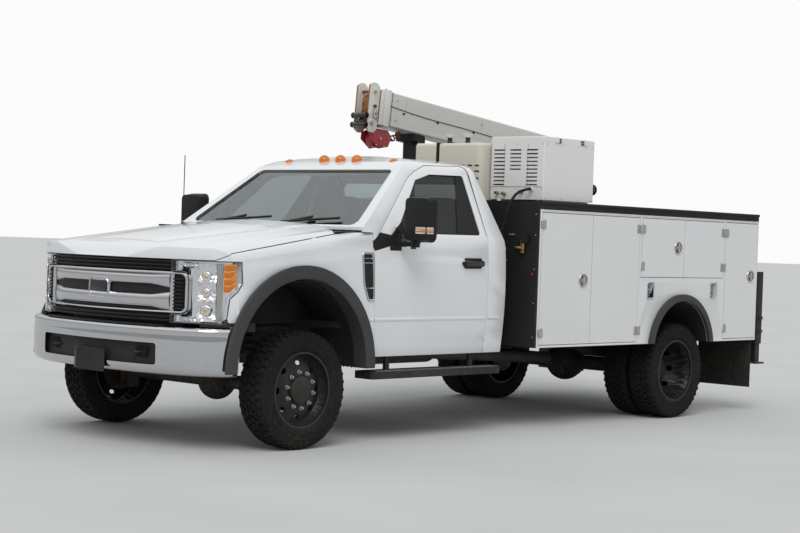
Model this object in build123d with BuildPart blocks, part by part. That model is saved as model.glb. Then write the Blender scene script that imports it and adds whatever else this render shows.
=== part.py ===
from build123d import *
import os
from math import cos, radians, sin, tan

os.makedirs("parts", exist_ok=True)

# Service truck with a regular cab, dual rear wheels, a compartment body and a telescopic crane.
# Millimetres: +X is forward, +Y is the driver's side, +Z is up. The origin is on the ground,
# under the middle of the whole truck.

# Clearances: still pieces that touch, pins and slide pads, panels that open, and pieces that run past others
SEAT_GAP = 0.3
PIN_GAP = 0.5
DOOR_GAP = 5
RUN_GAP = 6

# Running gear
WHEELBASE = 4293
FRONT_OVERHANG = 972
FRONT_AXLE_X = 2363
REAR_AXLE_X = FRONT_AXLE_X - WHEELBASE
TYRE_R = 400
TYRE_W = 226
RIM_R = 260
RIM_WALL = 9
BEAD_GAP = 0.4
FRONT_TRACK = 1900
DUAL_SPACING = 260
REAR_OUTER_Y = 1070
KINGPIN_Y = 842
SPINDLE_R = 33
HUB_BORE_R = SPINDLE_R + PIN_GAP
AXLE_Z = TYRE_R

# Frame
FRAME_W = 869
RAIL_BOTTOM = 600
RAIL_H = 200
RAIL_FLANGE = 75
RAIL_WEB = 8
RAIL_TOP = RAIL_BOTTOM + RAIL_H

# Cab
CAB_HALF = 1016
CAB_REAR_X = FRONT_AXLE_X - 2159
SILL_Z = 600
CAB_FLOOR_Z = RAIL_TOP + 15
FLOOR_T = 45
BELT_Z = 1450
ROOF_Z = 2065
HEADER_X = 1140
HEADER_Z = 1968
COWL_X = 1745
COWL_Z = 1510
CAB_FRONT_X = 1660
CAB_WALL = 60
GLASS_INSET = 14
GLASS_T = 6
CAB_DOOR_FRONT_X = 1655
CAB_DOOR_REAR_X = 420
DOOR_LEAN = 12

# Hood, fenders and nose
NOSE_X = 3288
NOSE_HOOD_Z = 1298
HOOD_REAR_X = 1800
HOOD_REAR_CORNER_X = 2010
HOOD_REAR_Z = 1530
SHEET = 34
DOME_RISE = 15
SEAM_REAR_Z = 1455
SEAM_FRONT_Z = 1306
SEAM_FRONT_X = 3050
FENDER_REAR_X = CAB_DOOR_FRONT_X + DOOR_GAP + 4
ARCH_X = FRONT_AXLE_X - 15
ARCH_R = 600
ARCH_Z = 546
FLARE_W = 92
HOOD_SLOPE = radians(7.5)
# Cross-section plane square to the hood line, starting behind the windscreen's foot
NOSE_PLANE = Plane(
    origin=(HOOD_REAR_X - 160, 0, 0),
    x_dir=(0, 1, 0),
    z_dir=(cos(HOOD_SLOPE), 0, -sin(HOOD_SLOPE)),
).offset(-300)

# Grille, headlamps and bumper
GRILLE_TOP_Z = 1250
GRILLE_BOTTOM_Z = 845
LAMP_BACK_X = NOSE_X - 395
BUMPER_X = FRONT_AXLE_X + FRONT_OVERHANG
BUMPER_TOP_Z = 815
BUMPER_BOTTOM_Z = 500
BUMPER_T = 30
BUMPER_HALF = 1010

# Service body
BODY_FRONT_X = 45
BODY_LENGTH = 3180
BODY_REAR_X = BODY_FRONT_X - BODY_LENGTH
BODY_HALF = 1205
CABINET_DEPTH = 540
BODY_Z = 640
BODY_TOP_Z = 1700
TRAY_H = 62
TRAY_FLOOR = 12
SKIN = 22
BULKHEAD_T = 25
BED_Z = 915
BED_T = 15
REAR_ARCH_R = 425
REAR_ARCH_Z = 567
WELL_TOP_Z = 1150
DOOR_T = 22
TRAY_Z = BODY_TOP_Z + TRAY_H
TRAY_TOP_Z = BODY_TOP_Z + TRAY_FLOOR
CABINET_IN_Y = BODY_HALF - CABINET_DEPTH

# Crane
CRANE_X = -2885
CRANE_Y = -935
PIVOT_BACK = 100
PIVOT_Z = 2282
BOOM_TILT = 5.9
BOOM_LENGTH = 2640
BOOM_H = 300
BOOM_W = 200
BOOM_WALL = 9
BOOM_TAIL = 115
SECTION_STEP = 52

# Compressor cabinet
COMPRESSOR_X = -65
COMPRESSOR_L = 650
COMPRESSOR_W = 530
COMPRESSOR_OUT_Y = 1135
COMPRESSOR_Z = 1775
COMPRESSOR_H = 490
LID_H = 45

# Rear end
BUMPER_REAR_X = -3335
JACK_X = -3268
JACK_Y = 1122
JACK_TUBE = 92
FOOT_Z = 420


def at_y(y):
    """Side-view plane at y, with local x forward and local y up."""
    return Plane.XZ.offset(-y)


def save(part, label):
    """Name one finished sub-part and write it."""
    part.label = label
    export_step(part, f"parts/{label}.step")


# Wheels: a tyre on a pressed steel disc wheel, revolved about the axle line


def tyre_face(y_mid):
    """Half section of a tyre, seen from behind: local x is across, local y is the radius."""
    half = TYRE_W / 2
    bead = RIM_R + BEAD_GAP
    with BuildSketch(Plane.YZ) as face:
        with BuildLine():
            Polyline((y_mid - half + 12, bead), (y_mid - half + 5, bead + 22))
            ThreePointArc(
                (y_mid - half + 5, bead + 22),
                (y_mid - half, (bead + TYRE_R) / 2),
                (y_mid - half + 12, TYRE_R - 18),
            )
            Polyline(
                (y_mid - half + 12, TYRE_R - 18),
                (y_mid - half + 34, TYRE_R),
                (y_mid + half - 34, TYRE_R),
                (y_mid + half - 12, TYRE_R - 18),
            )
            ThreePointArc(
                (y_mid + half - 12, TYRE_R - 18),
                (y_mid + half, (bead + TYRE_R) / 2),
                (y_mid + half - 5, bead + 22),
            )
            Polyline((y_mid + half - 5, bead + 22), (y_mid + half - 12, bead), (y_mid - half + 12, bead))
        make_face()
    return face.sketch


def rim_face(y_mid, disc_y, hub_y):
    """Half section of a rim with its disc: disc_y is where the disc meets the rim, hub_y its hub face."""
    half = TYRE_W / 2 - 12
    well = RIM_R - 34
    side = 1 if hub_y > disc_y else -1
    with BuildSketch(Plane.YZ) as face:
        with BuildLine():
            Polyline(
                (y_mid - half, RIM_R),
                (y_mid - half, RIM_R - 16),
                (y_mid - half + 22, RIM_R - 18),
                (y_mid - 30, well - RIM_WALL),
                (y_mid + 30, well - RIM_WALL),
                (y_mid + half - 22, RIM_R - 18),
                (y_mid + half, RIM_R - 16),
                (y_mid + half, RIM_R),
                (y_mid + half - 14, RIM_R - 4),
                (y_mid + 34, well),
                (y_mid - 34, well),
                (y_mid - half + 14, RIM_R - 4),
                close=True,
            )
        make_face()
        with BuildLine():
            Polyline(
                (disc_y, well - 2),
                (disc_y - side * RIM_WALL * 1.4, well - 2),
                (hub_y - side * 12, 150),
                (hub_y - side * 12, HUB_BORE_R),
                (hub_y, HUB_BORE_R),
                (hub_y, 142),
                close=True,
            )
        make_face()
    return face.sketch


def wheel(x, tyre_ys, rims, hub_cap, side):
    """One wheel body: tyres, rims and hub about the axle line at x, for the left side before mirroring."""
    axis = Axis((0, 0, 0), (0, 1, 0))
    with BuildPart() as body:
        for y_mid in tyre_ys:
            revolve(tyre_face(y_mid), axis=axis)
        for y_mid, disc_y, hub_y in rims:
            revolve(rim_face(y_mid, disc_y, hub_y), axis=axis)
        with BuildSketch(Plane.YZ):
            with BuildLine():
                Polyline(*hub_cap, close=True)
            make_face()
        revolve(axis=axis)
        for y_mid, disc_y, hub_y in rims:
            with BuildSketch(at_y(max(disc_y, hub_y) + 20)):
                with PolarLocations(182, 8):
                    SlotOverall(46, 28, rotation=90)
            extrude(amount=abs(disc_y - hub_y) + 50, mode=Mode.SUBTRACT)
    shaped = body.part if side > 0 else body.part.mirror(Plane.XZ)
    return Location((x, 0, AXLE_Z)) * shaped


FRONT_WHEEL_Y = FRONT_TRACK / 2
FRONT_HUB_Y = FRONT_WHEEL_Y + 62
REAR_INNER_Y = REAR_OUTER_Y - DUAL_SPACING
REAR_HUB_Y = REAR_INNER_Y + DUAL_SPACING / 2 - 22

# Hub outlines, as across and radius: the front hub stands out of its disc, the rear one lies deep in its wheel
FRONT_HUB = [
    (FRONT_HUB_Y - 95, HUB_BORE_R),
    (FRONT_HUB_Y - 95, 62),
    (FRONT_HUB_Y - 12, 62),
    (FRONT_HUB_Y - 12, 96),
    (FRONT_HUB_Y + 26, 92),
    (FRONT_HUB_Y + 34, 74),
    (FRONT_HUB_Y + 34, 0),
    (FRONT_HUB_Y + 22, 0),
    (FRONT_HUB_Y + 22, HUB_BORE_R),
]
REAR_HUB = [
    (REAR_INNER_Y - 95, HUB_BORE_R),
    (REAR_INNER_Y - 95, 150),
    (REAR_HUB_Y - 12, 150),
    (REAR_HUB_Y - 12, 98),
    (REAR_HUB_Y + 92, 92),
    (REAR_HUB_Y + 104, 74),
    (REAR_HUB_Y + 104, 0),
    (REAR_HUB_Y + 90, 0),
    (REAR_HUB_Y + 90, HUB_BORE_R),
]

for name, side in (("left", 1), ("right", -1)):
    front = wheel(
        FRONT_AXLE_X,
        [FRONT_WHEEL_Y],
        [(FRONT_WHEEL_Y, FRONT_WHEEL_Y + 30, FRONT_HUB_Y)],
        FRONT_HUB,
        side,
    )
    save(front, f"front_wheel_{name}")
    rear = wheel(
        REAR_AXLE_X,
        [REAR_INNER_Y, REAR_OUTER_Y],
        [
            (REAR_INNER_Y, REAR_INNER_Y + 30, REAR_HUB_Y),
            (REAR_OUTER_Y, REAR_OUTER_Y - 30, REAR_HUB_Y + 0.3),
        ],
        REAR_HUB,
        side,
    )
    save(rear, f"rear_wheels_{name}")

# Knuckles: the kingpin barrel, the spindle and a brake disc shield, turning under the axle's yokes
BARREL_R = 38
BARREL_HALF = 92
for name, side in (("left", 1), ("right", -1)):
    with BuildPart() as knuckle:
        with BuildSketch(Plane.XY.offset(AXLE_Z - BARREL_HALF)):
            with Locations((FRONT_AXLE_X, side * KINGPIN_Y)):
                Circle(BARREL_R)
        extrude(amount=2 * BARREL_HALF)
        with BuildSketch(at_y(0)):
            with Locations((FRONT_AXLE_X, AXLE_Z)):
                Circle(SPINDLE_R)
        extrude(amount=-side * (FRONT_HUB_Y + 16))
        with BuildSketch(at_y(side * (KINGPIN_Y + 46))):
            with Locations((FRONT_AXLE_X, AXLE_Z)):
                Circle(150)
        extrude(amount=-side * 14)
        with BuildSketch(Plane.XY.offset(AXLE_Z - 60)):
            with BuildLine():
                Polyline(
                    (FRONT_AXLE_X - 20, side * (KINGPIN_Y - 20)),
                    (FRONT_AXLE_X - 190, side * (KINGPIN_Y - 70)),
                    (FRONT_AXLE_X - 190, side * (KINGPIN_Y - 40)),
                    (FRONT_AXLE_X - 20, side * (KINGPIN_Y + 20)),
                    close=True,
                )
            make_face()
        extrude(amount=36)
        with BuildSketch(at_y(0)):
            with Locations((FRONT_AXLE_X, AXLE_Z)):
                Circle(BARREL_R + 40)
        extrude(amount=-side * (KINGPIN_Y - BARREL_R), mode=Mode.SUBTRACT)
    save(knuckle.part, f"knuckle_{name}")

# Front axle: beam with its offset differential, yokes over and under the knuckles, coil springs on seats
COIL_Y = 545
with BuildPart() as front_axle:
    with BuildSketch(at_y(-(KINGPIN_Y - 75))):
        with Locations((FRONT_AXLE_X, AXLE_Z)):
            Circle(48)
    extrude(amount=-2 * (KINGPIN_Y - 75))
    with Locations((FRONT_AXLE_X, 190, AXLE_Z)):
        Sphere(135)
    with BuildSketch(at_y(190)):
        with Locations((FRONT_AXLE_X, AXLE_Z)):
            Circle(100)
    extrude(amount=75, both=True)
    for side in (1, -1):
        for low in (AXLE_Z + BARREL_HALF + 0.5, AXLE_Z - BARREL_HALF - 30.5):
            with BuildSketch(Plane.XY.offset(low)):
                with BuildLine():
                    Polyline(
                        (FRONT_AXLE_X - 40, side * (KINGPIN_Y - 125)),
                        (FRONT_AXLE_X - 32, side * (KINGPIN_Y + 30)),
                        (FRONT_AXLE_X + 32, side * (KINGPIN_Y + 30)),
                        (FRONT_AXLE_X + 40, side * (KINGPIN_Y - 125)),
                        close=True,
                    )
                make_face()
            extrude(amount=30)
        with BuildSketch(at_y(side * (KINGPIN_Y - 75))):
            with Locations((FRONT_AXLE_X, AXLE_Z)):
                Rectangle(80, 2 * BARREL_HALF + 61)
        extrude(amount=side * 50)
        with BuildSketch(Plane.XY.offset(AXLE_Z + 30)):
            with Locations((FRONT_AXLE_X, side * COIL_Y)):
                Circle(78)
        extrude(amount=28)
        with BuildSketch(Plane.XY.offset(AXLE_Z + 58)):
            with Locations((FRONT_AXLE_X, side * COIL_Y)):
                Circle(40)
        extrude(amount=312)
        for turn in range(6):
            with BuildSketch(Plane.XY.offset(AXLE_Z + 72 + turn * 48)):
                with Locations((FRONT_AXLE_X, side * COIL_Y)):
                    Circle(66)
            extrude(amount=20, taper=0)
save(front_axle.part, "front_axle")

# Rear axle: banjo housing with drive flanges, and a leaf spring pack on each side
SPRING_Y = 508
SPRING_W = 76
LEAF_T = 11
SPRING_RISE = 55
# Leaf half lengths, longest on top
LEAVES = [690, 600, 500, 400, 300]
with BuildPart() as rear_axle:
    with BuildSketch(at_y(-(REAR_INNER_Y - 102))):
        with Locations((REAR_AXLE_X, AXLE_Z)):
            Circle(62)
    extrude(amount=-2 * (REAR_INNER_Y - 102))
    with BuildSketch(at_y(-(REAR_HUB_Y + 84))):
        with Locations((REAR_AXLE_X, AXLE_Z)):
            Circle(SPINDLE_R)
    extrude(amount=-2 * (REAR_HUB_Y + 84))
    with Locations((REAR_AXLE_X, 0, AXLE_Z)):
        Sphere(168)
    with BuildSketch(at_y(0)):
        with Locations((REAR_AXLE_X - 10, AXLE_Z)):
            Circle(120)
    extrude(amount=120, both=True)
    with BuildSketch(Plane.YZ.offset(REAR_AXLE_X)):
        with Locations((0, AXLE_Z + 30)):
            Circle(62)
    extrude(amount=255)
    for side in (1, -1):
        for layer, half in enumerate(LEAVES):
            drop = layer * LEAF_T
            rise = SPRING_RISE * (half / LEAVES[0]) ** 2
            with BuildSketch(at_y(side * SPRING_Y)):
                with BuildLine():
                    ThreePointArc(
                        (REAR_AXLE_X - half, AXLE_Z + 130 - drop + rise),
                        (REAR_AXLE_X, AXLE_Z + 130 - drop),
                        (REAR_AXLE_X + half, AXLE_Z + 130 - drop + rise),
                    )
                    Line(
                        (REAR_AXLE_X + half, AXLE_Z + 130 - drop + rise),
                        (REAR_AXLE_X + half, AXLE_Z + 130 - drop + rise + LEAF_T),
                    )
                    ThreePointArc(
                        (REAR_AXLE_X + half, AXLE_Z + 130 - drop + rise + LEAF_T),
                        (REAR_AXLE_X, AXLE_Z + 130 - drop + LEAF_T),
                        (REAR_AXLE_X - half, AXLE_Z + 130 - drop + rise + LEAF_T),
                    )
                    Line(
                        (REAR_AXLE_X - half, AXLE_Z + 130 - drop + rise + LEAF_T),
                        (REAR_AXLE_X - half, AXLE_Z + 130 - drop + rise),
                    )
                make_face()
            extrude(amount=SPRING_W / 2, both=True)
        with BuildSketch(at_y(side * SPRING_Y)):
            with Locations((REAR_AXLE_X, AXLE_Z + 60)):
                Rectangle(150, 60)
        extrude(amount=SPRING_W / 2 + 6, both=True)
save(rear_axle.part, "rear_axle")

# Frame: two channel rails and their cross-members, with spring hangers and body mounts on the rails
RAIL_FRONT_X = 3240
RAIL_REAR_X = BODY_REAR_X
SPRING_TOP_Z = AXLE_Z + 130 + SPRING_RISE + LEAF_T + SEAT_GAP
COIL_TOP_Z = AXLE_Z + 370
# Cross-member places along the frame
CROSS_X = [3150, 1000, 300, -400, -1100, -2400, -3050]
with BuildPart() as frame_rails:
    for side in (1, -1):
        outer = side * FRAME_W / 2
        with BuildSketch(Plane.YZ.offset(RAIL_REAR_X)):
            with BuildLine():
                Polyline(
                    (outer, RAIL_BOTTOM),
                    (outer, RAIL_TOP),
                    (outer - side * RAIL_FLANGE, RAIL_TOP),
                    (outer - side * RAIL_FLANGE, RAIL_TOP - RAIL_WEB),
                    (outer - side * RAIL_WEB, RAIL_TOP - RAIL_WEB),
                    (outer - side * RAIL_WEB, RAIL_BOTTOM + RAIL_WEB),
                    (outer - side * RAIL_FLANGE, RAIL_BOTTOM + RAIL_WEB),
                    (outer - side * RAIL_FLANGE, RAIL_BOTTOM),
                    close=True,
                )
            make_face()
        extrude(amount=RAIL_FRONT_X - RAIL_REAR_X)
        for x in (REAR_AXLE_X + LEAVES[0], REAR_AXLE_X - LEAVES[0]):
            with BuildSketch(at_y(side * (FRAME_W / 2 + 24))):
                with BuildLine():
                    Polyline(
                        (x - 60, RAIL_TOP - 60),
                        (x - 28, SPRING_TOP_Z),
                        (x + 28, SPRING_TOP_Z),
                        (x + 60, RAIL_TOP - 60),
                        close=True,
                    )
                make_face()
            extrude(amount=24, both=True)
            with BuildSketch(at_y(side * SPRING_Y)):
                with Locations((x, SPRING_TOP_Z + 30)):
                    Rectangle(56, 60)
            extrude(amount=SPRING_W / 2, both=True)
        with BuildSketch(Plane.XY.offset(COIL_TOP_Z + SEAT_GAP)):
            with Locations((FRONT_AXLE_X, side * (FRAME_W / 2 + 90))):
                Rectangle(180, 180)
        extrude(amount=RAIL_TOP - COIL_TOP_Z - SEAT_GAP)
    for x in CROSS_X:
        with BuildSketch(Plane.XZ):
            with Locations((x, RAIL_BOTTOM + RAIL_H / 2 + 14)):
                Rectangle(90, 130)
                Rectangle(78, 118, mode=Mode.SUBTRACT)
                with Locations((12, 0)):
                    Rectangle(100, 118, mode=Mode.SUBTRACT)
        extrude(amount=FRAME_W / 2 - RAIL_WEB, both=True)
save(frame_rails.part, "frame_rails")

# Powertrain: engine, gearbox, radiator, propeller shaft and exhaust, as separate plain pieces
ENGINE_Z = 565
SHAFT_R = 48
shaft_front = Vector(1157.5, 0, 580)
shaft_rear = Vector(REAR_AXLE_X + 257.8, 0, AXLE_Z + 34)
with BuildPart() as powertrain:
    with BuildSketch(Plane.XY.offset(ENGINE_Z)):
        with Locations((2400, 0)):
            Rectangle(860, 560)
    extrude(amount=330)
    with BuildSketch(Plane.XY.offset(ENGINE_Z + 330)):
        with Locations((2400, 0)):
            Rectangle(860, 560)
    extrude(amount=300, taper=12)
    with BuildSketch(Plane.YZ.offset(1160)):
        with Locations((0, 645)):
            Circle(120)
    extrude(amount=811)
    with BuildSketch(Plane.YZ.offset(1600)):
        with Locations((0, 645)):
            RectangleRounded(330, 300, 40)
    extrude(amount=370)
    with BuildSketch(Plane.XY.offset(RAIL_TOP + SEAT_GAP)):
        with Locations((3030, 0)):
            Rectangle(60, 1120)
    extrude(amount=1230 - RAIL_TOP)
    with BuildSketch(Plane(origin=shaft_rear, z_dir=shaft_front - shaft_rear)):
        Circle(SHAFT_R)
    extrude(amount=(shaft_front - shaft_rear).length)
    with BuildLine() as pipe_path:
        FilletPolyline(
            (1950, -330, 560),
            (1000, -330, 500),
            (-950, -330, 500),
            (-1180, -560, 500),
            (-1180, -1120, 500),
            radius=110,
        )
    with BuildSketch(Plane(origin=pipe_path.line @ 0, z_dir=pipe_path.line % 0)):
        Circle(42)
    sweep()
    with BuildSketch(Plane.YZ.offset(-400)):
        with Locations((-330, 500)):
            Ellipse(130, 92)
    extrude(amount=760)
    with BuildSketch(Plane.XY.offset(560)):
        with Locations((-40, -380)):
            Rectangle(40, 80)
    extrude(amount=RAIL_BOTTOM - SEAT_GAP - 560)
    for side in (1, -1):
        with BuildSketch(Plane.XY.offset(660)):
            with Locations((2360, side * (FRAME_W / 2 - RAIL_WEB - SEAT_GAP - 80))):
                Rectangle(120, 160)
        extrude(amount=60)
save(powertrain.part, "powertrain")

# Fuel tank between the rails behind the rear axle, with two straps
TANK_Z = 430
with BuildPart() as fuel_tank:
    with BuildSketch(Plane.XY.offset(TANK_Z)):
        with Locations((-2680, 0)):
            RectangleRounded(620, 700, 60)
    extrude(amount=RAIL_BOTTOM - TANK_Z - SEAT_GAP)
    chamfer(fuel_tank.faces().sort_by(Axis.Z)[0].edges(), 18)
    for x in (-2840, -2520):
        with BuildSketch(Plane.YZ.offset(x)):
            with Locations((0, (RAIL_BOTTOM - SEAT_GAP + TANK_Z - 10) / 2)):
                Rectangle(720, RAIL_BOTTOM - SEAT_GAP - TANK_Z + 10)
        extrude(amount=50)
save(fuel_tank.part, "fuel_tank")


# Cab: the side view meets the front view, and the inner form is the same two views drawn in


def cab_side(inset):
    """Cab seen from the side, every edge drawn in by inset."""
    with BuildSketch(Plane.XZ) as view:
        with BuildLine():
            Polyline(
                (HEADER_X, HEADER_Z),
                (COWL_X, COWL_Z),
                (COWL_X, COWL_Z - 35),
                (CAB_FRONT_X, COWL_Z - 35),
                (CAB_FRONT_X, SILL_Z),
                (CAB_REAR_X, SILL_Z),
                (CAB_REAR_X, BELT_Z - 50),
                (CAB_REAR_X + 140, ROOF_Z - 40),
            )
            ThreePointArc(
                (CAB_REAR_X + 140, ROOF_Z - 40),
                (CAB_REAR_X + 480, ROOF_Z + 8),
                (HEADER_X, HEADER_Z),
            )
        make_face()
        if inset:
            offset(amount=-inset, mode=Mode.REPLACE)
    return view.sketch


def cab_front(inset):
    """Cab seen from the front: sides bulge at the door, lean in above the belt and round into the roof."""
    with BuildSketch(Plane.YZ) as view:
        with BuildLine():
            Line((0, SILL_Z), (CAB_HALF - 34, SILL_Z))
            ThreePointArc((CAB_HALF - 34, SILL_Z), (CAB_HALF, 1080), (CAB_HALF - 18, BELT_Z))
            Line((CAB_HALF - 18, BELT_Z), (770, 1945))
            ThreePointArc((770, 1945), (735, 1992), (660, 2020))
            ThreePointArc((660, 2020), (340, 2054), (0, ROOF_Z))
            Line((0, ROOF_Z), (0, SILL_Z))
        make_face()
        mirror(about=Plane.YZ)
        if inset:
            offset(amount=-inset, mode=Mode.REPLACE)
    return view.sketch


def cab_form(inset):
    """Closed solid of the cab, drawn in by inset."""
    with BuildPart() as form:
        extrude(cab_side(inset), amount=CAB_HALF + 200, both=True)
        extrude(cab_front(inset), amount=COWL_X + 500, mode=Mode.INTERSECT)
    return form.part


def door_outline(grow, lean=0):
    """Left door seen from the side: its frame follows the pillar and the roof, its top rear corner set in by lean."""
    with BuildSketch(Plane.XZ) as view:
        with BuildLine():
            Polyline(
                (CAB_DOOR_REAR_X, SILL_Z - 60),
                (CAB_DOOR_FRONT_X, SILL_Z - 60),
                (CAB_DOOR_FRONT_X, 1420),
                (1585, 1478),
                (1120, 1878),
                (1010, 1940),
                (880, 1985),
                (400 + lean, 2002),
                (CAB_DOOR_REAR_X - 8, 1480),
                close=True,
            )
        make_face()
        fillet(view.vertices().group_by(Axis.Y)[-1], 40)
        if grow:
            offset(amount=grow, mode=Mode.REPLACE)
    return view.sketch


def window_outline(shrink):
    """Side window: its sill steps down at the front."""
    with BuildSketch(Plane.XZ) as view:
        with BuildLine():
            Polyline(
                (478, 1482),
                (1085, 1478),
                (1190, 1392),
                (1500, 1384),
                (1040, 1872),
                (860, 1922),
                (474, 1930),
                close=True,
            )
        make_face()
        fillet(view.vertices(), 22)
        if shrink:
            offset(amount=-shrink, mode=Mode.REPLACE)
    return view.sketch


def screen_outline(shrink):
    """Windscreen aperture, drawn on the screen's own sloping plane."""
    slope = Vector(HEADER_X - COWL_X, 0, HEADER_Z - COWL_Z)
    screen_plane = Plane(
        origin=(COWL_X, 0, COWL_Z),
        x_dir=(0, 1, 0),
        z_dir=(HEADER_Z - COWL_Z, 0, COWL_X - HEADER_X),
    )
    with BuildSketch(screen_plane) as view:
        with BuildLine():
            Polyline(
                (-880, 20),
                (-700, slope.length - 42),
                (700, slope.length - 42),
                (880, 20),
                close=True,
            )
        make_face()
        fillet(view.vertices(), 55)
        if shrink:
            offset(amount=-shrink, mode=Mode.REPLACE)
    return view.sketch


def rear_window(shrink):
    """Rear window aperture on a plane square to the truck."""
    with BuildSketch(Plane.YZ) as view:
        with Locations((0, 1700)):
            RectangleRounded(1280 - 2 * shrink, 340 - 2 * shrink, 60)
    return view.sketch


def door_zone(outline):
    """Solid of both door openings: an outline driven in from each side, kept off the floor and the firewall."""
    with BuildPart() as zone:
        extrude(outline, amount=CAB_HALF + 100, both=True)
        with BuildSketch(Plane.YZ):
            Rectangle(1400, 6000)
            with Locations((0, (SILL_Z + BELT_Z) / 2 - 50)):
                Rectangle(2 * (CAB_HALF - 69), BELT_Z - SILL_Z + 80)
        extrude(amount=COWL_X, mode=Mode.SUBTRACT)
    return zone.part


# Hinge arms stand on the firewall and end inside notches in the doors' front edges
HINGE_ARM_Z = [880, 1270]
HINGE_NOTCH_Y = 1003
with BuildPart() as cab_shell:
    add(cab_form(0))
    add(cab_form(CAB_WALL), mode=Mode.SUBTRACT)
    extrude(rear_window(0), amount=CAB_REAR_X + 400, mode=Mode.SUBTRACT)
    extrude(screen_outline(0), amount=80, both=True, mode=Mode.SUBTRACT)
    add(door_zone(door_outline(DOOR_GAP)), mode=Mode.SUBTRACT)
    with BuildSketch(Plane.XY.offset(CAB_FLOOR_Z)):
        with BuildLine():
            Polyline(
                (CAB_REAR_X + 10, -(CAB_HALF - 75)),
                (CAB_REAR_X + 10, CAB_HALF - 75),
                (CAB_FRONT_X - 10, CAB_HALF - 75),
                (CAB_FRONT_X - 10, -(CAB_HALF - 75)),
                close=True,
            )
        make_face()
    extrude(amount=FLOOR_T)
    with BuildSketch(Plane.XY.offset(SILL_Z - 10)):
        with Locations((950, 0)):
            Rectangle(2000, 2 * (CAB_HALF - 100))
    extrude(amount=CAB_FLOOR_Z - SILL_Z + 10, mode=Mode.SUBTRACT)
    for side in (1, -1):
        with BuildSketch(Plane.YZ.offset(CAB_REAR_X + 120)):
            with Locations((side * (CAB_HALF - 104), (CAB_FLOOR_Z + SILL_Z) / 2 + 20)):
                Rectangle(50, CAB_FLOOR_Z - SILL_Z - 40)
        extrude(amount=CAB_FRONT_X - CAB_REAR_X - 140)
        for z in HINGE_ARM_Z:
            with BuildSketch(at_y(side * (CAB_HALF - 90))):
                with Locations((CAB_DOOR_FRONT_X - 11, z)):
                    Rectangle(16, 40)
            extrude(amount=-side * (HINGE_NOTCH_Y - 0.8 - CAB_HALF + 90))
    # Mounts between the floor and the frame rails
    with BuildSketch(Plane.XY.offset(RAIL_TOP + SEAT_GAP)):
        with Locations(((CAB_FRONT_X + CAB_REAR_X) / 2, 0)), GridLocations(900, FRAME_W - 80, 2, 2):
            Circle(34)
    extrude(amount=CAB_FLOOR_Z - RAIL_TOP)
save(cab_shell.part, "cab_shell")

with BuildPart() as cab_glass:
    add(cab_form(GLASS_INSET))
    add(cab_form(GLASS_INSET + GLASS_T), mode=Mode.SUBTRACT)
    with BuildPart(mode=Mode.PRIVATE) as openings:
        extrude(rear_window(SEAT_GAP), amount=CAB_REAR_X + 400)
        extrude(screen_outline(SEAT_GAP), amount=25, both=True)
    add(openings.part, mode=Mode.INTERSECT)
save(cab_glass.part, "cab_glass")

# Cab doors: cut from the cab's own form, with the window pane, a pull handle and a two-arm mirror
MIRROR_Y = 1210
with BuildPart() as door_left:
    add(cab_form(0))
    add(cab_form(CAB_WALL), mode=Mode.SUBTRACT)
    add(door_zone(door_outline(0, DOOR_LEAN)), mode=Mode.INTERSECT)
    with BuildSketch(Plane.XZ):
        Rectangle(6000, 6000)
    extrude(amount=CAB_HALF + 400, mode=Mode.SUBTRACT)
    extrude(window_outline(0), amount=-(CAB_HALF + 100), mode=Mode.SUBTRACT)
    for z in HINGE_ARM_Z:
        with BuildSketch(at_y(CAB_HALF - 90)):
            with Locations((CAB_DOOR_FRONT_X - 12, z)):
                Rectangle(30, 54)
        extrude(amount=-(HINGE_NOTCH_Y - CAB_HALF + 90), mode=Mode.SUBTRACT)
    with BuildSketch(at_y(CAB_HALF - 24)):
        with Locations((600, 1272)):
            SlotOverall(230, 44)
    extrude(amount=-46)
    with BuildSketch(at_y(CAB_HALF + 10)):
        with Locations((600, 1272)):
            SlotOverall(170, 30)
    extrude(amount=14, mode=Mode.SUBTRACT)
    with BuildSketch(at_y(CAB_HALF - 24)):
        with BuildLine():
            Polyline((1500, 1352), (1380, 1352), (1380, 1560), (1500, 1440), close=True)
        make_face()
    extrude(amount=-16)
    for z in (1400, 1500):
        with BuildSketch(at_y(CAB_HALF - 20)):
            with Locations((1410, z)):
                Rectangle(44, 30)
        extrude(amount=-(MIRROR_Y - 40 - CAB_HALF + 20))
    with BuildSketch(Plane.YZ.offset(1372)):
        with Locations((MIRROR_Y, 1580)):
            RectangleRounded(235, 325, 46)
    extrude(amount=96, taper=9)
    with BuildSketch(Plane.YZ.offset(1372)):
        with Locations((MIRROR_Y, 1580)):
            RectangleRounded(205, 295, 34)
    extrude(amount=12, mode=Mode.SUBTRACT)
    with BuildSketch(at_y(MIRROR_Y - 60)):
        with BuildLine():
            Polyline((1430, 1380), (1392, 1380), (1392, 1500), (1430, 1500), close=True)
        make_face()
    extrude(amount=-40)
save(door_left.part, "door_left")
save(door_left.part.mirror(Plane.XZ), "door_right")

with BuildPart() as door_glass:
    add(cab_form(GLASS_INSET))
    add(cab_form(GLASS_INSET + GLASS_T), mode=Mode.SUBTRACT)
    extrude(window_outline(SEAT_GAP), amount=-(CAB_HALF + 100), mode=Mode.INTERSECT)
save(door_glass.part, "door_glass_left")
save(door_glass.part.mirror(Plane.XZ), "door_glass_right")

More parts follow.
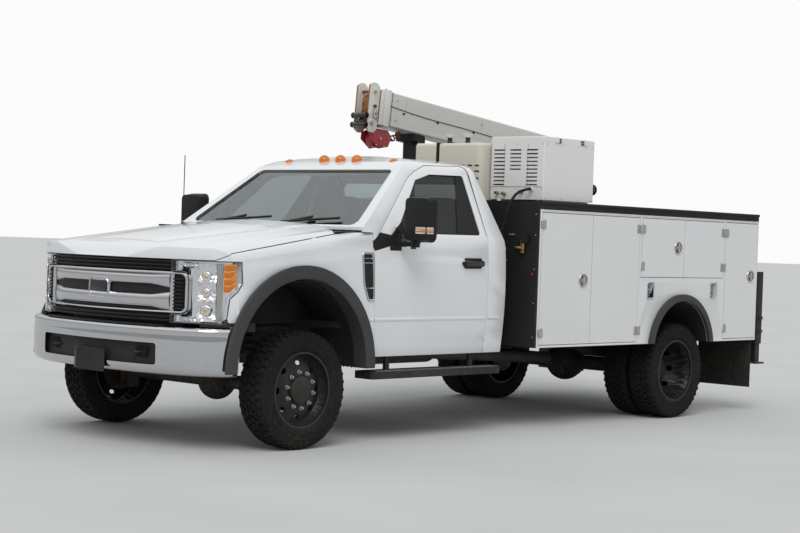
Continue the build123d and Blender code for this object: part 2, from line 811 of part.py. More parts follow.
# Dashboard with binnacle and centre stack, and the steering column
WHEEL_CENTRE = Vector(1290, 420, 1335)
COLUMN_DIR = Vector(-cos(radians(24)), 0, sin(radians(24)))
FLOOR_TOP = CAB_FLOOR_Z + FLOOR_T
with BuildPart() as dashboard:
    with BuildSketch(at_y(-870)):
        with BuildLine():
            Line((1590, 1120), (1590, 1425))
            Line((1590, 1425), (1400, 1410))
            ThreePointArc((1400, 1410), (1352, 1340), (1372, 1240))
            Polyline((1372, 1240), (1430, 1120), (1590, 1120))
        make_face()
    extrude(amount=-1740)
    with BuildSketch(at_y(-150)):
        with BuildLine():
            Polyline((1595, 1150), (1380, 1200), (1340, 1130), (1400, 930), (1595, 900), close=True)
        make_face()
    extrude(amount=-300)
    with BuildSketch(at_y(230)):
        with BuildLine():
            Polyline((1500, 1400), (1392, 1395), (1378, 1440), (1500, 1462), close=True)
        make_face()
    extrude(amount=-380)
    with BuildSketch(Plane(origin=WHEEL_CENTRE - COLUMN_DIR * (8 + PIN_GAP), z_dir=-COLUMN_DIR)):
        Circle(34)
    extrude(amount=180)
    with BuildSketch(Plane.YZ.offset(1585)):
        with Locations((0, 1150)):
            Rectangle(1300, 120)
    extrude(amount=15 - SEAT_GAP)
save(dashboard.part, "dashboard")

with BuildPart() as steering_wheel:
    wheel_plane = Plane(origin=WHEEL_CENTRE, x_dir=(0, 1, 0), z_dir=COLUMN_DIR)
    with Locations(wheel_plane):
        Torus(179, 14)
    with BuildSketch(wheel_plane.offset(-8)):
        Circle(62)
        for x, y, angle in ((-110, 0, 0), (110, 0, 0), (0, -110, 90)):
            with Locations((x, y)):
                Rectangle(126, 34, rotation=angle)
    extrude(amount=16)
save(steering_wheel.part, "steering_wheel")

# Seats: driver, narrow centre and passenger, each a cushion on a plinth with a raked back and headrest
# Seat columns: middle across, width
SEATS = [(520, 560), (0, 420), (-520, 560)]
with BuildPart() as seats:
    for y, width in SEATS:
        with BuildSketch(at_y(y)):
            with BuildLine():
                Polyline(
                    (560, FLOOR_TOP + 170),
                    (1070, FLOOR_TOP + 190),
                    (1085, FLOOR_TOP + 290),
                    (1040, FLOOR_TOP + 325),
                    (620, FLOOR_TOP + 300),
                    (455, FLOOR_TOP + 720),
                    (350, FLOOR_TOP + 720),
                    (470, FLOOR_TOP + 230),
                    close=True,
                )
            make_face()
        extrude(amount=width / 2, both=True)
        with BuildSketch(at_y(y)):
            with BuildLine():
                Polyline(
                    (352, FLOOR_TOP + 745),
                    (445, FLOOR_TOP + 745),
                    (425, FLOOR_TOP + 905),
                    (345, FLOOR_TOP + 905),
                    close=True,
                )
            make_face()
        extrude(amount=115, both=True)
        with BuildSketch(at_y(y)):
            with Locations((402, FLOOR_TOP + 732)):
                Rectangle(20, 40)
        extrude(amount=50, both=True)
        with BuildSketch(Plane.XY.offset(FLOOR_TOP + SEAT_GAP)):
            with Locations((800, y)):
                Rectangle(430, width - 120)
        extrude(amount=185)
save(seats.part, "seats")


# Nose: the plan view, the side view and a front view swept down along the hood line meet in one form


def nose_plan(inset):
    """Hood, fenders and grille seen from above."""
    with BuildSketch(Plane.XY) as view:
        with BuildLine():
            Polyline((NOSE_X - 368, CAB_HALF + 4), (FENDER_REAR_X, CAB_HALF + 4), (FENDER_REAR_X, 0))
            Line((FENDER_REAR_X, 0), (NOSE_X, 0))
            ThreePointArc((NOSE_X, 0), (NOSE_X - 26, 320), (NOSE_X - 96, 620))
            ThreePointArc((NOSE_X - 96, 620), (NOSE_X - 212, 870), (NOSE_X - 368, CAB_HALF + 4))
        make_face()
        mirror(about=Plane.XZ)
        if inset:
            offset(amount=-inset, mode=Mode.REPLACE)
    return view.sketch


def nose_side(inset):
    """Hood line, rounded nose and upright front seen from the side."""
    with BuildSketch(Plane.XZ) as view:
        with BuildLine():
            ThreePointArc((NOSE_X, 1200), (NOSE_X - 34, 1290), (NOSE_X - 130, 1362))
            Polyline(
                (NOSE_X - 130, 1362),
                (NOSE_X - 320, 1440),
                (NOSE_X - 700, 1700),
                (HOOD_REAR_X - 180, 1700),
                (HOOD_REAR_X - 180, 560),
                (NOSE_X, 560),
                (NOSE_X, 1200),
            )
        make_face()
        if inset:
            offset(amount=-inset, mode=Mode.REPLACE)
    return view.sketch


def nose_front(inset):
    """Fender flank and shoulder, hood edge and crown, as a section square to the hood line."""
    with BuildSketch(NOSE_PLANE) as view:
        with BuildLine():
            Line((0, 250), (CAB_HALF - 20, 250))
            ThreePointArc((CAB_HALF - 20, 250), (CAB_HALF + 2, 1050), (CAB_HALF - 26, 1413))
            ThreePointArc((CAB_HALF - 26, 1413), (950, 1483), (860, 1513))
            ThreePointArc((860, 1513), (430, 1537), (0, HOOD_REAR_Z + 15))
            Line((0, HOOD_REAR_Z + 15), (0, 250))
        make_face()
        mirror(about=Plane.YZ)
        if inset:
            offset(amount=-inset, mode=Mode.REPLACE)
    return view.sketch


def nose_form(inset):
    """Closed solid of the whole nose, drawn in by inset."""
    with BuildPart() as form:
        extrude(nose_front(inset), amount=2300)
        extrude(nose_plan(inset), amount=2200, mode=Mode.INTERSECT)
        extrude(nose_side(inset), amount=CAB_HALF + 100, both=True, mode=Mode.INTERSECT)
    return form.part


def nose_inside(depth):
    """Straight-sided space inside the nose, about depth below its skin."""
    flank = CAB_HALF - 2 - depth
    corner = NOSE_X - 368 - 0.6 * depth
    with BuildPart() as space:
        with BuildSketch(NOSE_PLANE):
            with BuildLine():
                Polyline(
                    (0, 250),
                    (flank - 18, 250),
                    (flank, 1050),
                    (flank - 24, 1403),
                    (860 - 0.3 * depth, 1509 - depth),
                    (430, 1533 - depth),
                    (0, HOOD_REAR_Z + 13 - depth),
                    close=True,
                )
            make_face()
            mirror(about=Plane.YZ)
        extrude(amount=2300)
        with BuildSketch(Plane.XY.offset(200)):
            with BuildLine():
                Polyline(
                    (FENDER_REAR_X - 60, 0),
                    (NOSE_X - depth - 2, 0),
                    (NOSE_X - 96 - depth, 620 - 0.3 * depth),
                    (NOSE_X - 212 - depth, 870 - 0.5 * depth),
                    (corner, CAB_HALF - depth),
                    (corner, 1200),
                    (FENDER_REAR_X - 60, 1200),
                    close=True,
                )
            make_face()
            mirror(about=Plane.XZ)
        extrude(amount=1600, mode=Mode.INTERSECT)
        with BuildSketch(Plane.XZ):
            with BuildLine():
                Polyline(
                    (FENDER_REAR_X - 100, 100),
                    (NOSE_X + 50, 100),
                    (NOSE_X + 50, 1180 - depth),
                    (NOSE_X - 30 - 0.8 * depth, 1290 - 0.4 * depth),
                    (NOSE_X - 130 - 0.6 * depth, 1358 - depth),
                    (NOSE_X - 700, 1700),
                    (FENDER_REAR_X - 100, 1700),
                    close=True,
                )
            make_face()
        extrude(amount=1200, both=True, mode=Mode.INTERSECT)
    return space.part


def seam_z(x):
    """Height of the hood's side seam at x, on its long straight run."""
    fall = (SEAM_REAR_Z - SEAM_FRONT_Z) / (SEAM_FRONT_X - 90 - HOOD_REAR_CORNER_X)
    return SEAM_REAR_Z - fall * (x - HOOD_REAR_CORNER_X)


def draw_above_seam(lift, mode=Mode.ADD):
    """Add the side view of what lies over the hood's side seam, which drops to the lamps near the front."""
    Polygon(
        (1400, SEAM_REAR_Z + 80 + lift),
        (HOOD_REAR_CORNER_X, SEAM_REAR_Z + lift),
        (SEAM_FRONT_X - 90, SEAM_FRONT_Z + lift),
        (SEAM_FRONT_X, GRILLE_TOP_Z + DOOR_GAP + 1 + lift),
        (NOSE_X + 60, GRILLE_TOP_Z + DOOR_GAP + 1 + lift),
        (NOSE_X + 60, 1900),
        (1400, 1900),
        align=None,
        mode=mode,
    )


def draw_lamp_side(grow, mode=Mode.ADD):
    """Add the headlamp's side view: its rear edge steps forward under the marker lamp."""
    Polygon(
        (LAMP_BACK_X - grow, GRILLE_TOP_Z + grow),
        (LAMP_BACK_X - grow, 1110),
        (LAMP_BACK_X + 82 - grow, 1010),
        (LAMP_BACK_X + 97 - grow, GRILLE_BOTTOM_Z - grow),
        (NOSE_X + 100, GRILLE_BOTTOM_Z - grow),
        (NOSE_X + 100, GRILLE_TOP_Z + grow),
        align=None,
        mode=mode,
    )


def draw_opening(radius, x, z, reach_low, mode=Mode.ADD):
    """Add a round-topped wheel opening with upright legs, as a side view."""
    with Locations((x, z)):
        Circle(radius, mode=mode)
    with Locations((x, z - reach_low / 2)):
        Rectangle(2 * radius, reach_low, mode=mode)


def hood_plan(grow):
    """Hood seen from above: its rear edge sweeps forward to the corners."""
    with BuildSketch(Plane.XY) as view:
        with BuildLine():
            Polyline(
                (NOSE_X + 100, -1100),
                (HOOD_REAR_CORNER_X + 20 - grow, -1100),
                (HOOD_REAR_CORNER_X - grow, -960),
                (HOOD_REAR_X + 40 - grow, -620),
                (HOOD_REAR_X - grow, 0),
                (HOOD_REAR_X + 40 - grow, 620),
                (HOOD_REAR_CORNER_X - grow, 960),
                (HOOD_REAR_CORNER_X + 20 - grow, 1100),
                (NOSE_X + 100, 1100),
                close=True,
            )
        make_face()
    return view.sketch


with BuildPart() as hood:
    with BuildSketch(Plane.XZ):
        draw_above_seam(0)
    extrude(amount=CAB_HALF + 100, both=True)
    extrude(hood_plan(0), amount=2200, mode=Mode.INTERSECT)
    add(nose_form(0), mode=Mode.INTERSECT)
    add(nose_inside(SHEET), mode=Mode.SUBTRACT)
    # Raised centre of the hood, following its crown a little above it and narrowing towards the nose
    with BuildPart(mode=Mode.PRIVATE) as dome:
        with BuildSketch(NOSE_PLANE):
            with BuildLine():
                Polyline(
                    (-590, HOOD_REAR_Z - 13),
                    (-540, HOOD_REAR_Z + 11),
                    (-260, HOOD_REAR_Z + 23),
                    (0, HOOD_REAR_Z + 15 + DOME_RISE),
                    (260, HOOD_REAR_Z + 23),
                    (540, HOOD_REAR_Z + 11),
                    (590, HOOD_REAR_Z - 13),
                    close=True,
                )
            make_face()
        extrude(amount=2300)
        with BuildSketch(Plane.XY.offset(1250)):
            with BuildLine():
                Polyline(
                    (HOOD_REAR_X + 75, -580),
                    (NOSE_X - 190, -400),
                    (NOSE_X - 190, 400),
                    (HOOD_REAR_X + 75, 580),
                    close=True,
                )
            make_face()
        extrude(amount=400, mode=Mode.INTERSECT)
    add(dome.part)
save(hood.part, "hood")


# Fenders: the nose form below the hood seam, shelled, with the wheel openings and the lamp pockets cut out
FENDER_T = 40
FENDER_IN_Y = CAB_HALF - 180
FLARE_LIP = 60
with BuildPart() as fenders:
    with BuildSketch(at_y(-CAB_HALF - 50)):
        with Locations(((FENDER_REAR_X - 100 + NOSE_X) / 2, 1000)):
            Rectangle(NOSE_X - FENDER_REAR_X + 100, 2 * (COWL_Z - 40 - 1000))
        draw_above_seam(-DOOR_GAP, Mode.SUBTRACT)
        draw_lamp_side(SEAT_GAP, Mode.SUBTRACT)
        with Locations((ARCH_X + 1000, 0)):
            Rectangle(2000, 2 * (BUMPER_TOP_Z + 8), mode=Mode.SUBTRACT)
        draw_opening(ARCH_R + FLARE_LIP + SEAT_GAP, ARCH_X, ARCH_Z, 400, Mode.SUBTRACT)
    extrude(amount=-2 * CAB_HALF - 100)
    with BuildSketch(Plane.XY):
        Rectangle(8000, 2 * FENDER_IN_Y)
    extrude(amount=2000, mode=Mode.SUBTRACT)
    add(nose_form(0), mode=Mode.INTERSECT)
    add(nose_inside(FENDER_T), mode=Mode.SUBTRACT)
    # Mounts to the firewall, and rubber stops under the hood's side edges
    for side in (1, -1):
        with BuildSketch(Plane.XY.offset(1180)):
            with Locations((CAB_FRONT_X + SEAT_GAP + 30, side * (CAB_HALF - 90))):
                Rectangle(60, 110)
        extrude(amount=230)
        with BuildSketch(at_y(side * 922)):
            Polygon(
                (2180, seam_z(2180) - DOOR_GAP - 6),
                (2220, seam_z(2220) - DOOR_GAP - 6),
                (2220, seam_z(2220) - PIN_GAP),
                (2180, seam_z(2180) - PIN_GAP),
                align=None,
            )
        extrude(amount=-side * 22)
save(fenders.part, "fenders")

# Wheel guards: flares round all four wheel openings, and mud flaps under the rear corners of the body
FLARE_OUT_Y = CAB_HALF + 32
REAR_FLARE_W = 58
FLAP_LOW_Z = 215
with BuildPart() as wheel_guards:
    for side in (1, -1):
        with BuildSketch(at_y(side * (CAB_HALF - 90))):
            draw_opening(ARCH_R + FLARE_LIP, ARCH_X, ARCH_Z, 20)
            draw_opening(ARCH_R, ARCH_X, ARCH_Z, 40, Mode.SUBTRACT)
            with Locations((ARCH_X, ARCH_Z - 20 - ARCH_R)):
                Rectangle(3 * ARCH_R, 2 * ARCH_R, mode=Mode.SUBTRACT)
        extrude(amount=-side * (FLARE_OUT_Y - CAB_HALF + 90))
        with BuildSketch(at_y(side * (CAB_HALF + 4 + SEAT_GAP))):
            draw_opening(ARCH_R + FLARE_W, ARCH_X, ARCH_Z, 20)
            draw_opening(ARCH_R, ARCH_X, ARCH_Z, 40, Mode.SUBTRACT)
            with Locations((ARCH_X, ARCH_Z - 20 - ARCH_R)):
                Rectangle(3 * ARCH_R, 2 * ARCH_R, mode=Mode.SUBTRACT)
        extrude(amount=-side * (FLARE_OUT_Y - CAB_HALF - 4 - SEAT_GAP))
        with BuildSketch(at_y(side * (BODY_HALF + SEAT_GAP))):
            with Locations((REAR_AXLE_X, REAR_ARCH_Z)):
                Circle(REAR_ARCH_R + REAR_FLARE_W)
                Circle(REAR_ARCH_R, mode=Mode.SUBTRACT)
            with Locations((REAR_AXLE_X, BODY_Z - 500)):
                Rectangle(2000, 1000, mode=Mode.SUBTRACT)
        extrude(amount=-side * 32)
        with BuildSketch(Plane.YZ.offset(BODY_REAR_X + 40)):
            with Locations((side * (BODY_HALF - 285), (BODY_Z + FLAP_LOW_Z) / 2)):
                Rectangle(550, BODY_Z - SEAT_GAP - FLAP_LOW_Z)
        extrude(amount=9)
save(wheel_guards.part, "wheel_guards")


def nose_band(outer, inner):
    """Curved skin of the nose between two insets, front half only."""
    with BuildPart() as band:
        add(nose_form(outer))
        add(nose_form(inner), mode=Mode.SUBTRACT)
        with BuildSketch(Plane.XY.offset(GRILLE_BOTTOM_Z)):
            with Locations((NOSE_X - 200, 0)):
                Rectangle(700, 2400)
        extrude(amount=GRILLE_TOP_Z - GRILLE_BOTTOM_Z, mode=Mode.INTERSECT)
    return band.part


# Grille frame: a rounded bright surround, two wide bars that flare towards its ends and a plain block between
FRAME_Z = 1038
FRAME_HALF = 760
FRAME_H = 284
FRAME_RIM = 34
BAR_END_Y = 620
# Bar columns: lower edge and upper edge at the middle, then at the flared ends
BARS = [(1082, 1158, 1060, 1168), (936, 1026, 912, 1042)]
GRILLE_BACK = 30
with BuildPart() as grille_frame:
    add(nose_band(0, GRILLE_BACK - SEAT_GAP))
    with BuildSketch(Plane.YZ):
        with Locations((0, FRAME_Z)):
            RectangleRounded(2 * FRAME_HALF, FRAME_H, 55)
            RectangleRounded(2 * FRAME_HALF - 2 * FRAME_RIM, FRAME_H - 2 * FRAME_RIM + 30, 40, mode=Mode.SUBTRACT)
        for low, high, end_low, end_high in BARS:
            with BuildLine():
                Polyline(
                    (-BAR_END_Y, end_low),
                    (-BAR_END_Y + 150, low),
                    (BAR_END_Y - 150, low),
                    (BAR_END_Y, end_low),
                    (BAR_END_Y, end_high),
                    (BAR_END_Y - 150, high),
                    (-BAR_END_Y + 150, high),
                    (-BAR_END_Y, end_high),
                    close=True,
                )
            make_face()
        for y in (-BAR_END_Y, BAR_END_Y):
            with Locations((y, FRAME_Z)):
                Rectangle(26, FRAME_H - 20)
        with Locations((0, FRAME_Z + 10)):
            RectangleRounded(220, 150, 30)
    extrude(amount=NOSE_X + 100, mode=Mode.INTERSECT)
save(grille_frame.part, "grille_frame")

# Grille louvres: a dark back panel with slats over and under the frame and in its ends
# Slat columns: across low, across high, first height, number
SLAT_GROUPS = [(-636, 636, 1188, 3), (-636, 636, 852, 2), (652, 716, 930, 9), (-716, -652, 930, 9)]
SLAT_PITCH = 24
with BuildPart() as grille_louvres:
    add(nose_band(GRILLE_BACK, GRILLE_BACK + 14))
    with BuildSketch(Plane.YZ):
        with Locations((0, (GRILLE_TOP_Z + GRILLE_BOTTOM_Z) / 2)):
            Rectangle(1280, GRILLE_TOP_Z - GRILLE_BOTTOM_Z)
        with Locations((0, FRAME_Z)):
            RectangleRounded(2 * FRAME_HALF - 20, FRAME_H - 16, 50)
    extrude(amount=NOSE_X + 100, mode=Mode.INTERSECT)
    with BuildPart(mode=Mode.PRIVATE) as slats:
        add(nose_band(8, GRILLE_BACK + 4))
        with BuildSketch(Plane.YZ):
            for low, high, first, count in SLAT_GROUPS:
                for slat in range(count):
                    with Locations(((low + high) / 2, first + slat * SLAT_PITCH + 5)):
                        Rectangle(high - low, 10)
        extrude(amount=NOSE_X + 100, mode=Mode.INTERSECT)
    add(slats.part)
save(grille_louvres.part, "grille_louvres")

# Headlamps: tall lamps wrapped round the corners, notched round the ends of the grille frame
LAMP_DEPTH = 100
with BuildPart() as headlamps:
    add(nose_form(1))
    add(nose_form(LAMP_DEPTH), mode=Mode.SUBTRACT)
    with BuildSketch(Plane.XZ):
        draw_lamp_side(0)
    extrude(amount=CAB_HALF + 100, both=True, mode=Mode.INTERSECT)
    with BuildSketch(Plane.YZ):
        with Locations((0, (GRILLE_TOP_Z + GRILLE_BOTTOM_Z) / 2)):
            Rectangle(2 * (640 + SEAT_GAP), GRILLE_TOP_Z - GRILLE_BOTTOM_Z + 20)
        with Locations((0, FRAME_Z)):
            RectangleRounded(2 * (FRAME_HALF + SEAT_GAP), FRAME_H + 2 * SEAT_GAP, 53)
    extrude(amount=NOSE_X + 100, mode=Mode.SUBTRACT)
    split(bisect_by=Plane.XZ, keep=Keep.BOTH)
save(headlamps.part, "headlamps")


def bumper_plan(inset):
    """Front bumper seen from above."""
    front = BUMPER_X - 6
    with BuildSketch(Plane.XY) as view:
        with BuildLine():
            ThreePointArc((front, 0), (front - 18, 330), (front - 74, 640))
            ThreePointArc((front - 74, 640), (front - 170, 880), (front - 330, BUMPER_HALF))
            Polyline(
                (front - 330, BUMPER_HALF),
                (front - 420, BUMPER_HALF + 4),
                (front - 420, 0),
                (front, 0),
            )
        make_face()
        mirror(about=Plane.XZ)
        if inset:
            offset(amount=-inset, mode=Mode.REPLACE)
    return view.sketch


def bumper_zone():
    """Front view of the bumper: its lower corners rise towards the wheels."""
    with BuildSketch(Plane.YZ) as view:
        with BuildLine():
            Polyline(
                (-BUMPER_HALF - 20, 560),
                (-820, BUMPER_BOTTOM_Z),
                (820, BUMPER_BOTTOM_Z),
                (BUMPER_HALF + 20, 560),
                (BUMPER_HALF + 20, BUMPER_TOP_Z),
                (-BUMPER_HALF - 20, BUMPER_TOP_Z),
                close=True,
            )
        make_face()
    return view.sketch


# Front bumper: a bowed bright channel with a long opening, cut back round the wheel flares
OPENING_Z = 640
OPENING_H = 130
OPENING_HALF = 600
with BuildPart() as front_bumper:
    extrude(bumper_plan(0), amount=1000)
    extrude(bumper_plan(BUMPER_T), amount=1000, mode=Mode.SUBTRACT)
    extrude(bumper_zone(), amount=BUMPER_X, mode=Mode.INTERSECT)
    with BuildSketch(Plane.XY):
        with Locations((BUMPER_X, 0)):
            Rectangle(2 * 420 - 40, 3000)
    extrude(amount=1200, mode=Mode.INTERSECT)
    with BuildSketch(Plane.YZ.offset(2800)):
        with Locations((0, OPENING_Z)):
            RectangleRounded(2 * OPENING_HALF, OPENING_H, 22)
    extrude(amount=800, mode=Mode.SUBTRACT)
    with BuildSketch(Plane.XZ):
        draw_opening(ARCH_R + FLARE_W + 6, ARCH_X, ARCH_Z, 400)
    extrude(amount=CAB_HALF + 100, both=True, mode=Mode.SUBTRACT)
save(front_bumper.part, "front_bumper")

# Bumper trim: the dark insert behind the opening, a step pad on top, a blank plate and the frame brackets
PLATE_Z = 565
with BuildPart() as bumper_trim:
    with BuildPart(mode=Mode.PRIVATE) as insert:
        extrude(bumper_plan(BUMPER_T + SEAT_GAP), amount=1000)
        extrude(bumper_plan(BUMPER_T + 22), amount=1000, mode=Mode.SUBTRACT)
        with BuildSketch(Plane.YZ.offset(3000)):
            with Locations((0, OPENING_Z)):
                Rectangle(2 * OPENING_HALF + 60, OPENING_H + 50)
        extrude(amount=400, mode=Mode.INTERSECT)
    add(insert.part)
    with BuildPart(mode=Mode.PRIVATE) as pad:
        extrude(bumper_plan(10), amount=BUMPER_TOP_Z + 12)
        with BuildSketch(Plane.XY.offset(BUMPER_TOP_Z + SEAT_GAP)):
            with Locations((BUMPER_X - 75, 0)):
                Rectangle(130, 1180)
        extrude(amount=100, mode=Mode.INTERSECT)
    add(pad.part)
    with BuildSketch(Plane.YZ.offset(BUMPER_X - 5.5)):
        with Locations((0, PLATE_Z)):
            RectangleRounded(305, 152, 10)
    extrude(amount=5.5)
    with BuildPart(mode=Mode.PRIVATE) as brackets:
        extrude(bumper_plan(BUMPER_T + 22 + SEAT_GAP), amount=1000)
        with BuildSketch(Plane.YZ.offset(RAIL_FRONT_X + SEAT_GAP)):
            for y in (-FRAME_W / 2 + 30, FRAME_W / 2 - 30):
                with Locations((y, RAIL_BOTTOM + RAIL_H / 2)):
                    Rectangle(60, 150)
        extrude(amount=200, mode=Mode.INTERSECT)
    add(brackets.part)
save(bumper_trim.part, "bumper_trim")

# Cowl panel between hood and windscreen, with two wipers lying on the screen and the aerial
SCREEN = Plane(
    origin=(COWL_X, 0, COWL_Z),
    x_dir=(0, 1, 0),
    z_dir=(HEADER_Z - COWL_Z, 0, COWL_X - HEADER_X),
)
with BuildPart() as cowl_trim:
    with BuildSketch(Plane.XY.offset(COWL_Z - 35)):
        with BuildLine():
            Polyline(
                (COWL_X + SEAT_GAP, -CAB_HALF + 60),
                (COWL_X + SEAT_GAP, CAB_HALF - 60),
                (HOOD_REAR_CORNER_X - 20, CAB_HALF - 60),
                (HOOD_REAR_X + 25, 620),
                (HOOD_REAR_X - 14, 0),
                (HOOD_REAR_X + 25, -620),
                (HOOD_REAR_CORNER_X - 20, -CAB_HALF + 60),
                close=True,
            )
        make_face()
    extrude(amount=12)
    for y, turn in ((90, -8), (-620, -8)):
        with BuildSketch(SCREEN.offset(2)):
            with Locations(Location((y + 300, 62, 0), (0, 0, turn + 14))):
                Rectangle(560, 12)
            with Locations(Location((y + 140, 48, 0), (0, 0, turn + 26))):
                Rectangle(330, 18)
        extrude(amount=12)
        with BuildSketch(Plane.XY.offset(COWL_Z - 30)):
            with Locations((COWL_X + 17, y + 10)):
                Circle(14)
        extrude(amount=46)
    with BuildSketch(Plane.XY.offset(COWL_Z - 26)):
        with Locations((1815, -880)):
            Circle(16)
    extrude(amount=22)
    with BuildSketch(Plane.XY.offset(COWL_Z - 10)):
        with Locations((1815, -880)):
            Circle(3.5)
    extrude(amount=520)
save(cowl_trim.part, "cowl_trim")

# Marker lamps: low domes seated on the roof's front edge, and two tail lamps on each cabinet's rear face
# Roof lamp columns: across, height of the dome's middle
ROOF_LAMPS = [(-560, 1992), (-175, 2022), (0, 2022), (175, 2022), (560, 1992)]
with BuildPart() as marker_lamps:
    for y, z in ROOF_LAMPS:
        with Locations((1010, y, z)):
            Sphere(42)
    add(cab_form(0), mode=Mode.SUBTRACT)
    for side in (1, -1):
        for z in (1330, 1490):
            with BuildSketch(Plane.YZ.offset(BODY_REAR_X - SEAT_GAP - 22)):
                with Locations((side * (BODY_HALF - 90), z)):
                    RectangleRounded(110, 120, 20)
            extrude(amount=22)
save(marker_lamps.part, "marker_lamps")

# Running boards: a channel step on two brackets under each sill
BOARD_Z = 446
BOARD_T = 52
with BuildPart() as running_boards:
    for side in (1, -1):
        with BuildSketch(Plane.XY.offset(BOARD_Z)):
            with Locations((975, side * (CAB_HALF - 60))):
                RectangleRounded(1420, 190, 30)
        extrude(amount=BOARD_T)
        with BuildSketch(Plane.XY.offset(BOARD_Z - 10)):
            with Locations((975, side * (CAB_HALF - 60))):
                Rectangle(1360, 150)
        extrude(amount=30, mode=Mode.SUBTRACT)
        for x in (480, 1400):
            with BuildSketch(Plane.YZ.offset(x)):
                with BuildLine():
                    Polyline(
                        (side * (CAB_HALF - 100), BOARD_Z + 24),
                        (side * (CAB_HALF - 70), BOARD_Z + 24),
                        (side * (CAB_HALF - 79), SILL_Z - SEAT_GAP),
                        (side * (CAB_HALF - 100), SILL_Z - SEAT_GAP),
                        close=True,
                    )
                make_face()
            extrude(amount=40)
save(running_boards.part, "running_boards")


# Service body: one cabinet on each side, with three compartments behind five doors and a wheel well
# Compartment columns: front x, rear x, low z
COMPARTMENTS = [(20, -1298, BODY_Z), (-1298, -2576, WELL_TOP_Z), (-2576, BODY_REAR_X + SKIN, BODY_Z)]
# Door columns: name, front x, rear x, low z, high z, hinge at the front edge, handle x, handle z
DOOR_LOW = BODY_Z + 22
DOOR_HIGH = BODY_TOP_Z - 26
WELL_DOOR_LOW = WELL_TOP_Z + 42
DOORS = [
    ("a", 14, -633, DOOR_LOW, DOOR_HIGH, True, -526, 1160),
    ("b", -638, -1284, DOOR_LOW, DOOR_HIGH, False, None, 0),
    ("c", -1322, -1943, WELL_DOOR_LOW, DOOR_HIGH, True, -1850, 1440),
    ("d", -1948, -2562, WELL_DOOR_LOW, DOOR_HIGH, False, None, 0),
    ("e", -2598, BODY_REAR_X + 16, DOOR_LOW, DOOR_HIGH, True, -3020, 1210),
]
HINGE_R = 8
HINGE_Y = BODY_HALF + HINGE_R + PIN_GAP
with BuildPart() as cabinet_left:
    with BuildSketch(Plane.XY.offset(BODY_Z)):
        with Locations(((BODY_FRONT_X + BODY_REAR_X) / 2, BODY_HALF - CABINET_DEPTH / 2)):
            Rectangle(BODY_LENGTH, CABINET_DEPTH)
    extrude(amount=BODY_TOP_Z - BODY_Z)
    for x_front, x_rear, low in COMPARTMENTS:
        with BuildSketch(Plane.XY.offset(low + SKIN)):
            with Locations(((x_front + x_rear) / 2, BODY_HALF - CABINET_DEPTH / 2)):
                Rectangle(x_front - x_rear - SKIN, CABINET_DEPTH - 2 * SKIN)
        extrude(amount=BODY_TOP_Z - SKIN - low - SKIN, mode=Mode.SUBTRACT)
    with BuildSketch(at_y(BODY_HALF + 1)):
        for name, x_front, x_rear, low, high, hinge_front, handle_x, handle_z in DOORS:
            gap_front = DOOR_GAP / 2 if name in "bd" else DOOR_GAP
            gap_rear = DOOR_GAP / 2 if name in "ac" else DOOR_GAP
            with Locations(((x_front + gap_front + x_rear - gap_rear) / 2, (low + high) / 2)):
                Rectangle(x_front - x_rear + gap_front + gap_rear, high - low + 2 * DOOR_GAP)
    extrude(amount=SKIN + 2, mode=Mode.SUBTRACT)
    # Wheel well: open below and inboard, under a curved liner behind the arch
    with BuildSketch(at_y(BODY_HALF - SKIN)):
        with Locations((REAR_AXLE_X, (BODY_Z + WELL_TOP_Z) / 2 - 20)):
            Rectangle(1278 - 2 * SKIN, WELL_TOP_Z - BODY_Z + 40 - SKIN)
        with Locations((REAR_AXLE_X, REAR_ARCH_Z)):
            Circle(REAR_ARCH_R + 10, mode=Mode.SUBTRACT)
    extrude(amount=CABINET_DEPTH - 2 * SKIN, mode=Mode.SUBTRACT)
    with BuildSketch(at_y(BODY_HALF + 1)):
        with Locations((REAR_AXLE_X, REAR_ARCH_Z)):
            Circle(REAR_ARCH_R)
    extrude(amount=CABINET_DEPTH - SKIN + 1, mode=Mode.SUBTRACT)
    # Latch pockets beside the arch, each a framed recess
    for x in (-1460, -2415):
        with BuildSketch(at_y(BODY_HALF - SKIN)):
            with Locations((x, 1082)):
                Rectangle(118, 158)
        extrude(amount=24)
        with BuildSketch(at_y(BODY_HALF)):
            with Locations((x, 1082)):
                RectangleRounded(100, 140, 16)
        extrude(amount=-4)
        with BuildSketch(at_y(BODY_HALF + 4)):
            with Locations((x, 1082)):
                RectangleRounded(84, 124, 10)
        extrude(amount=36, mode=Mode.SUBTRACT)
    # Fixed hinge leaves beside each hinged edge
    for name, x_front, x_rear, low, high, hinge_front, handle_x, handle_z in DOORS:
        hinge_x = x_front + DOOR_GAP / 2 if hinge_front else x_rear - DOOR_GAP / 2
        away = 1 if hinge_front else -1
        for z in (low + 90, high - 90):
            with BuildSketch(at_y(BODY_HALF)):
                with Locations((hinge_x + away * (HINGE_R + PIN_GAP + 3), z)):
                    Rectangle(6, 56)
            extrude(amount=-6)
save(cabinet_left.part, "cabinet_left")
save(cabinet_left.part.mirror(Plane.XZ), "cabinet_right")

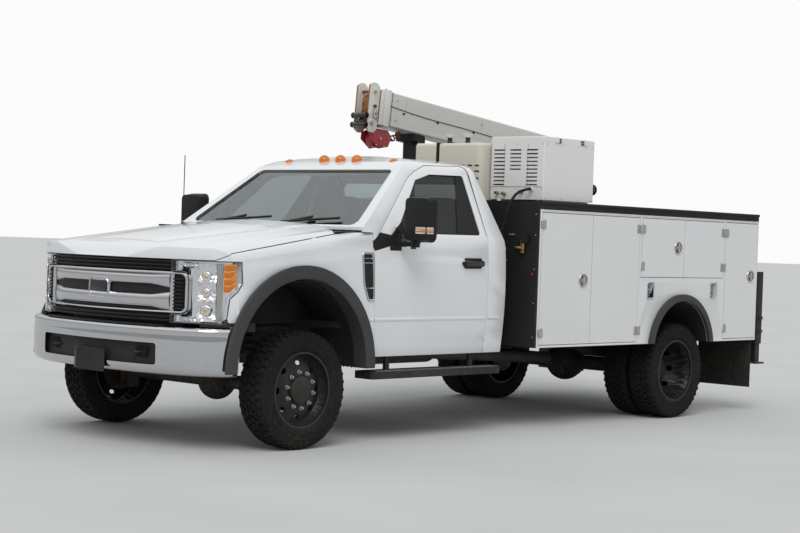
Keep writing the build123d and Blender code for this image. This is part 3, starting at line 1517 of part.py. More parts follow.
for name, x_front, x_rear, low, high, hinge_front, handle_x, handle_z in DOORS:
    hinge_x = x_front + DOOR_GAP / 2 if hinge_front else x_rear - DOOR_GAP / 2
    away = 1 if hinge_front else -1
    with BuildPart() as leaf:
        with BuildSketch(at_y(BODY_HALF - DOOR_T)):
            with Locations(((x_front + x_rear) / 2, (low + high) / 2)):
                RectangleRounded(x_front - x_rear, high - low, 4)
        extrude(amount=-DOOR_T)
        with BuildSketch(at_y(BODY_HALF - DOOR_T)):
            with Locations(((x_front + x_rear) / 2, (low + high) / 2)):
                Rectangle(x_front - x_rear - 120, high - low - 120)
        extrude(amount=8 - DOOR_T, mode=Mode.SUBTRACT)
        for z in (low + 90, high - 90):
            with BuildSketch(Plane.XY.offset(z - 28)):
                with Locations((hinge_x, HINGE_Y)):
                    Circle(HINGE_R)
                with Locations((hinge_x - away * 24, BODY_HALF + 2)):
                    Rectangle(44, 4)
                with Locations((hinge_x - away * 6, BODY_HALF + 4)):
                    Rectangle(8, 8)
            extrude(amount=56)
        if handle_x is not None:
            with BuildSketch(at_y(BODY_HALF)):
                with Locations((handle_x, handle_z)):
                    Circle(54)
            extrude(amount=-6)
            with BuildSketch(at_y(BODY_HALF + 6)):
                with Locations((handle_x, handle_z)):
                    Circle(42)
                    Rectangle(84, 18, mode=Mode.SUBTRACT)
            extrude(amount=8, mode=Mode.SUBTRACT)
    save(leaf.part, f"door_{name}_left")
    save(leaf.part.mirror(Plane.XZ), f"door_{name}_right")

# Bed floor on its sills and cross-bearers, the full-width front bulkhead and the shelf for the tank
BULKHEAD_REAR_X = BODY_FRONT_X + SEAT_GAP
SHELF_Z = TRAY_Z - 24
with BuildPart() as bed_floor:
    with BuildSketch(Plane.XY.offset(BED_Z)):
        with Locations(((BODY_REAR_X + BULKHEAD_REAR_X) / 2, 0)):
            Rectangle(BULKHEAD_REAR_X - BODY_REAR_X, 2 * CABINET_IN_Y - 2 * SEAT_GAP)
    extrude(amount=BED_T)
    for side in (1, -1):
        with BuildSketch(Plane.XY.offset(RAIL_TOP + SEAT_GAP)):
            with Locations(((BODY_REAR_X + BULKHEAD_REAR_X) / 2, side * (FRAME_W / 2 - RAIL_FLANGE / 2))):
                Rectangle(BULKHEAD_REAR_X - BODY_REAR_X, RAIL_FLANGE)
        extrude(amount=BED_Z - RAIL_TOP - SEAT_GAP)
    for x in (-80, -640, -1200, -1760, -2320, -2880):
        with BuildSketch(Plane.YZ.offset(x)):
            with Locations((0, BED_Z - 35)):
                Rectangle(2 * CABINET_IN_Y - 2 * SEAT_GAP, 70)
        extrude(amount=60)
    with BuildSketch(Plane.YZ.offset(BULKHEAD_REAR_X)):
        with Locations((0, (BODY_Z + TRAY_Z) / 2)):
            Rectangle(2 * BODY_HALF, TRAY_Z - BODY_Z)
        with Locations((0, (BODY_Z + RAIL_TOP) / 2)):
            Rectangle(FRAME_W + 30, RAIL_TOP - BODY_Z + 2 * SEAT_GAP, mode=Mode.SUBTRACT)
    extrude(amount=BULKHEAD_T)
    with BuildSketch(Plane.XY.offset(SHELF_Z)):
        with Locations(((BULKHEAD_REAR_X - 250) / 2, 0)):
            Rectangle(BULKHEAD_REAR_X + 250, 2 * CABINET_IN_Y - 2 * SEAT_GAP)
    extrude(amount=24)
    with BuildSketch(Plane.YZ.offset(BULKHEAD_REAR_X + BULKHEAD_T)):
        with Locations((1100, 1470)):
            RectangleRounded(56, 74, 8)
    extrude(amount=34)
save(bed_floor.part, "bed_floor")

# Top trays: a dark rimmed tray over each cabinet with a drip rail along its outer edge
RIM_T = 24
with BuildPart() as top_trays:
    for side in (1, -1):
        middle = side * (BODY_HALF - CABINET_DEPTH / 2)
        with BuildSketch(Plane.XY.offset(BODY_TOP_Z + SEAT_GAP)):
            with Locations(((BODY_FRONT_X + BODY_REAR_X) / 2, middle)):
                Rectangle(BODY_LENGTH, CABINET_DEPTH)
        extrude(amount=TRAY_H - SEAT_GAP)
        with BuildSketch(Plane.XY.offset(TRAY_TOP_Z)):
            with Locations(((BODY_FRONT_X + BODY_REAR_X) / 2, middle)):
                Rectangle(BODY_LENGTH - 2 * RIM_T, CABINET_DEPTH - 2 * RIM_T)
        extrude(amount=TRAY_H, mode=Mode.SUBTRACT)
        with BuildSketch(at_y(side * BODY_HALF)):
            with Locations(((BODY_FRONT_X + BODY_REAR_X) / 2, BODY_TOP_Z + TRAY_H - 10)):
                Rectangle(BODY_LENGTH, 20)
            with Locations(((BODY_FRONT_X + BODY_REAR_X) / 2, BODY_TOP_Z + 8)):
                Rectangle(BODY_LENGTH - 90, 8)
        extrude(amount=-side * 8)
save(top_trays.part, "top_trays")

# Tailgate between the cabinets, hinged low
GATE_T = 34
GATE_HALF = CABINET_IN_Y - DOOR_GAP
GATE_LOW_Z = BED_Z + BED_T + 9
with BuildPart() as tailgate:
    with BuildSketch(Plane.YZ.offset(BODY_REAR_X)):
        with Locations((0, GATE_LOW_Z + 250)):
            Rectangle(2 * GATE_HALF, 500)
    extrude(amount=GATE_T)
    with BuildSketch(Plane.YZ.offset(BODY_REAR_X)):
        with Locations((0, GATE_LOW_Z + 250)):
            RectangleRounded(2 * GATE_HALF - 120, 380, 20)
    extrude(amount=12, mode=Mode.SUBTRACT)
    with BuildSketch(Plane.YZ.offset(BODY_REAR_X - 10)):
        with Locations((0, GATE_LOW_Z + 465)):
            RectangleRounded(180, 42, 12)
    extrude(amount=12)
    with BuildSketch(at_y(-(CABINET_IN_Y - PIN_GAP))):
        with Locations((BODY_REAR_X + 10, GATE_LOW_Z + 10)):
            Circle(8)
    extrude(amount=-2 * (CABINET_IN_Y - PIN_GAP))
save(tailgate.part, "tailgate")

# Rear bumper: a box step with a hitch receiver, and the fixed jack tubes of the stabilisers at its ends
STEP_Z = 742
RECEIVER = 76
RECEIVER_BORE = 51
RECEIVER_Z = STEP_Z - 150 - RECEIVER / 2 + 2
RECEIVER_MOUTH_X = BUMPER_REAR_X + 60
HITCH_PIN_X = RECEIVER_MOUTH_X + 60
HITCH_PIN_R = 8
with BuildPart() as rear_bumper:
    with BuildSketch(at_y(-(JACK_Y - JACK_TUBE / 2))):
        with BuildLine():
            Polyline(
                (BODY_REAR_X - 2, STEP_Z),
                (BUMPER_REAR_X, STEP_Z),
                (BUMPER_REAR_X, STEP_Z - 120),
                (BUMPER_REAR_X + 60, STEP_Z - 150),
                (BODY_REAR_X - 2, STEP_Z - 150),
                close=True,
            )
        make_face()
    extrude(amount=-2 * (JACK_Y - JACK_TUBE / 2))
    with BuildSketch(Plane.XY.offset(STEP_Z - 151)):
        with Locations(((BODY_REAR_X + BUMPER_REAR_X) / 2 - 1, 0)):
            Rectangle(BODY_REAR_X - BUMPER_REAR_X - 26, 2 * JACK_Y - 130)
    extrude(amount=109, mode=Mode.SUBTRACT)
    with BuildSketch(Plane.XY.offset(STEP_Z - 30)):
        with Locations(((BODY_REAR_X + BUMPER_REAR_X) / 2, 0)):
            Rectangle(140, 700)
    extrude(amount=40, mode=Mode.SUBTRACT)
    for side in (1, -1):
        with BuildSketch(Plane.XY.offset(600)):
            with Locations((JACK_X, side * JACK_Y)):
                RectangleRounded(JACK_TUBE, JACK_TUBE, 8)
        extrude(amount=650)
        with BuildSketch(Plane.XY.offset(590)):
            with Locations((JACK_X, side * JACK_Y)):
                Rectangle(JACK_TUBE - 12, JACK_TUBE - 12)
        extrude(amount=650, mode=Mode.SUBTRACT)
        for z in (700, 820):
            with BuildSketch(Plane.XY.offset(z)):
                with Locations((JACK_X, side * (JACK_Y + JACK_TUBE / 2 + 8))):
                    Rectangle(50, 24)
            extrude(amount=26)
        with BuildSketch(Plane.XY.offset(RAIL_BOTTOM + 60)):
            with Locations((BODY_REAR_X - 1.2, side * (FRAME_W / 2 - 20))):
                Rectangle(1.8, 40)
        extrude(amount=60)
    with BuildSketch(Plane.YZ.offset(RECEIVER_MOUTH_X)):
        with Locations((0, RECEIVER_Z)):
            RectangleRounded(RECEIVER, RECEIVER, 6)
    extrude(amount=198)
    with BuildSketch(Plane.YZ.offset(BUMPER_REAR_X)):
        with Locations((0, RECEIVER_Z)):
            Rectangle(RECEIVER_BORE, RECEIVER_BORE)
    extrude(amount=240, mode=Mode.SUBTRACT)
    with BuildSketch(at_y(-RECEIVER)):
        with Locations((HITCH_PIN_X, RECEIVER_Z)):
            Circle(HITCH_PIN_R)
    extrude(amount=-2 * RECEIVER, mode=Mode.SUBTRACT)
save(rear_bumper.part, "rear_bumper")

LEG_W = JACK_TUBE - 12 - 2 * RUN_GAP
# What a slide pad adds to the width of the piece that slides
PAD_GROW = 2 * (RUN_GAP - PIN_GAP)
for name, side in (("left", 1), ("right", -1)):
    with BuildPart() as leg:
        with BuildSketch(Plane.XY.offset(FOOT_Z + 12)):
            with Locations((JACK_X, side * JACK_Y)):
                Rectangle(LEG_W, LEG_W)
        extrude(amount=720)
        with BuildSketch(Plane.XY.offset(FOOT_Z + 692)):
            with Locations((JACK_X, side * JACK_Y)):
                Rectangle(LEG_W + PAD_GROW, LEG_W + PAD_GROW)
        extrude(amount=40)
        with BuildSketch(Plane.XY.offset(FOOT_Z)):
            with Locations((JACK_X + 8, side * JACK_Y)):
                RectangleRounded(150, 150, 14)
        extrude(amount=14)
    save(leg.part, f"stabiliser_leg_{name}")

# Compressor cabinet on two skids in the left tray, with louvred openings in its front face
COMPRESSOR_REAR_X = COMPRESSOR_X - COMPRESSOR_L
COMPRESSOR_IN_Y = COMPRESSOR_OUT_Y - COMPRESSOR_W
COMPRESSOR_TOP_Z = COMPRESSOR_Z + COMPRESSOR_H - LID_H
# Louvre columns: middle across, width, first height, number
LOUVRES = [(COMPRESSOR_IN_Y + 86, 112, 1890, 10), (COMPRESSOR_IN_Y + 248, 112, 2010, 6),
           (COMPRESSOR_IN_Y + 412, 112, 1890, 10)]
LOUVRE_PITCH = 30
with BuildPart() as compressor_cabinet:
    with BuildSketch(Plane.XY.offset(COMPRESSOR_Z)):
        with Locations(((COMPRESSOR_X + COMPRESSOR_REAR_X) / 2, (COMPRESSOR_OUT_Y + COMPRESSOR_IN_Y) / 2)):
            RectangleRounded(COMPRESSOR_L, COMPRESSOR_W, 10)
    extrude(amount=COMPRESSOR_TOP_Z - COMPRESSOR_Z)
    with BuildSketch(Plane.XY.offset(COMPRESSOR_Z + 14)):
        with Locations(((COMPRESSOR_X + COMPRESSOR_REAR_X) / 2, (COMPRESSOR_OUT_Y + COMPRESSOR_IN_Y) / 2)):
            Rectangle(COMPRESSOR_L - 28, COMPRESSOR_W - 28)
    extrude(amount=COMPRESSOR_H, mode=Mode.SUBTRACT)
    with BuildSketch(Plane.YZ.offset(COMPRESSOR_X - 20)):
        for y, width, first, count in LOUVRES:
            for louvre in range(count):
                with Locations((y, first + louvre * LOUVRE_PITCH)):
                    Rectangle(width, 12)
    extrude(amount=60, mode=Mode.SUBTRACT)
    with BuildSketch(Plane.XY.offset(COMPRESSOR_Z + 14)):
        with Locations(((COMPRESSOR_X + COMPRESSOR_REAR_X) / 2, (COMPRESSOR_OUT_Y + COMPRESSOR_IN_Y) / 2)):
            Rectangle(COMPRESSOR_L - 180, COMPRESSOR_W - 160)
    extrude(amount=330)
    for y in (COMPRESSOR_IN_Y + 120, COMPRESSOR_OUT_Y - 60):
        with BuildSketch(Plane.XY.offset(TRAY_TOP_Z + SEAT_GAP)):
            with Locations(((COMPRESSOR_X + COMPRESSOR_REAR_X) / 2, y)):
                Rectangle(COMPRESSOR_L - 60, 60)
        extrude(amount=COMPRESSOR_Z - TRAY_TOP_Z - SEAT_GAP)
    with BuildSketch(Plane.XY.offset(COMPRESSOR_Z + 60)):
        with Locations((COMPRESSOR_REAR_X - 50, COMPRESSOR_OUT_Y - 160)):
            Circle(46)
    extrude(amount=330)
    with BuildSketch(Plane.YZ.offset(COMPRESSOR_REAR_X - 50)):
        with Locations((COMPRESSOR_OUT_Y - 160, COMPRESSOR_Z + 220)):
            Rectangle(30, 40)
    extrude(amount=56)
    with BuildSketch(Plane.YZ.offset(COMPRESSOR_X)):
        with Locations((COMPRESSOR_OUT_Y - 110, COMPRESSOR_Z + 82)):
            Circle(17)
    extrude(amount=22)
save(compressor_cabinet.part, "compressor_cabinet")

with BuildPart() as compressor_lid:
    with BuildSketch(Plane.XY.offset(COMPRESSOR_TOP_Z + SEAT_GAP)):
        with Locations(((COMPRESSOR_X + COMPRESSOR_REAR_X) / 2, (COMPRESSOR_OUT_Y + COMPRESSOR_IN_Y) / 2)):
            RectangleRounded(COMPRESSOR_L, COMPRESSOR_W, 10)
    extrude(amount=LID_H - SEAT_GAP)
    chamfer(compressor_lid.faces().sort_by(Axis.Z)[-1].edges(), 6)
    with BuildSketch(Plane.XY.offset(COMPRESSOR_TOP_Z - 10)):
        with Locations(((COMPRESSOR_X + COMPRESSOR_REAR_X) / 2, (COMPRESSOR_OUT_Y + COMPRESSOR_IN_Y) / 2)):
            Rectangle(COMPRESSOR_L - 28, COMPRESSOR_W - 28)
    extrude(amount=LID_H - 4, mode=Mode.SUBTRACT)
    for x in (COMPRESSOR_X - 150, COMPRESSOR_REAR_X + 130):
        with BuildSketch(at_y(COMPRESSOR_OUT_Y)):
            with Locations((x, COMPRESSOR_TOP_Z + 24)):
                Rectangle(42, 40)
        extrude(amount=-12)
save(compressor_lid.part, "compressor_lid")

# Reservoir tank on the shelf, with two fillers and a strap
TANK_X = -86
TANK_Y = 232
TANK_W = 720
TANK_L = 250
TANK_TOP_Z = 2215
with BuildPart() as reservoir_tank:
    with BuildSketch(Plane.XY.offset(TRAY_Z + SEAT_GAP)):
        with Locations((TANK_X, TANK_Y)):
            RectangleRounded(TANK_L, TANK_W, 50)
    extrude(amount=TANK_TOP_Z - TRAY_Z - SEAT_GAP)
    fillet(reservoir_tank.faces().sort_by(Axis.Z)[-1].edges(), 26)
    for y in (TANK_Y - 80, TANK_Y + 110):
        with BuildSketch(Plane.XY.offset(TANK_TOP_Z - 2)):
            with Locations((TANK_X, y)):
                Circle(17)
        extrude(amount=52)
        with BuildSketch(Plane.XY.offset(TANK_TOP_Z + 50)):
            with Locations((TANK_X, y)):
                Circle(34)
        extrude(amount=30)
save(reservoir_tank.part, "reservoir_tank")

# Air hose from the compressor's outlet, over the bulkhead and back into its front face
HOSE_R = 11
HOSE_OUT = Vector(COMPRESSOR_X + 22 + 2.8, COMPRESSOR_OUT_Y - 110, COMPRESSOR_Z + 82)
HOSE_IN = Vector(BULKHEAD_REAR_X + BULKHEAD_T + 9, 893, 1385)
hose_route = [
    HOSE_OUT,
    Vector(84, 1002, 1838),
    Vector(136, 968, 1725),
    Vector(136, 935, 1620),
    Vector(150, 905, 1472),
    HOSE_IN,
]
hose_radii = []
for before, corner, after in zip(hose_route, hose_route[1:], hose_route[2:]):
    turn = radians((corner - before).get_angle(after - corner))
    shorter = min((corner - before).length, (after - corner).length)
    hose_radii.append(0.45 * shorter / tan(turn / 2))
print("Air hose bend radii:", [round(radius) for radius in hose_radii])
with BuildPart() as air_hose:
    with BuildLine() as hose_line:
        FilletPolyline(*hose_route, radius=hose_radii)
    with BuildSketch(Plane(origin=hose_line.line @ 0, z_dir=hose_line.line % 0)):
        Circle(HOSE_R)
    sweep()
save(air_hose.part, "air_hose")

# Crane: base plate and slewing ring on the right tray, and the post that carries the stowed boom
PIVOT_X = CRANE_X - PIVOT_BACK
TILT = radians(BOOM_TILT)
RING_TOP_Z = TRAY_TOP_Z + 92
REST_X = -807
REST_TOP_Z = PIVOT_Z + ((REST_X - PIVOT_X) * sin(TILT) - BOOM_H / 2 - RUN_GAP) / cos(TILT)
with BuildPart() as crane_supports:
    with BuildSketch(Plane.XY.offset(TRAY_TOP_Z + SEAT_GAP)):
        with Locations((CRANE_X, CRANE_Y)):
            RectangleRounded(400, 400, 30)
    extrude(amount=22)
    with BuildSketch(Plane.XY.offset(TRAY_TOP_Z + SEAT_GAP)):
        with Locations((CRANE_X, CRANE_Y)):
            Circle(165)
    extrude(amount=RING_TOP_Z - TRAY_TOP_Z - SEAT_GAP)
    with BuildSketch(Plane.XY.offset(TRAY_TOP_Z + SEAT_GAP)):
        with Locations((REST_X, CRANE_Y)):
            Rectangle(180, 180)
    extrude(amount=12)
    with BuildSketch(at_y(CRANE_Y - 45)):
        with BuildLine():
            Polyline(
                (REST_X - 45, TRAY_TOP_Z + SEAT_GAP),
                (REST_X + 45, TRAY_TOP_Z + SEAT_GAP),
                (REST_X + 45, REST_TOP_Z - 60 + 45 * sin(TILT)),
                (REST_X - 45, REST_TOP_Z - 60 - 45 * sin(TILT)),
                close=True,
            )
        make_face()
    extrude(amount=-90)
    with BuildSketch(at_y(CRANE_Y - 110)):
        with BuildLine():
            Polyline(
                (REST_X - 70, REST_TOP_Z - 62 - 70 * sin(TILT)),
                (REST_X + 70, REST_TOP_Z - 62 + 70 * sin(TILT)),
                (REST_X + 70, REST_TOP_Z + 70 * sin(TILT) / cos(TILT)),
                (REST_X - 70, REST_TOP_Z - 70 * sin(TILT) / cos(TILT)),
                close=True,
            )
        make_face()
    extrude(amount=-220)
save(crane_supports.part, "crane_supports")

# Turret: a column on the ring with two cheeks that carry the boom pivot, and ears for the lift cylinder
CHEEK_IN = BOOM_W / 2 + RUN_GAP
CHEEK_T = 16
PIN_R = 26
BASE_EYE_X = CRANE_X + 195
BASE_EYE_Z = 1935
EYE_R = 30
EYE_W = 52
EYE_PIN_R = 16
with BuildPart() as crane_turret:
    with BuildSketch(Plane.XY.offset(RING_TOP_Z + 0.5)):
        with Locations((CRANE_X, CRANE_Y)):
            Circle(150)
    extrude(amount=226)
    for side in (1, -1):
        with BuildSketch(at_y(CRANE_Y + side * CHEEK_IN)):
            with BuildLine():
                Polyline(
                    (CRANE_X + 110, RING_TOP_Z + 90),
                    (CRANE_X + 60, 2180),
                    (PIVOT_X + 70, PIVOT_Z + 66),
                    (PIVOT_X - 70, PIVOT_Z + 66),
                    (PIVOT_X - 90, 2120),
                    (CRANE_X - 130, RING_TOP_Z + 90),
                    close=True,
                )
            make_face()
        extrude(amount=-side * CHEEK_T)
    with BuildSketch(at_y(CRANE_Y - CHEEK_IN - CHEEK_T - 14)):
        with Locations((PIVOT_X, PIVOT_Z)):
            Circle(PIN_R)
    extrude(amount=-2 * (CHEEK_IN + CHEEK_T + 14))
    with BuildSketch(at_y(CRANE_Y)):
        with Locations((CRANE_X - 20, RING_TOP_Z + 130)):
            Rectangle(230, 190)
    extrude(amount=CHEEK_IN + 2, both=True)
    for side in (1, -1):
        with BuildSketch(at_y(CRANE_Y + side * (EYE_W / 2 + RUN_GAP))):
            with BuildLine():
                Polyline(
                    (CRANE_X + 60, BASE_EYE_Z - 60),
                    (BASE_EYE_X + 26, BASE_EYE_Z - 34),
                    (BASE_EYE_X + 26, BASE_EYE_Z + 30),
                    (CRANE_X + 60, BASE_EYE_Z + 60),
                    close=True,
                )
            make_face()
        extrude(amount=-side * 14)
    with BuildSketch(at_y(CRANE_Y)):
        with Locations((BASE_EYE_X, BASE_EYE_Z)):
            Circle(EYE_PIN_R)
    extrude(amount=EYE_W / 2 + RUN_GAP + 14, both=True)
save(crane_turret.part, "crane_turret")

# Boom sections, drawn along the tilted boom line: local x runs out along the boom, local y is up
BOOM_PLANE = Plane(
    origin=(PIVOT_X, CRANE_Y, PIVOT_Z),
    x_dir=(cos(TILT), 0, sin(TILT)),
    z_dir=(0, -1, 0),
)
BOOM_ACROSS = Plane(
    origin=(PIVOT_X, CRANE_Y, PIVOT_Z),
    x_dir=(0, 1, 0),
    z_dir=(cos(TILT), 0, sin(TILT)),
)
LUG_REACH = 945
LUG_DROP = 230
with BuildPart() as main_boom:
    with BuildSketch(BOOM_ACROSS.offset(-BOOM_TAIL)):
        RectangleRounded(BOOM_W, BOOM_H, 16)
    extrude(amount=BOOM_LENGTH + BOOM_TAIL)
    with BuildSketch(BOOM_ACROSS.offset(120)):
        Rectangle(BOOM_W - 2 * BOOM_WALL, BOOM_H - 2 * BOOM_WALL)
    extrude(amount=BOOM_LENGTH, mode=Mode.SUBTRACT)
    with BuildSketch(BOOM_PLANE):
        with Locations((BOOM_LENGTH - 30, 0)):
            Rectangle(60, BOOM_H + 16)
            Rectangle(60, BOOM_H - 10, mode=Mode.SUBTRACT)
    extrude(amount=BOOM_W / 2 + 8, both=True)
    with BuildSketch(BOOM_ACROSS.offset(BOOM_LENGTH - 60)):
        Rectangle(BOOM_W + 16, BOOM_H + 16)
        Rectangle(BOOM_W - 2 * BOOM_WALL, BOOM_H - 2 * BOOM_WALL, mode=Mode.SUBTRACT)
    extrude(amount=60)
    with BuildSketch(BOOM_ACROSS.offset(BOOM_LENGTH - 61)):
        Rectangle(BOOM_W - 2 * BOOM_WALL, BOOM_H - 2 * BOOM_WALL)
    extrude(amount=62, mode=Mode.SUBTRACT)
    with BuildSketch(BOOM_PLANE):
        Circle(PIN_R + PIN_GAP)
    extrude(amount=BOOM_W, both=True, mode=Mode.SUBTRACT)
    for side in (1, -1):
        with BuildSketch(BOOM_PLANE.offset(side * (EYE_W / 2 + RUN_GAP))):
            with BuildLine():
                Polyline(
                    (LUG_REACH - 70, -BOOM_H / 2 + 4),
                    (LUG_REACH - 26, -LUG_DROP - 24),
                    (LUG_REACH + 26, -LUG_DROP - 24),
                    (LUG_REACH + 70, -BOOM_H / 2 + 4),
                    close=True,
                )
            make_face()
        extrude(amount=side * 14)
        with BuildSketch(BOOM_PLANE.offset(side * (EYE_W / 2 + RUN_GAP + 14))):
            with Locations((LUG_REACH, -LUG_DROP)):
                Circle(EYE_PIN_R + 6)
        extrude(amount=side * 10)
save(main_boom.part, "main_boom")

INNER_W = BOOM_W - 2 * BOOM_WALL - 2 * RUN_GAP
INNER_H = BOOM_H - 2 * BOOM_WALL - 2 * RUN_GAP
INNER_WALL = 8
with BuildPart() as middle_boom:
    with BuildSketch(BOOM_ACROSS.offset(BOOM_LENGTH - 1700)):
        Rectangle(INNER_W, INNER_H)
        Rectangle(INNER_W - 2 * INNER_WALL, INNER_H - 2 * INNER_WALL, mode=Mode.SUBTRACT)
    extrude(amount=1700 + SECTION_STEP)
    with BuildSketch(BOOM_ACROSS.offset(BOOM_LENGTH + RUN_GAP)):
        Rectangle(INNER_W + 30, INNER_H + 34)
        Rectangle(INNER_W - 2 * INNER_WALL, INNER_H - 2 * INNER_WALL, mode=Mode.SUBTRACT)
    extrude(amount=SECTION_STEP - RUN_GAP)
    with BuildSketch(BOOM_ACROSS.offset(BOOM_LENGTH - 1700)):
        Rectangle(INNER_W + PAD_GROW, INNER_H + PAD_GROW)
        Rectangle(INNER_W - 2 * INNER_WALL, INNER_H - 2 * INNER_WALL, mode=Mode.SUBTRACT)
    extrude(amount=60)
save(middle_boom.part, "middle_boom")

# Boom head on the inner section: two side plates with a sheave between them, and the hook block under it
TIP_W = INNER_W - 2 * INNER_WALL - 2 * RUN_GAP
TIP_H = INNER_H - 2 * INNER_WALL - 2 * RUN_GAP
TIP_START = BOOM_LENGTH + SECTION_STEP + RUN_GAP
HEAD_LENGTH = 128
SHEAVE_X = TIP_START + 74
with BuildPart() as boom_head:
    with BuildSketch(BOOM_ACROSS.offset(TIP_START - 1700)):
        Rectangle(TIP_W, TIP_H)
        Rectangle(TIP_W - 2 * INNER_WALL, TIP_H - 2 * INNER_WALL, mode=Mode.SUBTRACT)
    extrude(amount=1700)
    with BuildSketch(BOOM_ACROSS.offset(TIP_START - 1700)):
        Rectangle(TIP_W + PAD_GROW, TIP_H + PAD_GROW)
        Rectangle(TIP_W - 2 * INNER_WALL, TIP_H - 2 * INNER_WALL, mode=Mode.SUBTRACT)
    extrude(amount=60)
    for side in (1, -1):
        with BuildSketch(BOOM_PLANE.offset(side * 62)):
            with BuildLine():
                Line((TIP_START, -190), (TIP_START, 150))
                ThreePointArc((TIP_START, 150), (TIP_START + 62, 196), (TIP_START + HEAD_LENGTH, 158))
                Line((TIP_START + HEAD_LENGTH, 158), (TIP_START + HEAD_LENGTH - 8, -190))
                ThreePointArc(
                    (TIP_START + HEAD_LENGTH - 8, -190),
                    (TIP_START + 62, -232),
                    (TIP_START, -190),
                )
            make_face()
        extrude(amount=side * 18)
    with BuildSketch(BOOM_PLANE):
        with Locations((SHEAVE_X, -150)):
            Circle(52)
    extrude(amount=22, both=True)
    for x, y in ((SHEAVE_X, -150), (SHEAVE_X - 10, 120), (TIP_START + 30, -60)):
        with BuildSketch(BOOM_PLANE):
            with Locations((x, y)):
                Circle(13)
        extrude(amount=86, both=True)
    with BuildSketch(BOOM_PLANE):
        with BuildLine():
            Polyline(
                (TIP_START - 2, -TIP_H / 2),
                (TIP_START + 60, -70),
                (TIP_START + 60, 70),
                (TIP_START - 2, TIP_H / 2),
                close=True,
            )
        make_face()
    extrude(amount=63, both=True)
    # Guide rollers standing forward of the head
    for y in (-176, -96):
        with BuildSketch(BOOM_PLANE):
            with Locations((TIP_START + HEAD_LENGTH + 8, y)):
                Circle(22)
        extrude(amount=84, both=True)
    # Hook block drawn back under the boom: two hexagonal cheeks, a sheave, a shank and the hook
    with BuildSketch(BOOM_PLANE):
        with Locations((TIP_START - 66, -268)):
            RegularPolygon(82, 6)
    extrude(amount=34, both=True)
    with BuildSketch(BOOM_PLANE):
        with Locations((TIP_START - 66, -268)):
            Circle(58)
    extrude(amount=46, both=True)
    with BuildSketch(BOOM_PLANE):
        with BuildLine():
            Polyline(
                (TIP_START - 10, -180),
                (TIP_START + 50, -160),
                (TIP_START - 20, -250),
                (TIP_START - 50, -250),
                close=True,
            )
        make_face()
    extrude(amount=6, both=True)
    with BuildSketch(BOOM_PLANE):
        with Locations((TIP_START - 172, -262)):
            Circle(44)
            Circle(24, mode=Mode.SUBTRACT)
        with Locations((TIP_START - 128, -264)):
            Rectangle(40, 30)
    extrude(amount=13, both=True)
save(boom_head.part, "boom_head")

# Lift cylinder: the barrel turns on the turret's pin and the rod's eye lies between the boom's ears
eye_low = Vector(BASE_EYE_X, CRANE_Y, BASE_EYE_Z)
eye_high = Vector(
    PIVOT_X + LUG_REACH * cos(TILT) + LUG_DROP * sin(TILT),
    CRANE_Y,
    PIVOT_Z + LUG_REACH * sin(TILT) - LUG_DROP * cos(TILT),
)
CYLINDER_DIR = (eye_high - eye_low).normalized()
PINS_APART = (eye_high - eye_low).length
BARREL_OUT_R = 42
BARREL_L = PINS_APART - 95
ROD_R = 24
CYLINDER_AXIS = Plane(origin=eye_low, z_dir=CYLINDER_DIR)
with BuildPart() as lift_cylinder:
    with BuildSketch(CYLINDER_AXIS.offset(20)):
        Circle(EYE_W / 2)
    extrude(amount=40)
    with BuildSketch(CYLINDER_AXIS.offset(52)):
        Circle(BARREL_OUT_R)
    extrude(amount=BARREL_L - 52)
    with BuildSketch(CYLINDER_AXIS.offset(66)):
        Circle(ROD_R + PIN_GAP)
    extrude(amount=BARREL_L, mode=Mode.SUBTRACT)
    with BuildSketch(at_y(CRANE_Y)):
        with Locations((eye_low.X, eye_low.Z)):
            Circle(EYE_R)
    extrude(amount=EYE_W / 2, both=True)
    with BuildSketch(at_y(CRANE_Y)):
        with Locations((eye_low.X, eye_low.Z)):
            Circle(EYE_PIN_R + PIN_GAP)
    extrude(amount=EYE_W, both=True, mode=Mode.SUBTRACT)
save(lift_cylinder.part, "lift_cylinder")

with BuildPart() as lift_rod:
    with BuildSketch(CYLINDER_AXIS.offset(76)):
        Circle(ROD_R)
    extrude(amount=PINS_APART - 76 - 10)
    with BuildSketch(at_y(CRANE_Y)):
        with Locations((eye_high.X, eye_high.Z)):
            Circle(EYE_R - 4)
    extrude(amount=EYE_W / 2, both=True)
save(lift_rod.part, "lift_rod")
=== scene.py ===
# %% [markdown]
# # A mechanics truck
# This lesson dresses a working truck: a white cab, a steel service body with side cabinets, and a small crane.
# The solid model comes first and fixes every size, so each piece below is placed on it by its real position.
# Lengths are in metres, X runs to the front, Y to the driver's side and Z up, with the ground at zero.

# %% Load the solid model
import math
import random

import bpy
from mathutils import Matrix, Vector
from mathutils.bvhtree import BVHTree


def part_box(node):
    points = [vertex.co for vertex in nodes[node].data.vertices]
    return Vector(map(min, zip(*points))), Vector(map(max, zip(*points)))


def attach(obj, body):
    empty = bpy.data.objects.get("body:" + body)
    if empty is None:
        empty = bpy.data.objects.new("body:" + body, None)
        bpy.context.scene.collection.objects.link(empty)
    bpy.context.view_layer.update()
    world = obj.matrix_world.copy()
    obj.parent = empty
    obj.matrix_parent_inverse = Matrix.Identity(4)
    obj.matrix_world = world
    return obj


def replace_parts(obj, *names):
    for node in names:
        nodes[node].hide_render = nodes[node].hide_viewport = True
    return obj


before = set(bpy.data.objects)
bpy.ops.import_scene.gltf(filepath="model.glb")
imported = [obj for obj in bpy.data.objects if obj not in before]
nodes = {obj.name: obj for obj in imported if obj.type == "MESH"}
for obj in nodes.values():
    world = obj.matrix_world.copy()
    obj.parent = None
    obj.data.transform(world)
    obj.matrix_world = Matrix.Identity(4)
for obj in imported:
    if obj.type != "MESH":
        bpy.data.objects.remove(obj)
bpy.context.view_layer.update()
random.seed(7)
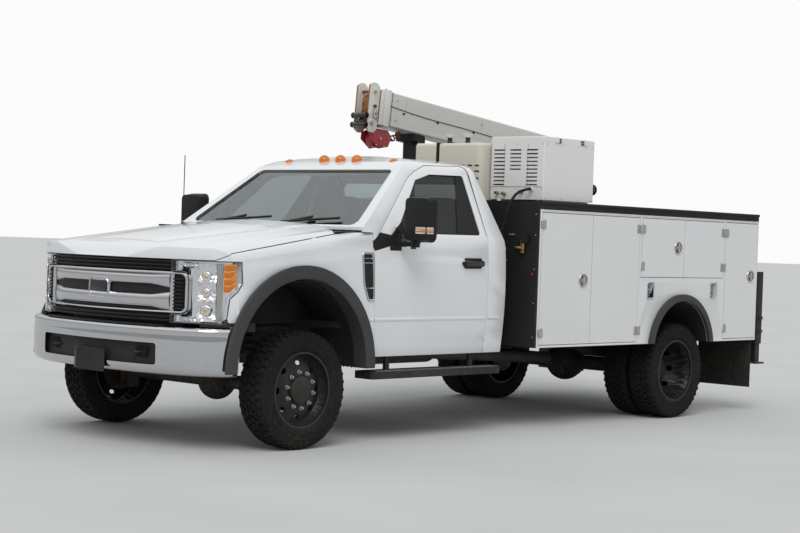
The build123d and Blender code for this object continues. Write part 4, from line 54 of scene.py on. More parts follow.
SIDES = ((1, "left"), (-1, "right"))

# %% [markdown]
# ## The camera
# The eye stands ahead of the driver's side, at chest height and about fourteen metres away, and the lens is
# long, so the truck's lines run nearly parallel. The horizon leans by two degrees, as a hand-held picture
# does. The camera is made first, because it decides which details earn their place.

# %% Camera
EYE = Vector((10.488, 9.339, 1.445))
LENS = 77.94
YAW, PITCH, ROLL = -2.400, 0.0166, 0.0347

ahead = Vector((math.cos(YAW) * math.cos(PITCH), math.sin(YAW) * math.cos(PITCH), -math.sin(PITCH)))
level_right = ahead.cross(Vector((0, 0, 1))).normalized()
level_up = level_right.cross(ahead)
right = level_right * math.cos(ROLL) + level_up * math.sin(ROLL)
up = level_up * math.cos(ROLL) - level_right * math.sin(ROLL)

bpy.ops.object.camera_add()
camera = bpy.context.object
camera.name = "camera"
camera.data.lens = LENS
camera.data.sensor_width = 36
camera.data.clip_end = 200
camera.matrix_world = Matrix((
    (right.x, up.x, -ahead.x, EYE.x),
    (right.y, up.y, -ahead.y, EYE.y),
    (right.z, up.z, -ahead.z, EYE.z),
    (0, 0, 0, 1),
))
bpy.context.scene.camera = camera
print("camera", round((EYE - Vector((0, 0, EYE.z))).length, 2), "m from the truck's middle")

# %% [markdown]
# ## Shader groups
# Four effects are used again and again on a working truck: dust that thickens towards the road, rust that runs
# down from edges, a fine grain, and panel tone that drifts a little in colour and gloss. Each is one node group
# with named inputs, so every material can place it with its own amounts.

# %% Helpers for node groups
def new_group(name, inputs, outputs):
    """An empty shader group with named sockets: each input is (name, kind, default)."""
    group = bpy.data.node_groups.new(name, "ShaderNodeTree")
    for label, kind, default in inputs:
        socket = group.interface.new_socket(label, in_out="INPUT", socket_type=kind)
        socket.default_value = default
    for label, kind in outputs:
        group.interface.new_socket(label, in_out="OUTPUT", socket_type=kind)
    return group, group.nodes.new("NodeGroupInput"), group.nodes.new("NodeGroupOutput")


def node(tree, kind, links=(), **settings):
    """Adds a node, sets its properties, and links or sets its inputs: each link is (input, source or value)."""
    made = tree.nodes.new(kind)
    for key, value in settings.items():
        setattr(made, key, value)
    for key, source in links:
        if isinstance(source, bpy.types.NodeSocket):
            tree.links.new(source, made.inputs[key])
        else:
            made.inputs[key].default_value = source
    return made


def maths(tree, operation, first, second=0.0, clamp=False):
    """A Math node's output."""
    return node(tree, "ShaderNodeMath", [(0, first), (1, second)], operation=operation, use_clamp=clamp).outputs[0]


def mix_colour(tree, factor, first, second):
    """A colour mix's output."""
    return node(tree, "ShaderNodeMix", [(0, factor), (6, first), (7, second)], data_type="RGBA").outputs[2]


def spread(tree, value, low, high, to_low=0.0, to_high=1.0):
    """A Map Range node's output, clamped."""
    links = [(0, value), (1, low), (2, high), (3, to_low), (4, to_high)]
    return node(tree, "ShaderNodeMapRange", links).outputs[0]


def noise(tree, vector, scale, detail=3.0, rough=0.55):
    """A noise texture's value."""
    return node(tree, "ShaderNodeTexNoise", [(0, vector), (2, scale), (3, detail), (4, rough)]).outputs[0]


def stretched(tree, scale):
    """Object coordinates stretched by a scale for each axis."""
    place = node(tree, "ShaderNodeTexCoord").outputs["Object"]
    return node(tree, "ShaderNodeMapping", [(0, place), (3, scale)]).outputs[0]


# %% Road dust: a mask that is strong near the road, broken up by noise
COLOUR, VALUE = "NodeSocketColor", "NodeSocketFloat"
dust_group, enter, leave = new_group(
    "road dust",
    [("Colour", COLOUR, (0.8, 0.8, 0.8, 1)), ("Dust", COLOUR, (0.30, 0.26, 0.21, 1)),
     ("Amount", VALUE, 0.5), ("Reach", VALUE, 1.0), ("Roughness", VALUE, 0.4)],
    [("Colour", COLOUR), ("Roughness", VALUE), ("Mask", VALUE)],
)
place = node(dust_group, "ShaderNodeTexCoord").outputs["Object"]
height = node(dust_group, "ShaderNodeSeparateXYZ", [(0, place)]).outputs["Z"]
fade = spread(dust_group, maths(dust_group, "DIVIDE", height, enter.outputs["Reach"]), 0.0, 1.0, 1.0, 0.0)
cloud = spread(dust_group, noise(dust_group, place, 3.5, 5.0, 0.65), 0.30, 0.75)
specks = spread(dust_group, noise(dust_group, place, 55.0, 2.0), 0.50, 0.72)
patches = maths(dust_group, "ADD", maths(dust_group, "MULTIPLY", cloud, 0.75), specks)
mask = maths(dust_group, "MULTIPLY", fade, patches)
mask = maths(dust_group, "MULTIPLY", mask, enter.outputs["Amount"], clamp=True)
dusted = mix_colour(dust_group, mask, enter.outputs["Colour"], enter.outputs["Dust"])
dust_group.links.new(dusted, leave.inputs["Colour"])
rough = maths(dust_group, "ADD", enter.outputs["Roughness"], maths(dust_group, "MULTIPLY", mask, 0.45), clamp=True)
dust_group.links.new(rough, leave.inputs["Roughness"])
dust_group.links.new(mask, leave.inputs["Mask"])

# %% Rust: blotches, and streaks that run straight down
rust_group, enter, leave = new_group(
    "rust",
    [("Colour", COLOUR, (0.8, 0.8, 0.8, 1)), ("Rust", COLOUR, (0.22, 0.085, 0.022, 1)),
     ("Blotches", VALUE, 0.3), ("Streaks", VALUE, 0.3), ("Scale", VALUE, 9.0)],
    [("Colour", COLOUR), ("Mask", VALUE)],
)
place = node(rust_group, "ShaderNodeTexCoord").outputs["Object"]
blot = noise(rust_group, place, enter.outputs["Scale"], 8.0, 0.7)
edge = maths(rust_group, "SUBTRACT", 0.80, maths(rust_group, "MULTIPLY", enter.outputs["Blotches"], 0.42))
blot = maths(rust_group, "MULTIPLY", maths(rust_group, "SUBTRACT", blot, edge), 9.0, clamp=True)
runs = noise(rust_group, stretched(rust_group, (26.0, 26.0, 1.5)), 1.0, 5.0, 0.6)
gate = spread(rust_group, noise(rust_group, place, 2.2, 2.0), 0.42, 0.70)
edge = maths(rust_group, "SUBTRACT", 0.82, maths(rust_group, "MULTIPLY", enter.outputs["Streaks"], 0.42))
runs = maths(rust_group, "MULTIPLY", maths(rust_group, "SUBTRACT", runs, edge), 4.0, clamp=True)
runs = maths(rust_group, "MULTIPLY", runs, gate)
mask = maths(rust_group, "MAXIMUM", blot, maths(rust_group, "MULTIPLY", runs, 0.8))
shade = mix_colour(rust_group, noise(rust_group, place, 60.0, 3.0), enter.outputs["Rust"], (0.40, 0.19, 0.065, 1))
rust_group.links.new(mix_colour(rust_group, mask, enter.outputs["Colour"], shade), leave.inputs["Colour"])
rust_group.links.new(mask, leave.inputs["Mask"])

# %% Grain: a height for moulded plastic, rubber, cast iron and sprayed coatings
grain_group, enter, leave = new_group(
    "grain", [("Scale", VALUE, 400.0), ("Fine", VALUE, 0.5)], [("Height", VALUE)],
)
place = node(grain_group, "ShaderNodeTexCoord").outputs["Object"]
coarse = noise(grain_group, place, enter.outputs["Scale"], 2.0)
cells = node(grain_group, "ShaderNodeTexVoronoi", [(0, place), (2, enter.outputs["Scale"])]).outputs[0]
blend_height = node(grain_group, "ShaderNodeMix", [(0, enter.outputs["Fine"]), (2, coarse), (3, cells)])
grain_group.links.new(blend_height.outputs[0], leave.inputs["Height"])

# %% Tone: slow changes of colour and gloss across a panel, as polish and weather leave them
tone_group, enter, leave = new_group(
    "panel tone",
    [("Colour", COLOUR, (0.8, 0.8, 0.8, 1)), ("Drift", VALUE, 0.06), ("Scale", VALUE, 1.4), ("Roughness", VALUE, 0.3)],
    [("Colour", COLOUR), ("Roughness", VALUE)],
)
place = node(tone_group, "ShaderNodeTexCoord").outputs["Object"]
slow = noise(tone_group, place, enter.outputs["Scale"], 4.0, 0.6)
darker = maths(tone_group, "SUBTRACT", 1.0, maths(tone_group, "MULTIPLY", slow, enter.outputs["Drift"]))
scaled = node(tone_group, "ShaderNodeVectorMath", [(0, enter.outputs["Colour"]), (3, darker)], operation="SCALE")
tone_group.links.new(scaled.outputs[0], leave.inputs["Colour"])
wiped = maths(tone_group, "MULTIPLY", maths(tone_group, "SUBTRACT", slow, 0.5), 0.35)
tone_group.links.new(maths(tone_group, "ADD", enter.outputs["Roughness"], wiped, clamp=True), leave.inputs["Roughness"])
print("shader groups:", [g.name for g in bpy.data.node_groups])

# %% [markdown]
# ## Materials
# A finish is built from its colour outwards: the panel tone first, then rust, then road dust on top, as they
# come on the real truck. The Principled shader stays in the material, and the numbers that are the same all
# over it are set on the shader's own sockets.

# %% The one recipe that the finishes share
def new_look(name, values):
    """A new material, its node tree and its Principled shader, with values set on the shader's own sockets."""
    material = bpy.data.materials.new(name)
    material.use_nodes = True
    shader = material.node_tree.nodes["Principled BSDF"]
    for label, value in values.items():
        shader.inputs[label].default_value = value
    return material, material.node_tree, shader


def finish(name, colour, rough=0.4, metal=0.0, coat=0.0, drift=0.06, dust=0.0, reach=1.0, rust=None, streaks=0.0,
           rust_scale=9.0, grain=None, bump=0.0005, fine=0.4, shine=0.5):
    """A material with tone, rust, dust and grain, each left out where its amount is nothing."""
    material, tree, shader = new_look(name, {"Metallic": metal, "Coat Weight": coat, "Coat Roughness": 0.06,
                                             "Specular IOR Level": shine})
    tone = node(tree, "ShaderNodeGroup", [("Colour", (*colour, 1)), ("Drift", drift), ("Roughness", rough)],
                node_tree=tone_group)
    paint, gloss = tone.outputs["Colour"], tone.outputs["Roughness"]
    if rust is not None:
        links = [("Colour", paint), ("Blotches", rust), ("Streaks", streaks), ("Scale", rust_scale)]
        rusty = node(tree, "ShaderNodeGroup", links, node_tree=rust_group)
        paint = rusty.outputs["Colour"]
        gloss = maths(tree, "ADD", gloss, maths(tree, "MULTIPLY", rusty.outputs["Mask"], 0.5), clamp=True)
        if metal:
            bare = maths(tree, "MULTIPLY", maths(tree, "SUBTRACT", 1.0, rusty.outputs["Mask"]), metal, clamp=True)
            tree.links.new(bare, shader.inputs["Metallic"])
    if dust:
        links = [("Colour", paint), ("Roughness", gloss), ("Amount", dust), ("Reach", reach)]
        dusty = node(tree, "ShaderNodeGroup", links, node_tree=dust_group)
        paint, gloss = dusty.outputs["Colour"], dusty.outputs["Roughness"]
    tree.links.new(paint, shader.inputs["Base Color"])
    tree.links.new(gloss, shader.inputs["Roughness"])
    if grain:
        height = node(tree, "ShaderNodeGroup", [("Scale", grain), ("Fine", fine)], node_tree=grain_group).outputs[0]
        raised = node(tree, "ShaderNodeBump", [("Height", height), ("Strength", 0.6), ("Distance", bump)])
        tree.links.new(raised.outputs[0], shader.inputs["Normal"])
    return material


# %% Finishes of this truck
cab_white = finish("cab white", (0.76, 0.77, 0.78), 0.22, coat=0.6, drift=0.05, dust=0.16, reach=1.5)
body_white = finish("body white", (0.74, 0.745, 0.745), 0.34, coat=0.25, drift=0.07, dust=0.15, reach=1.7,
                    rust=0.10, streaks=0.30)
crane_white = finish("crane white", (0.72, 0.71, 0.67), 0.42, coat=0.1, drift=0.12, rust=0.40, streaks=0.55,
                     rust_scale=7.0)
hook_red = finish("hook block red", (0.42, 0.03, 0.035), 0.42, coat=0.2, drift=0.2, rust=0.25)
tank_cream = finish("tank cream", (0.66, 0.63, 0.54), 0.45, drift=0.10, dust=0.25, reach=3.2, rust=0.2, streaks=0.4)
compressor_white = finish("compressor white", (0.76, 0.76, 0.74), 0.36, drift=0.06, dust=0.10, reach=3.0)
black_moulding = finish("black moulding", (0.016, 0.016, 0.017), 0.50, drift=0.3, dust=0.10, reach=1.4, grain=700,
                        bump=0.0006, shine=0.22)
flare_plastic = finish("flare plastic", (0.050, 0.052, 0.056), 0.58, drift=0.3, dust=0.10, reach=1.5, grain=500,
                       bump=0.0008, shine=0.28)
trim_black = finish("gloss black trim", (0.012, 0.012, 0.013), 0.22, coat=0.4, drift=0.3)
frame_black = finish("frame black", (0.020, 0.019, 0.018), 0.55, drift=0.4, dust=0.25, reach=1.3, rust=0.42,
                     streaks=0.2,
                     grain=160, bump=0.0008, shine=0.22)
wheel_black = finish("wheel black", (0.009, 0.009, 0.0095), 0.38, drift=0.3, dust=0.05, reach=1.3, rust=0.08, grain=220,
                     bump=0.0004, shine=0.35)
hub_iron = finish("hub iron", (0.020, 0.019, 0.018), 0.5, metal=0.3, drift=0.3, dust=0.10, reach=1.2, rust=0.22,
                  grain=240,
                  bump=0.0006)
tread_rubber = finish("tread rubber", (0.010, 0.010, 0.0105), 0.80, drift=0.3, dust=0.07, reach=1.0, grain=320,
                      bump=0.0007, shine=0.12)
soft_rubber = finish("soft rubber", (0.015, 0.015, 0.015), 0.65, drift=0.2, dust=0.12, reach=1.6, grain=450,
                     bump=0.0003, shine=0.2)
cast_grey = finish("engine iron", (0.12, 0.115, 0.11), 0.6, metal=0.5, drift=0.4, dust=0.4, reach=1.4, rust=0.35,
                   grain=200)
tank_dark = finish("fuel tank black", (0.022, 0.022, 0.023), 0.5, drift=0.3, dust=0.22, reach=1.1, grain=260,
                   shine=0.25)
bright_chrome = finish("bright chrome", (0.60, 0.605, 0.62), 0.08, metal=1.0, drift=0.10, dust=0.08, reach=1.0)
bumper_chrome = finish("bumper chrome", (0.60, 0.605, 0.62), 0.08, metal=1.0, drift=0.10, dust=0.28, reach=0.78)
handle_steel = finish("handle steel", (0.62, 0.62, 0.61), 0.30, metal=1.0, drift=0.2, rust=0.12, grain=300, bump=0.0003)
zinc_steel = finish("zinc steel", (0.50, 0.50, 0.49), 0.42, metal=0.9, drift=0.3, rust=0.35, grain=250, bump=0.0003)
deck_steel = finish("deck steel", (0.20, 0.20, 0.20), 0.55, metal=0.4, drift=0.5, dust=0.30, reach=2.5, rust=0.50,
                    streaks=0.1,
                    rust_scale=5.0, grain=140, bump=0.001)
tray_coat = finish("sprayed tray coating", (0.020, 0.020, 0.021), 0.62, drift=0.4, dust=0.05, reach=4.0, grain=170,
                   bump=0.0016, shine=0.2)
bulkhead_black = finish("bulkhead black", (0.016, 0.016, 0.017), 0.48, drift=0.3, dust=0.06, reach=2.0, grain=200,
                        bump=0.0009, shine=0.2)
cabin_grey = finish("cabin grey", (0.080, 0.080, 0.084), 0.65, drift=0.2, grain=600, bump=0.0004, shine=0.3)
headliner = finish("headliner", (0.34, 0.34, 0.33), 0.85, drift=0.1, grain=900, bump=0.0004, fine=0.1)
jack_black = finish("jack black", (0.022, 0.021, 0.020), 0.5, drift=0.3, dust=0.15, reach=1.2, rust=0.50, streaks=0.5,
                    grain=180, shine=0.25)
ram_chrome = finish("ram chrome", (0.70, 0.70, 0.70), 0.10, metal=1.0, drift=0.2, rust=0.08)
lamp_housing = finish("lamp housing", (0.86, 0.87, 0.89), 0.12, metal=1.0, drift=0.1)
warm_bulb = finish("bulb shield", (0.80, 0.52, 0.26), 0.18, metal=0.8, drift=0.1)
lamp_dark = finish("lamp bezel", (0.05, 0.05, 0.055), 0.25, coat=0.4, drift=0.2)
board_black = finish("running board black", (0.020, 0.020, 0.021), 0.45, drift=0.3, dust=0.18, reach=1.1, grain=380,
                     bump=0.0006, shine=0.22)


# %% Glass and lamp lenses
def clear(name, colour, rough=0.02, through=1.0, ior=1.5, coat=0.0):
    """Glass or a moulded lens: a plain Transmission Weight, with slow dust on its gloss."""
    material, tree, shader = new_look(name, {"Transmission Weight": through, "IOR": ior, "Coat Weight": coat})
    tone = node(tree, "ShaderNodeGroup", [("Colour", (*colour, 1))], node_tree=tone_group)
    tree.links.new(tone.outputs["Colour"], shader.inputs["Base Color"])
    film = noise(tree, stretched(tree, (3.0, 3.0, 3.0)), 1.0, 6.0, 0.7)
    tree.links.new(spread(tree, film, 0.45, 0.8, rough, rough + 0.05), shader.inputs["Roughness"])
    return material


window_glass = clear("window glass", (0.66, 0.76, 0.78), 0.01, ior=1.55)
side_glass = clear("side window glass", (0.36, 0.40, 0.40), 0.01, ior=1.30)
lens_clear = clear("clear lens", (0.97, 0.975, 0.98), 0.01, ior=1.04, coat=1.0)
lens_amber = clear("amber lens", (0.95, 0.28, 0.02), 0.12, 0.55)
lens_red = clear("red lens", (0.60, 0.015, 0.012), 0.12, 0.5)
mirror_glass = finish("mirror glass", (0.75, 0.77, 0.78), 0.03, metal=1.0, drift=0.05)

# %% [markdown]
# ## The air hose
# One black hose leaves the compressor cabinet, hangs in a short bow and goes into the bulkhead. It is a free
# cord, so it is a single smooth line through the points of its route, as thick as the real hose. It comes
# before the rest, because its place decides whether anything else has to move.

# %% Air hose
def added(name, data):
    """A new object in the scene."""
    obj = bpy.data.objects.new(name, data)
    bpy.context.scene.collection.objects.link(obj)
    return obj


HOSE_ROUTE = [(-0.0402, 1.025, 1.857), (0.084, 1.002, 1.838), (0.136, 0.968, 1.725), (0.136, 0.935, 1.620),
              (0.150, 0.905, 1.472), (0.0793, 0.893, 1.385)]
HOSE_WIDTH = 0.022
curve = bpy.data.curves.new("air_hose_line", "CURVE")
curve.dimensions = "3D"
line = curve.splines.new("NURBS")
line.points.add(len(HOSE_ROUTE) - 1)
for point, place in zip(line.points, HOSE_ROUTE):
    point.co = (*place, 1)
line.order_u = 3
line.use_endpoint_u = True
line.resolution_u = 16
curve.bevel_depth = HOSE_WIDTH / 2
curve.bevel_resolution = 6
curve.use_fill_caps = True
air_line = added("air_hose_line", curve)
curve.materials.append(soft_rubber)
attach(air_line, "chassis")
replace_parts(air_line, "air_hose")

# %% [markdown]
# ## The solid model's own surfaces
# The panels, frame and crane keep their solids, because their shapes are right. Only their material slots are
# filled. Where one node holds two finishes, such as a door with its mirror, each face picks its slot by where
# it lies, which leaves the mesh as it was.

# %% Give each node its finish
PLAIN = {
    cab_white: ["hood", "fenders"],
    body_white: ["tailgate"],
    crane_white: ["main_boom", "middle_boom", "crane_turret", "lift_cylinder"],
    black_moulding: ["cowl_trim", "bumper_trim", "grille_louvres"],
    frame_black: ["frame_rails", "front_axle", "rear_axle", "knuckle_left", "knuckle_right"],
    cast_grey: ["powertrain"],
    tank_dark: ["fuel_tank"],
    window_glass: ["cab_glass"],
    side_glass: ["door_glass_left", "door_glass_right"],
    cabin_grey: ["dashboard", "steering_wheel", "seats"],
    bright_chrome: ["grille_frame"],
    bumper_chrome: ["front_bumper"],
    lens_clear: ["headlamps"],
    board_black: ["running_boards"],
    tray_coat: ["top_trays"],
    jack_black: ["stabiliser_leg_left", "stabiliser_leg_right"],
    compressor_white: ["compressor_cabinet", "compressor_lid"],
    tank_cream: ["reservoir_tank"],
    ram_chrome: ["lift_rod"],
}


def wear(name, materials, rule=None):
    """Fills a node's slots, and sends each face to the slot that rule(centre, normal) names."""
    mesh = nodes[name].data
    mesh.materials.clear()
    for material in materials:
        mesh.materials.append(material)
    if rule:
        for face in mesh.polygons:
            face.material_index = rule(face.center, face.normal)


for material, names in PLAIN.items():
    for name in names:
        wear(name, [material])


# %% Nodes with more than one finish
CABIN_MIDDLE = Vector((0.95, 0, 1.40))


def cab_rule(c, n):
    if c.z < 0.83 and abs(c.y) < 0.93:
        return 2
    inside = 0.22 < c.x < 1.74 and abs(c.y) < 0.975 and n.dot(CABIN_MIDDLE - c) > 0.05 * (CABIN_MIDDLE - c).length
    return (3 if c.z > 1.90 else 1) if inside else 0


def door_rule(c, n):
    if abs(c.y) > 1.02 or (c.x > 1.35 and c.z > 1.36 and abs(c.y) > 0.96):
        return 1
    return 2 if n.y * (1 if c.y > 0 else -1) < -0.3 and abs(c.y) < 0.985 else 0


def cabinet_rule(c, n):
    """The front end of a cabinet, and the inside of its wheel arch."""
    in_arch = -2.43 < c.x < -1.43 and c.z < 1.075 and abs(c.y) < 1.2
    return 1 if in_arch or (c.x > 0.03 and n.x > 0.5) else 0


wear("cab_shell", [cab_white, cabin_grey, frame_black, headliner], cab_rule)
for side, label in SIDES:
    wear(f"door_{label}", [cab_white, black_moulding, cabin_grey], door_rule)
    wear(f"cabinet_{label}", [body_white, bulkhead_black], cabinet_rule)
    for letter in "abcde":
        wear(f"door_{letter}_{label}", [body_white, handle_steel], lambda c, n: 1 if abs(c.y) > 1.2065 else 0)
wear("wheel_guards", [flare_plastic, soft_rubber], lambda c, n: 1 if c.x < -3.0 else 0)
wear("marker_lamps", [lens_amber, lens_red], lambda c, n: 1 if c.x < 0 else 0)
wear("bed_floor", [deck_steel, bulkhead_black], lambda c, n: 1 if c.x > 0.03 else 0)
wear("rear_bumper", [frame_black, deck_steel], lambda c, n: 1 if n.z > 0.9 else 0)
wear("crane_supports", [crane_white, frame_black], lambda c, n: 1 if c.x > -1.5 else 0)

AXLE_Z = 0.4
for side, label in SIDES:
    for name in (f"front_wheel_{label}", f"rear_wheels_{label}"):
        middle = (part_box(name)[0][0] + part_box(name)[1][0]) / 2
        wear(name, [wheel_black, tread_rubber],
             lambda c, n: 1 if math.hypot(c.x - middle, c.z - AXLE_Z) > 0.2608 else 0)

# %% [markdown]
# ## Modelling helpers
# Every new piece starts as a primitive, is shaped with operators, and ends the same way: its place goes into
# its mesh, sharp edges get a small round so that they catch the light, and it is hung on the body it moves with.

# %% Helpers for pieces
def apart():
    """Back to object mode with nothing selected."""
    if bpy.context.mode != "OBJECT":
        bpy.ops.object.mode_set(mode="OBJECT")
    bpy.ops.object.select_all(action="DESELECT")


def pick(obj):
    """Makes one object the only selected one."""
    apart()
    obj.select_set(True)
    bpy.context.view_layer.objects.active = obj
    return obj


def edit(obj):
    """Edit mode on one object, with all of it selected."""
    pick(obj)
    bpy.ops.object.mode_set(mode="EDIT")
    bpy.ops.mesh.select_all(action="SELECT")


def face_out():
    """Turns every face of the edited mesh outwards, and leaves edit mode."""
    bpy.ops.mesh.select_all(action="SELECT")
    bpy.ops.mesh.normals_make_consistent(inside=False)
    apart()


def modified(obj, kind, **settings):
    """Adds a modifier with these settings and applies it."""
    pick(obj)
    bpy.ops.object.modifier_add(type=kind)
    made = obj.modifiers[-1]
    for key, value in settings.items():
        setattr(made, key, value)
    bpy.ops.object.modifier_apply(modifier=made.name)
    return obj


def rounded(obj, width, steps=2, angle=35):
    """Rounds the edges that are sharper than the angle."""
    return modified(obj, "BEVEL", width=width, segments=steps, angle_limit=math.radians(angle))


def settle(obj, material, edge=0.0, steps=2, smooth=35):
    """Puts the place into the mesh, rounds and shades the piece, and gives it its finish."""
    pick(obj)
    bpy.ops.object.transform_apply(location=True, rotation=True, scale=True)
    if edge:
        rounded(obj, edge, steps)
    bpy.ops.object.shade_smooth_by_angle(angle=math.radians(smooth))
    obj.data.materials.clear()
    obj.data.materials.append(material)
    apart()
    return obj


def block(size, place, material, edge=0.003, turn=(0, 0, 0), steps=2):
    """A block with rounded edges."""
    apart()
    bpy.ops.mesh.primitive_cube_add(size=1, location=place, rotation=turn, scale=size)
    return settle(bpy.context.object, material, edge, steps)


def rod(radius, length, place, material, axis="Z", sides=20, edge=0.0015, tip=None):
    """A round bar, or a taper where tip gives the far end's radius, with its ends rounded."""
    turn = {"X": (0, math.pi / 2, 0), "Y": (-math.pi / 2, 0, 0), "Z": (0, 0, 0)}[axis]
    apart()
    bpy.ops.mesh.primitive_cone_add(vertices=sides, radius1=radius, radius2=radius if tip is None else tip,
                                    depth=length, location=place, rotation=turn)
    return settle(bpy.context.object, material, edge)


def ring(radius, thick, place, material, axis="Y", sides=40):
    """A round ring."""
    turn = {"X": (0, math.pi / 2, 0), "Y": (math.pi / 2, 0, 0), "Z": (0, 0, 0)}[axis]
    apart()
    bpy.ops.mesh.primitive_torus_add(major_radius=radius, minor_radius=thick, major_segments=sides, minor_segments=10,
                                     location=place, rotation=turn)
    return settle(bpy.context.object, material, smooth=80)


def plate(outline, thick, place, material, facing="Y", edge=0.002):
    """A flat plate: the outline is drawn across the side that faces X, Y or Z, and extruded by its thickness."""
    apart()
    bpy.ops.mesh.primitive_circle_add(vertices=len(outline), fill_type="NGON")
    obj = bpy.context.object
    for vertex, (a, b) in zip(obj.data.vertices, outline):
        vertex.co = {"X": (0, a, b), "Y": (a, 0, b), "Z": (a, b, 0)}[facing]
    edit(obj)
    shift = {"X": (thick, 0, 0), "Y": (0, thick, 0), "Z": (0, 0, thick)}[facing]
    bpy.ops.mesh.extrude_region_move(TRANSFORM_OT_translate={"value": shift})
    face_out()
    obj.location = place
    return settle(obj, material, edge)


def rounded_outline(wide, high, radius, steps=5, middle=(0, 0)):
    """Corner-rounded rectangle as a list of points."""
    points = []
    for corner, (sx, sy) in enumerate(((1, 1), (-1, 1), (-1, -1), (1, -1))):
        for step in range(steps + 1):
            turn = math.pi / 2 * (corner + step / steps)
            points.append((middle[0] + sx * (wide / 2 - radius) + radius * math.cos(turn),
                           middle[1] + sy * (high / 2 - radius) + radius * math.sin(turn)))
    return points


def lathe(profile, place, material, steps):
    """Turns a profile of (radius, along) about the Y axis: one vertex is drawn out along it, then spun."""
    apart()
    bpy.ops.mesh.primitive_plane_add(size=0.01)
    obj = bpy.context.object
    edit(obj)
    bpy.ops.mesh.merge(type="CENTER")
    bpy.ops.mesh.select_all(action="SELECT")
    bpy.ops.transform.translate(value=(0, profile[0][1], profile[0][0]))
    for before, after in zip(profile, profile[1:]):
        step = (0, after[1] - before[1], after[0] - before[0])
        bpy.ops.mesh.extrude_vertices_move(TRANSFORM_OT_translate={"value": step})
    bpy.ops.mesh.select_all(action="SELECT")
    bpy.ops.mesh.spin(steps=steps, angle=2 * math.pi, center=(0, 0, 0), axis=(0, 1, 0))
    bpy.ops.mesh.select_all(action="SELECT")
    bpy.ops.mesh.remove_doubles(threshold=0.00005)
    face_out()
    obj.location = place
    return settle(obj, material, smooth=40)


def copy_of(obj, move=(0, 0, 0), turn=0.0):
    """A copy with its own mesh, turned about the Y axis through the origin, and moved."""
    mesh = obj.data.copy()
    mesh.transform(Matrix.Translation(move) @ Matrix.Rotation(turn, 4, "Y"))
    return added(obj.name, mesh)


def merged(parts):
    """Joins objects into the first of them."""
    pick(parts[0])
    for part in parts[1:]:
        part.select_set(True)
    if len(parts) > 1:
        bpy.ops.object.join()
    return bpy.context.object


def joined(parts, name, body):
    """Makes one named piece of its parts and hangs it on a body."""
    obj = merged(parts)
    obj.name = obj.data.name = name
    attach(obj, body)
    apart()
    return obj


def pipe(points, radius, material, sides=10, smooth_path=True):
    """A bent pipe or bar along points."""
    curve = bpy.data.curves.new("pipe", "CURVE")
    curve.dimensions = "3D"
    line = curve.splines.new("NURBS" if smooth_path else "POLY")
    line.points.add(len(points) - 1)
    for point, place in zip(line.points, points):
        point.co = (*place, 1)
    if smooth_path:
        line.order_u, line.use_endpoint_u = 3, True
    line.resolution_u = 6
    curve.bevel_depth, curve.bevel_resolution, curve.use_fill_caps = radius, max(1, sides // 4 - 1), True
    obj = added("pipe", curve)
    pick(obj)
    bpy.ops.object.convert(target="MESH")
    return settle(bpy.context.object, material, smooth=60)


trees = {}


def touch(name, start, way):
    """Where a ray from start meets a node of the solid model, hidden or not."""
    if name not in trees:
        mesh = nodes[name].data
        trees[name] = BVHTree.FromPolygons([v.co for v in mesh.vertices], [p.vertices for p in mesh.polygons])
    return trees[name].ray_cast(Vector(start), Vector(way))[0]


def on_side(name, side, x, z):
    """Where a node's outer side lies at x and z, or nothing where it has no face there."""
    return touch(name, (x, side * 1.5, z), (0, -side, 0))


def node_copy(name, melt=0.0):
    """A node's mesh as an object of its own: doubles merged, and flat faces of one finish melted up to an angle."""
    obj = added(f"{name}_copy", nodes[name].data.copy())
    edit(obj)
    bpy.ops.mesh.remove_doubles(threshold=0.00003)
    if melt:
        bpy.ops.mesh.dissolve_limited(angle_limit=math.radians(melt), delimit={"MATERIAL"})
    apart()
    return obj


def without(obj, kind, unwanted, melt=0.0):
    """Deletes the vertices (VERT) or faces (FACE) that unwanted() says, then melts flat faces up to an angle."""
    edit(obj)
    bpy.ops.mesh.select_mode(type=kind)
    bpy.ops.mesh.select_all(action="DESELECT")
    bpy.ops.object.mode_set(mode="OBJECT")
    for item in obj.data.vertices if kind == "VERT" else obj.data.polygons:
        item.select = unwanted(item)
    bpy.ops.object.mode_set(mode="EDIT")
    bpy.ops.mesh.delete(type=kind)
    bpy.ops.mesh.select_mode(type="VERT")
    if melt:
        bpy.ops.mesh.select_all(action="SELECT")
        bpy.ops.mesh.dissolve_limited(angle_limit=math.radians(melt))
    apart()
    return obj


# %% [markdown]
# ## Tyres and wheels
# A work truck's tyre has deep blocks that bite on gravel, broken into ribs by grooves that shed water. The
# carcass is turned as on a lathe. One pitch of the tread is modelled, five blocks wide, and copied round it.
# The pressed steel wheel keeps the solid's own rim, copied out of it, so that the tyre could take its place.

# %% One pitch of tread, and one tyre
PITCHES = 44
TREAD_R, BASE_R = 0.3995, 0.3875
# Blocks: middle across, width across, length around, lead around, skew
BLOCKS = [(-0.079, 0.036, 0.042, 0.000, 0.10), (-0.038, 0.030, 0.038, 0.022, -0.25), (0.0, 0.030, 0.044, 0.006, 0.25),
          (0.038, 0.030, 0.038, 0.024, 0.25), (0.079, 0.036, 0.042, 0.004, -0.10)]


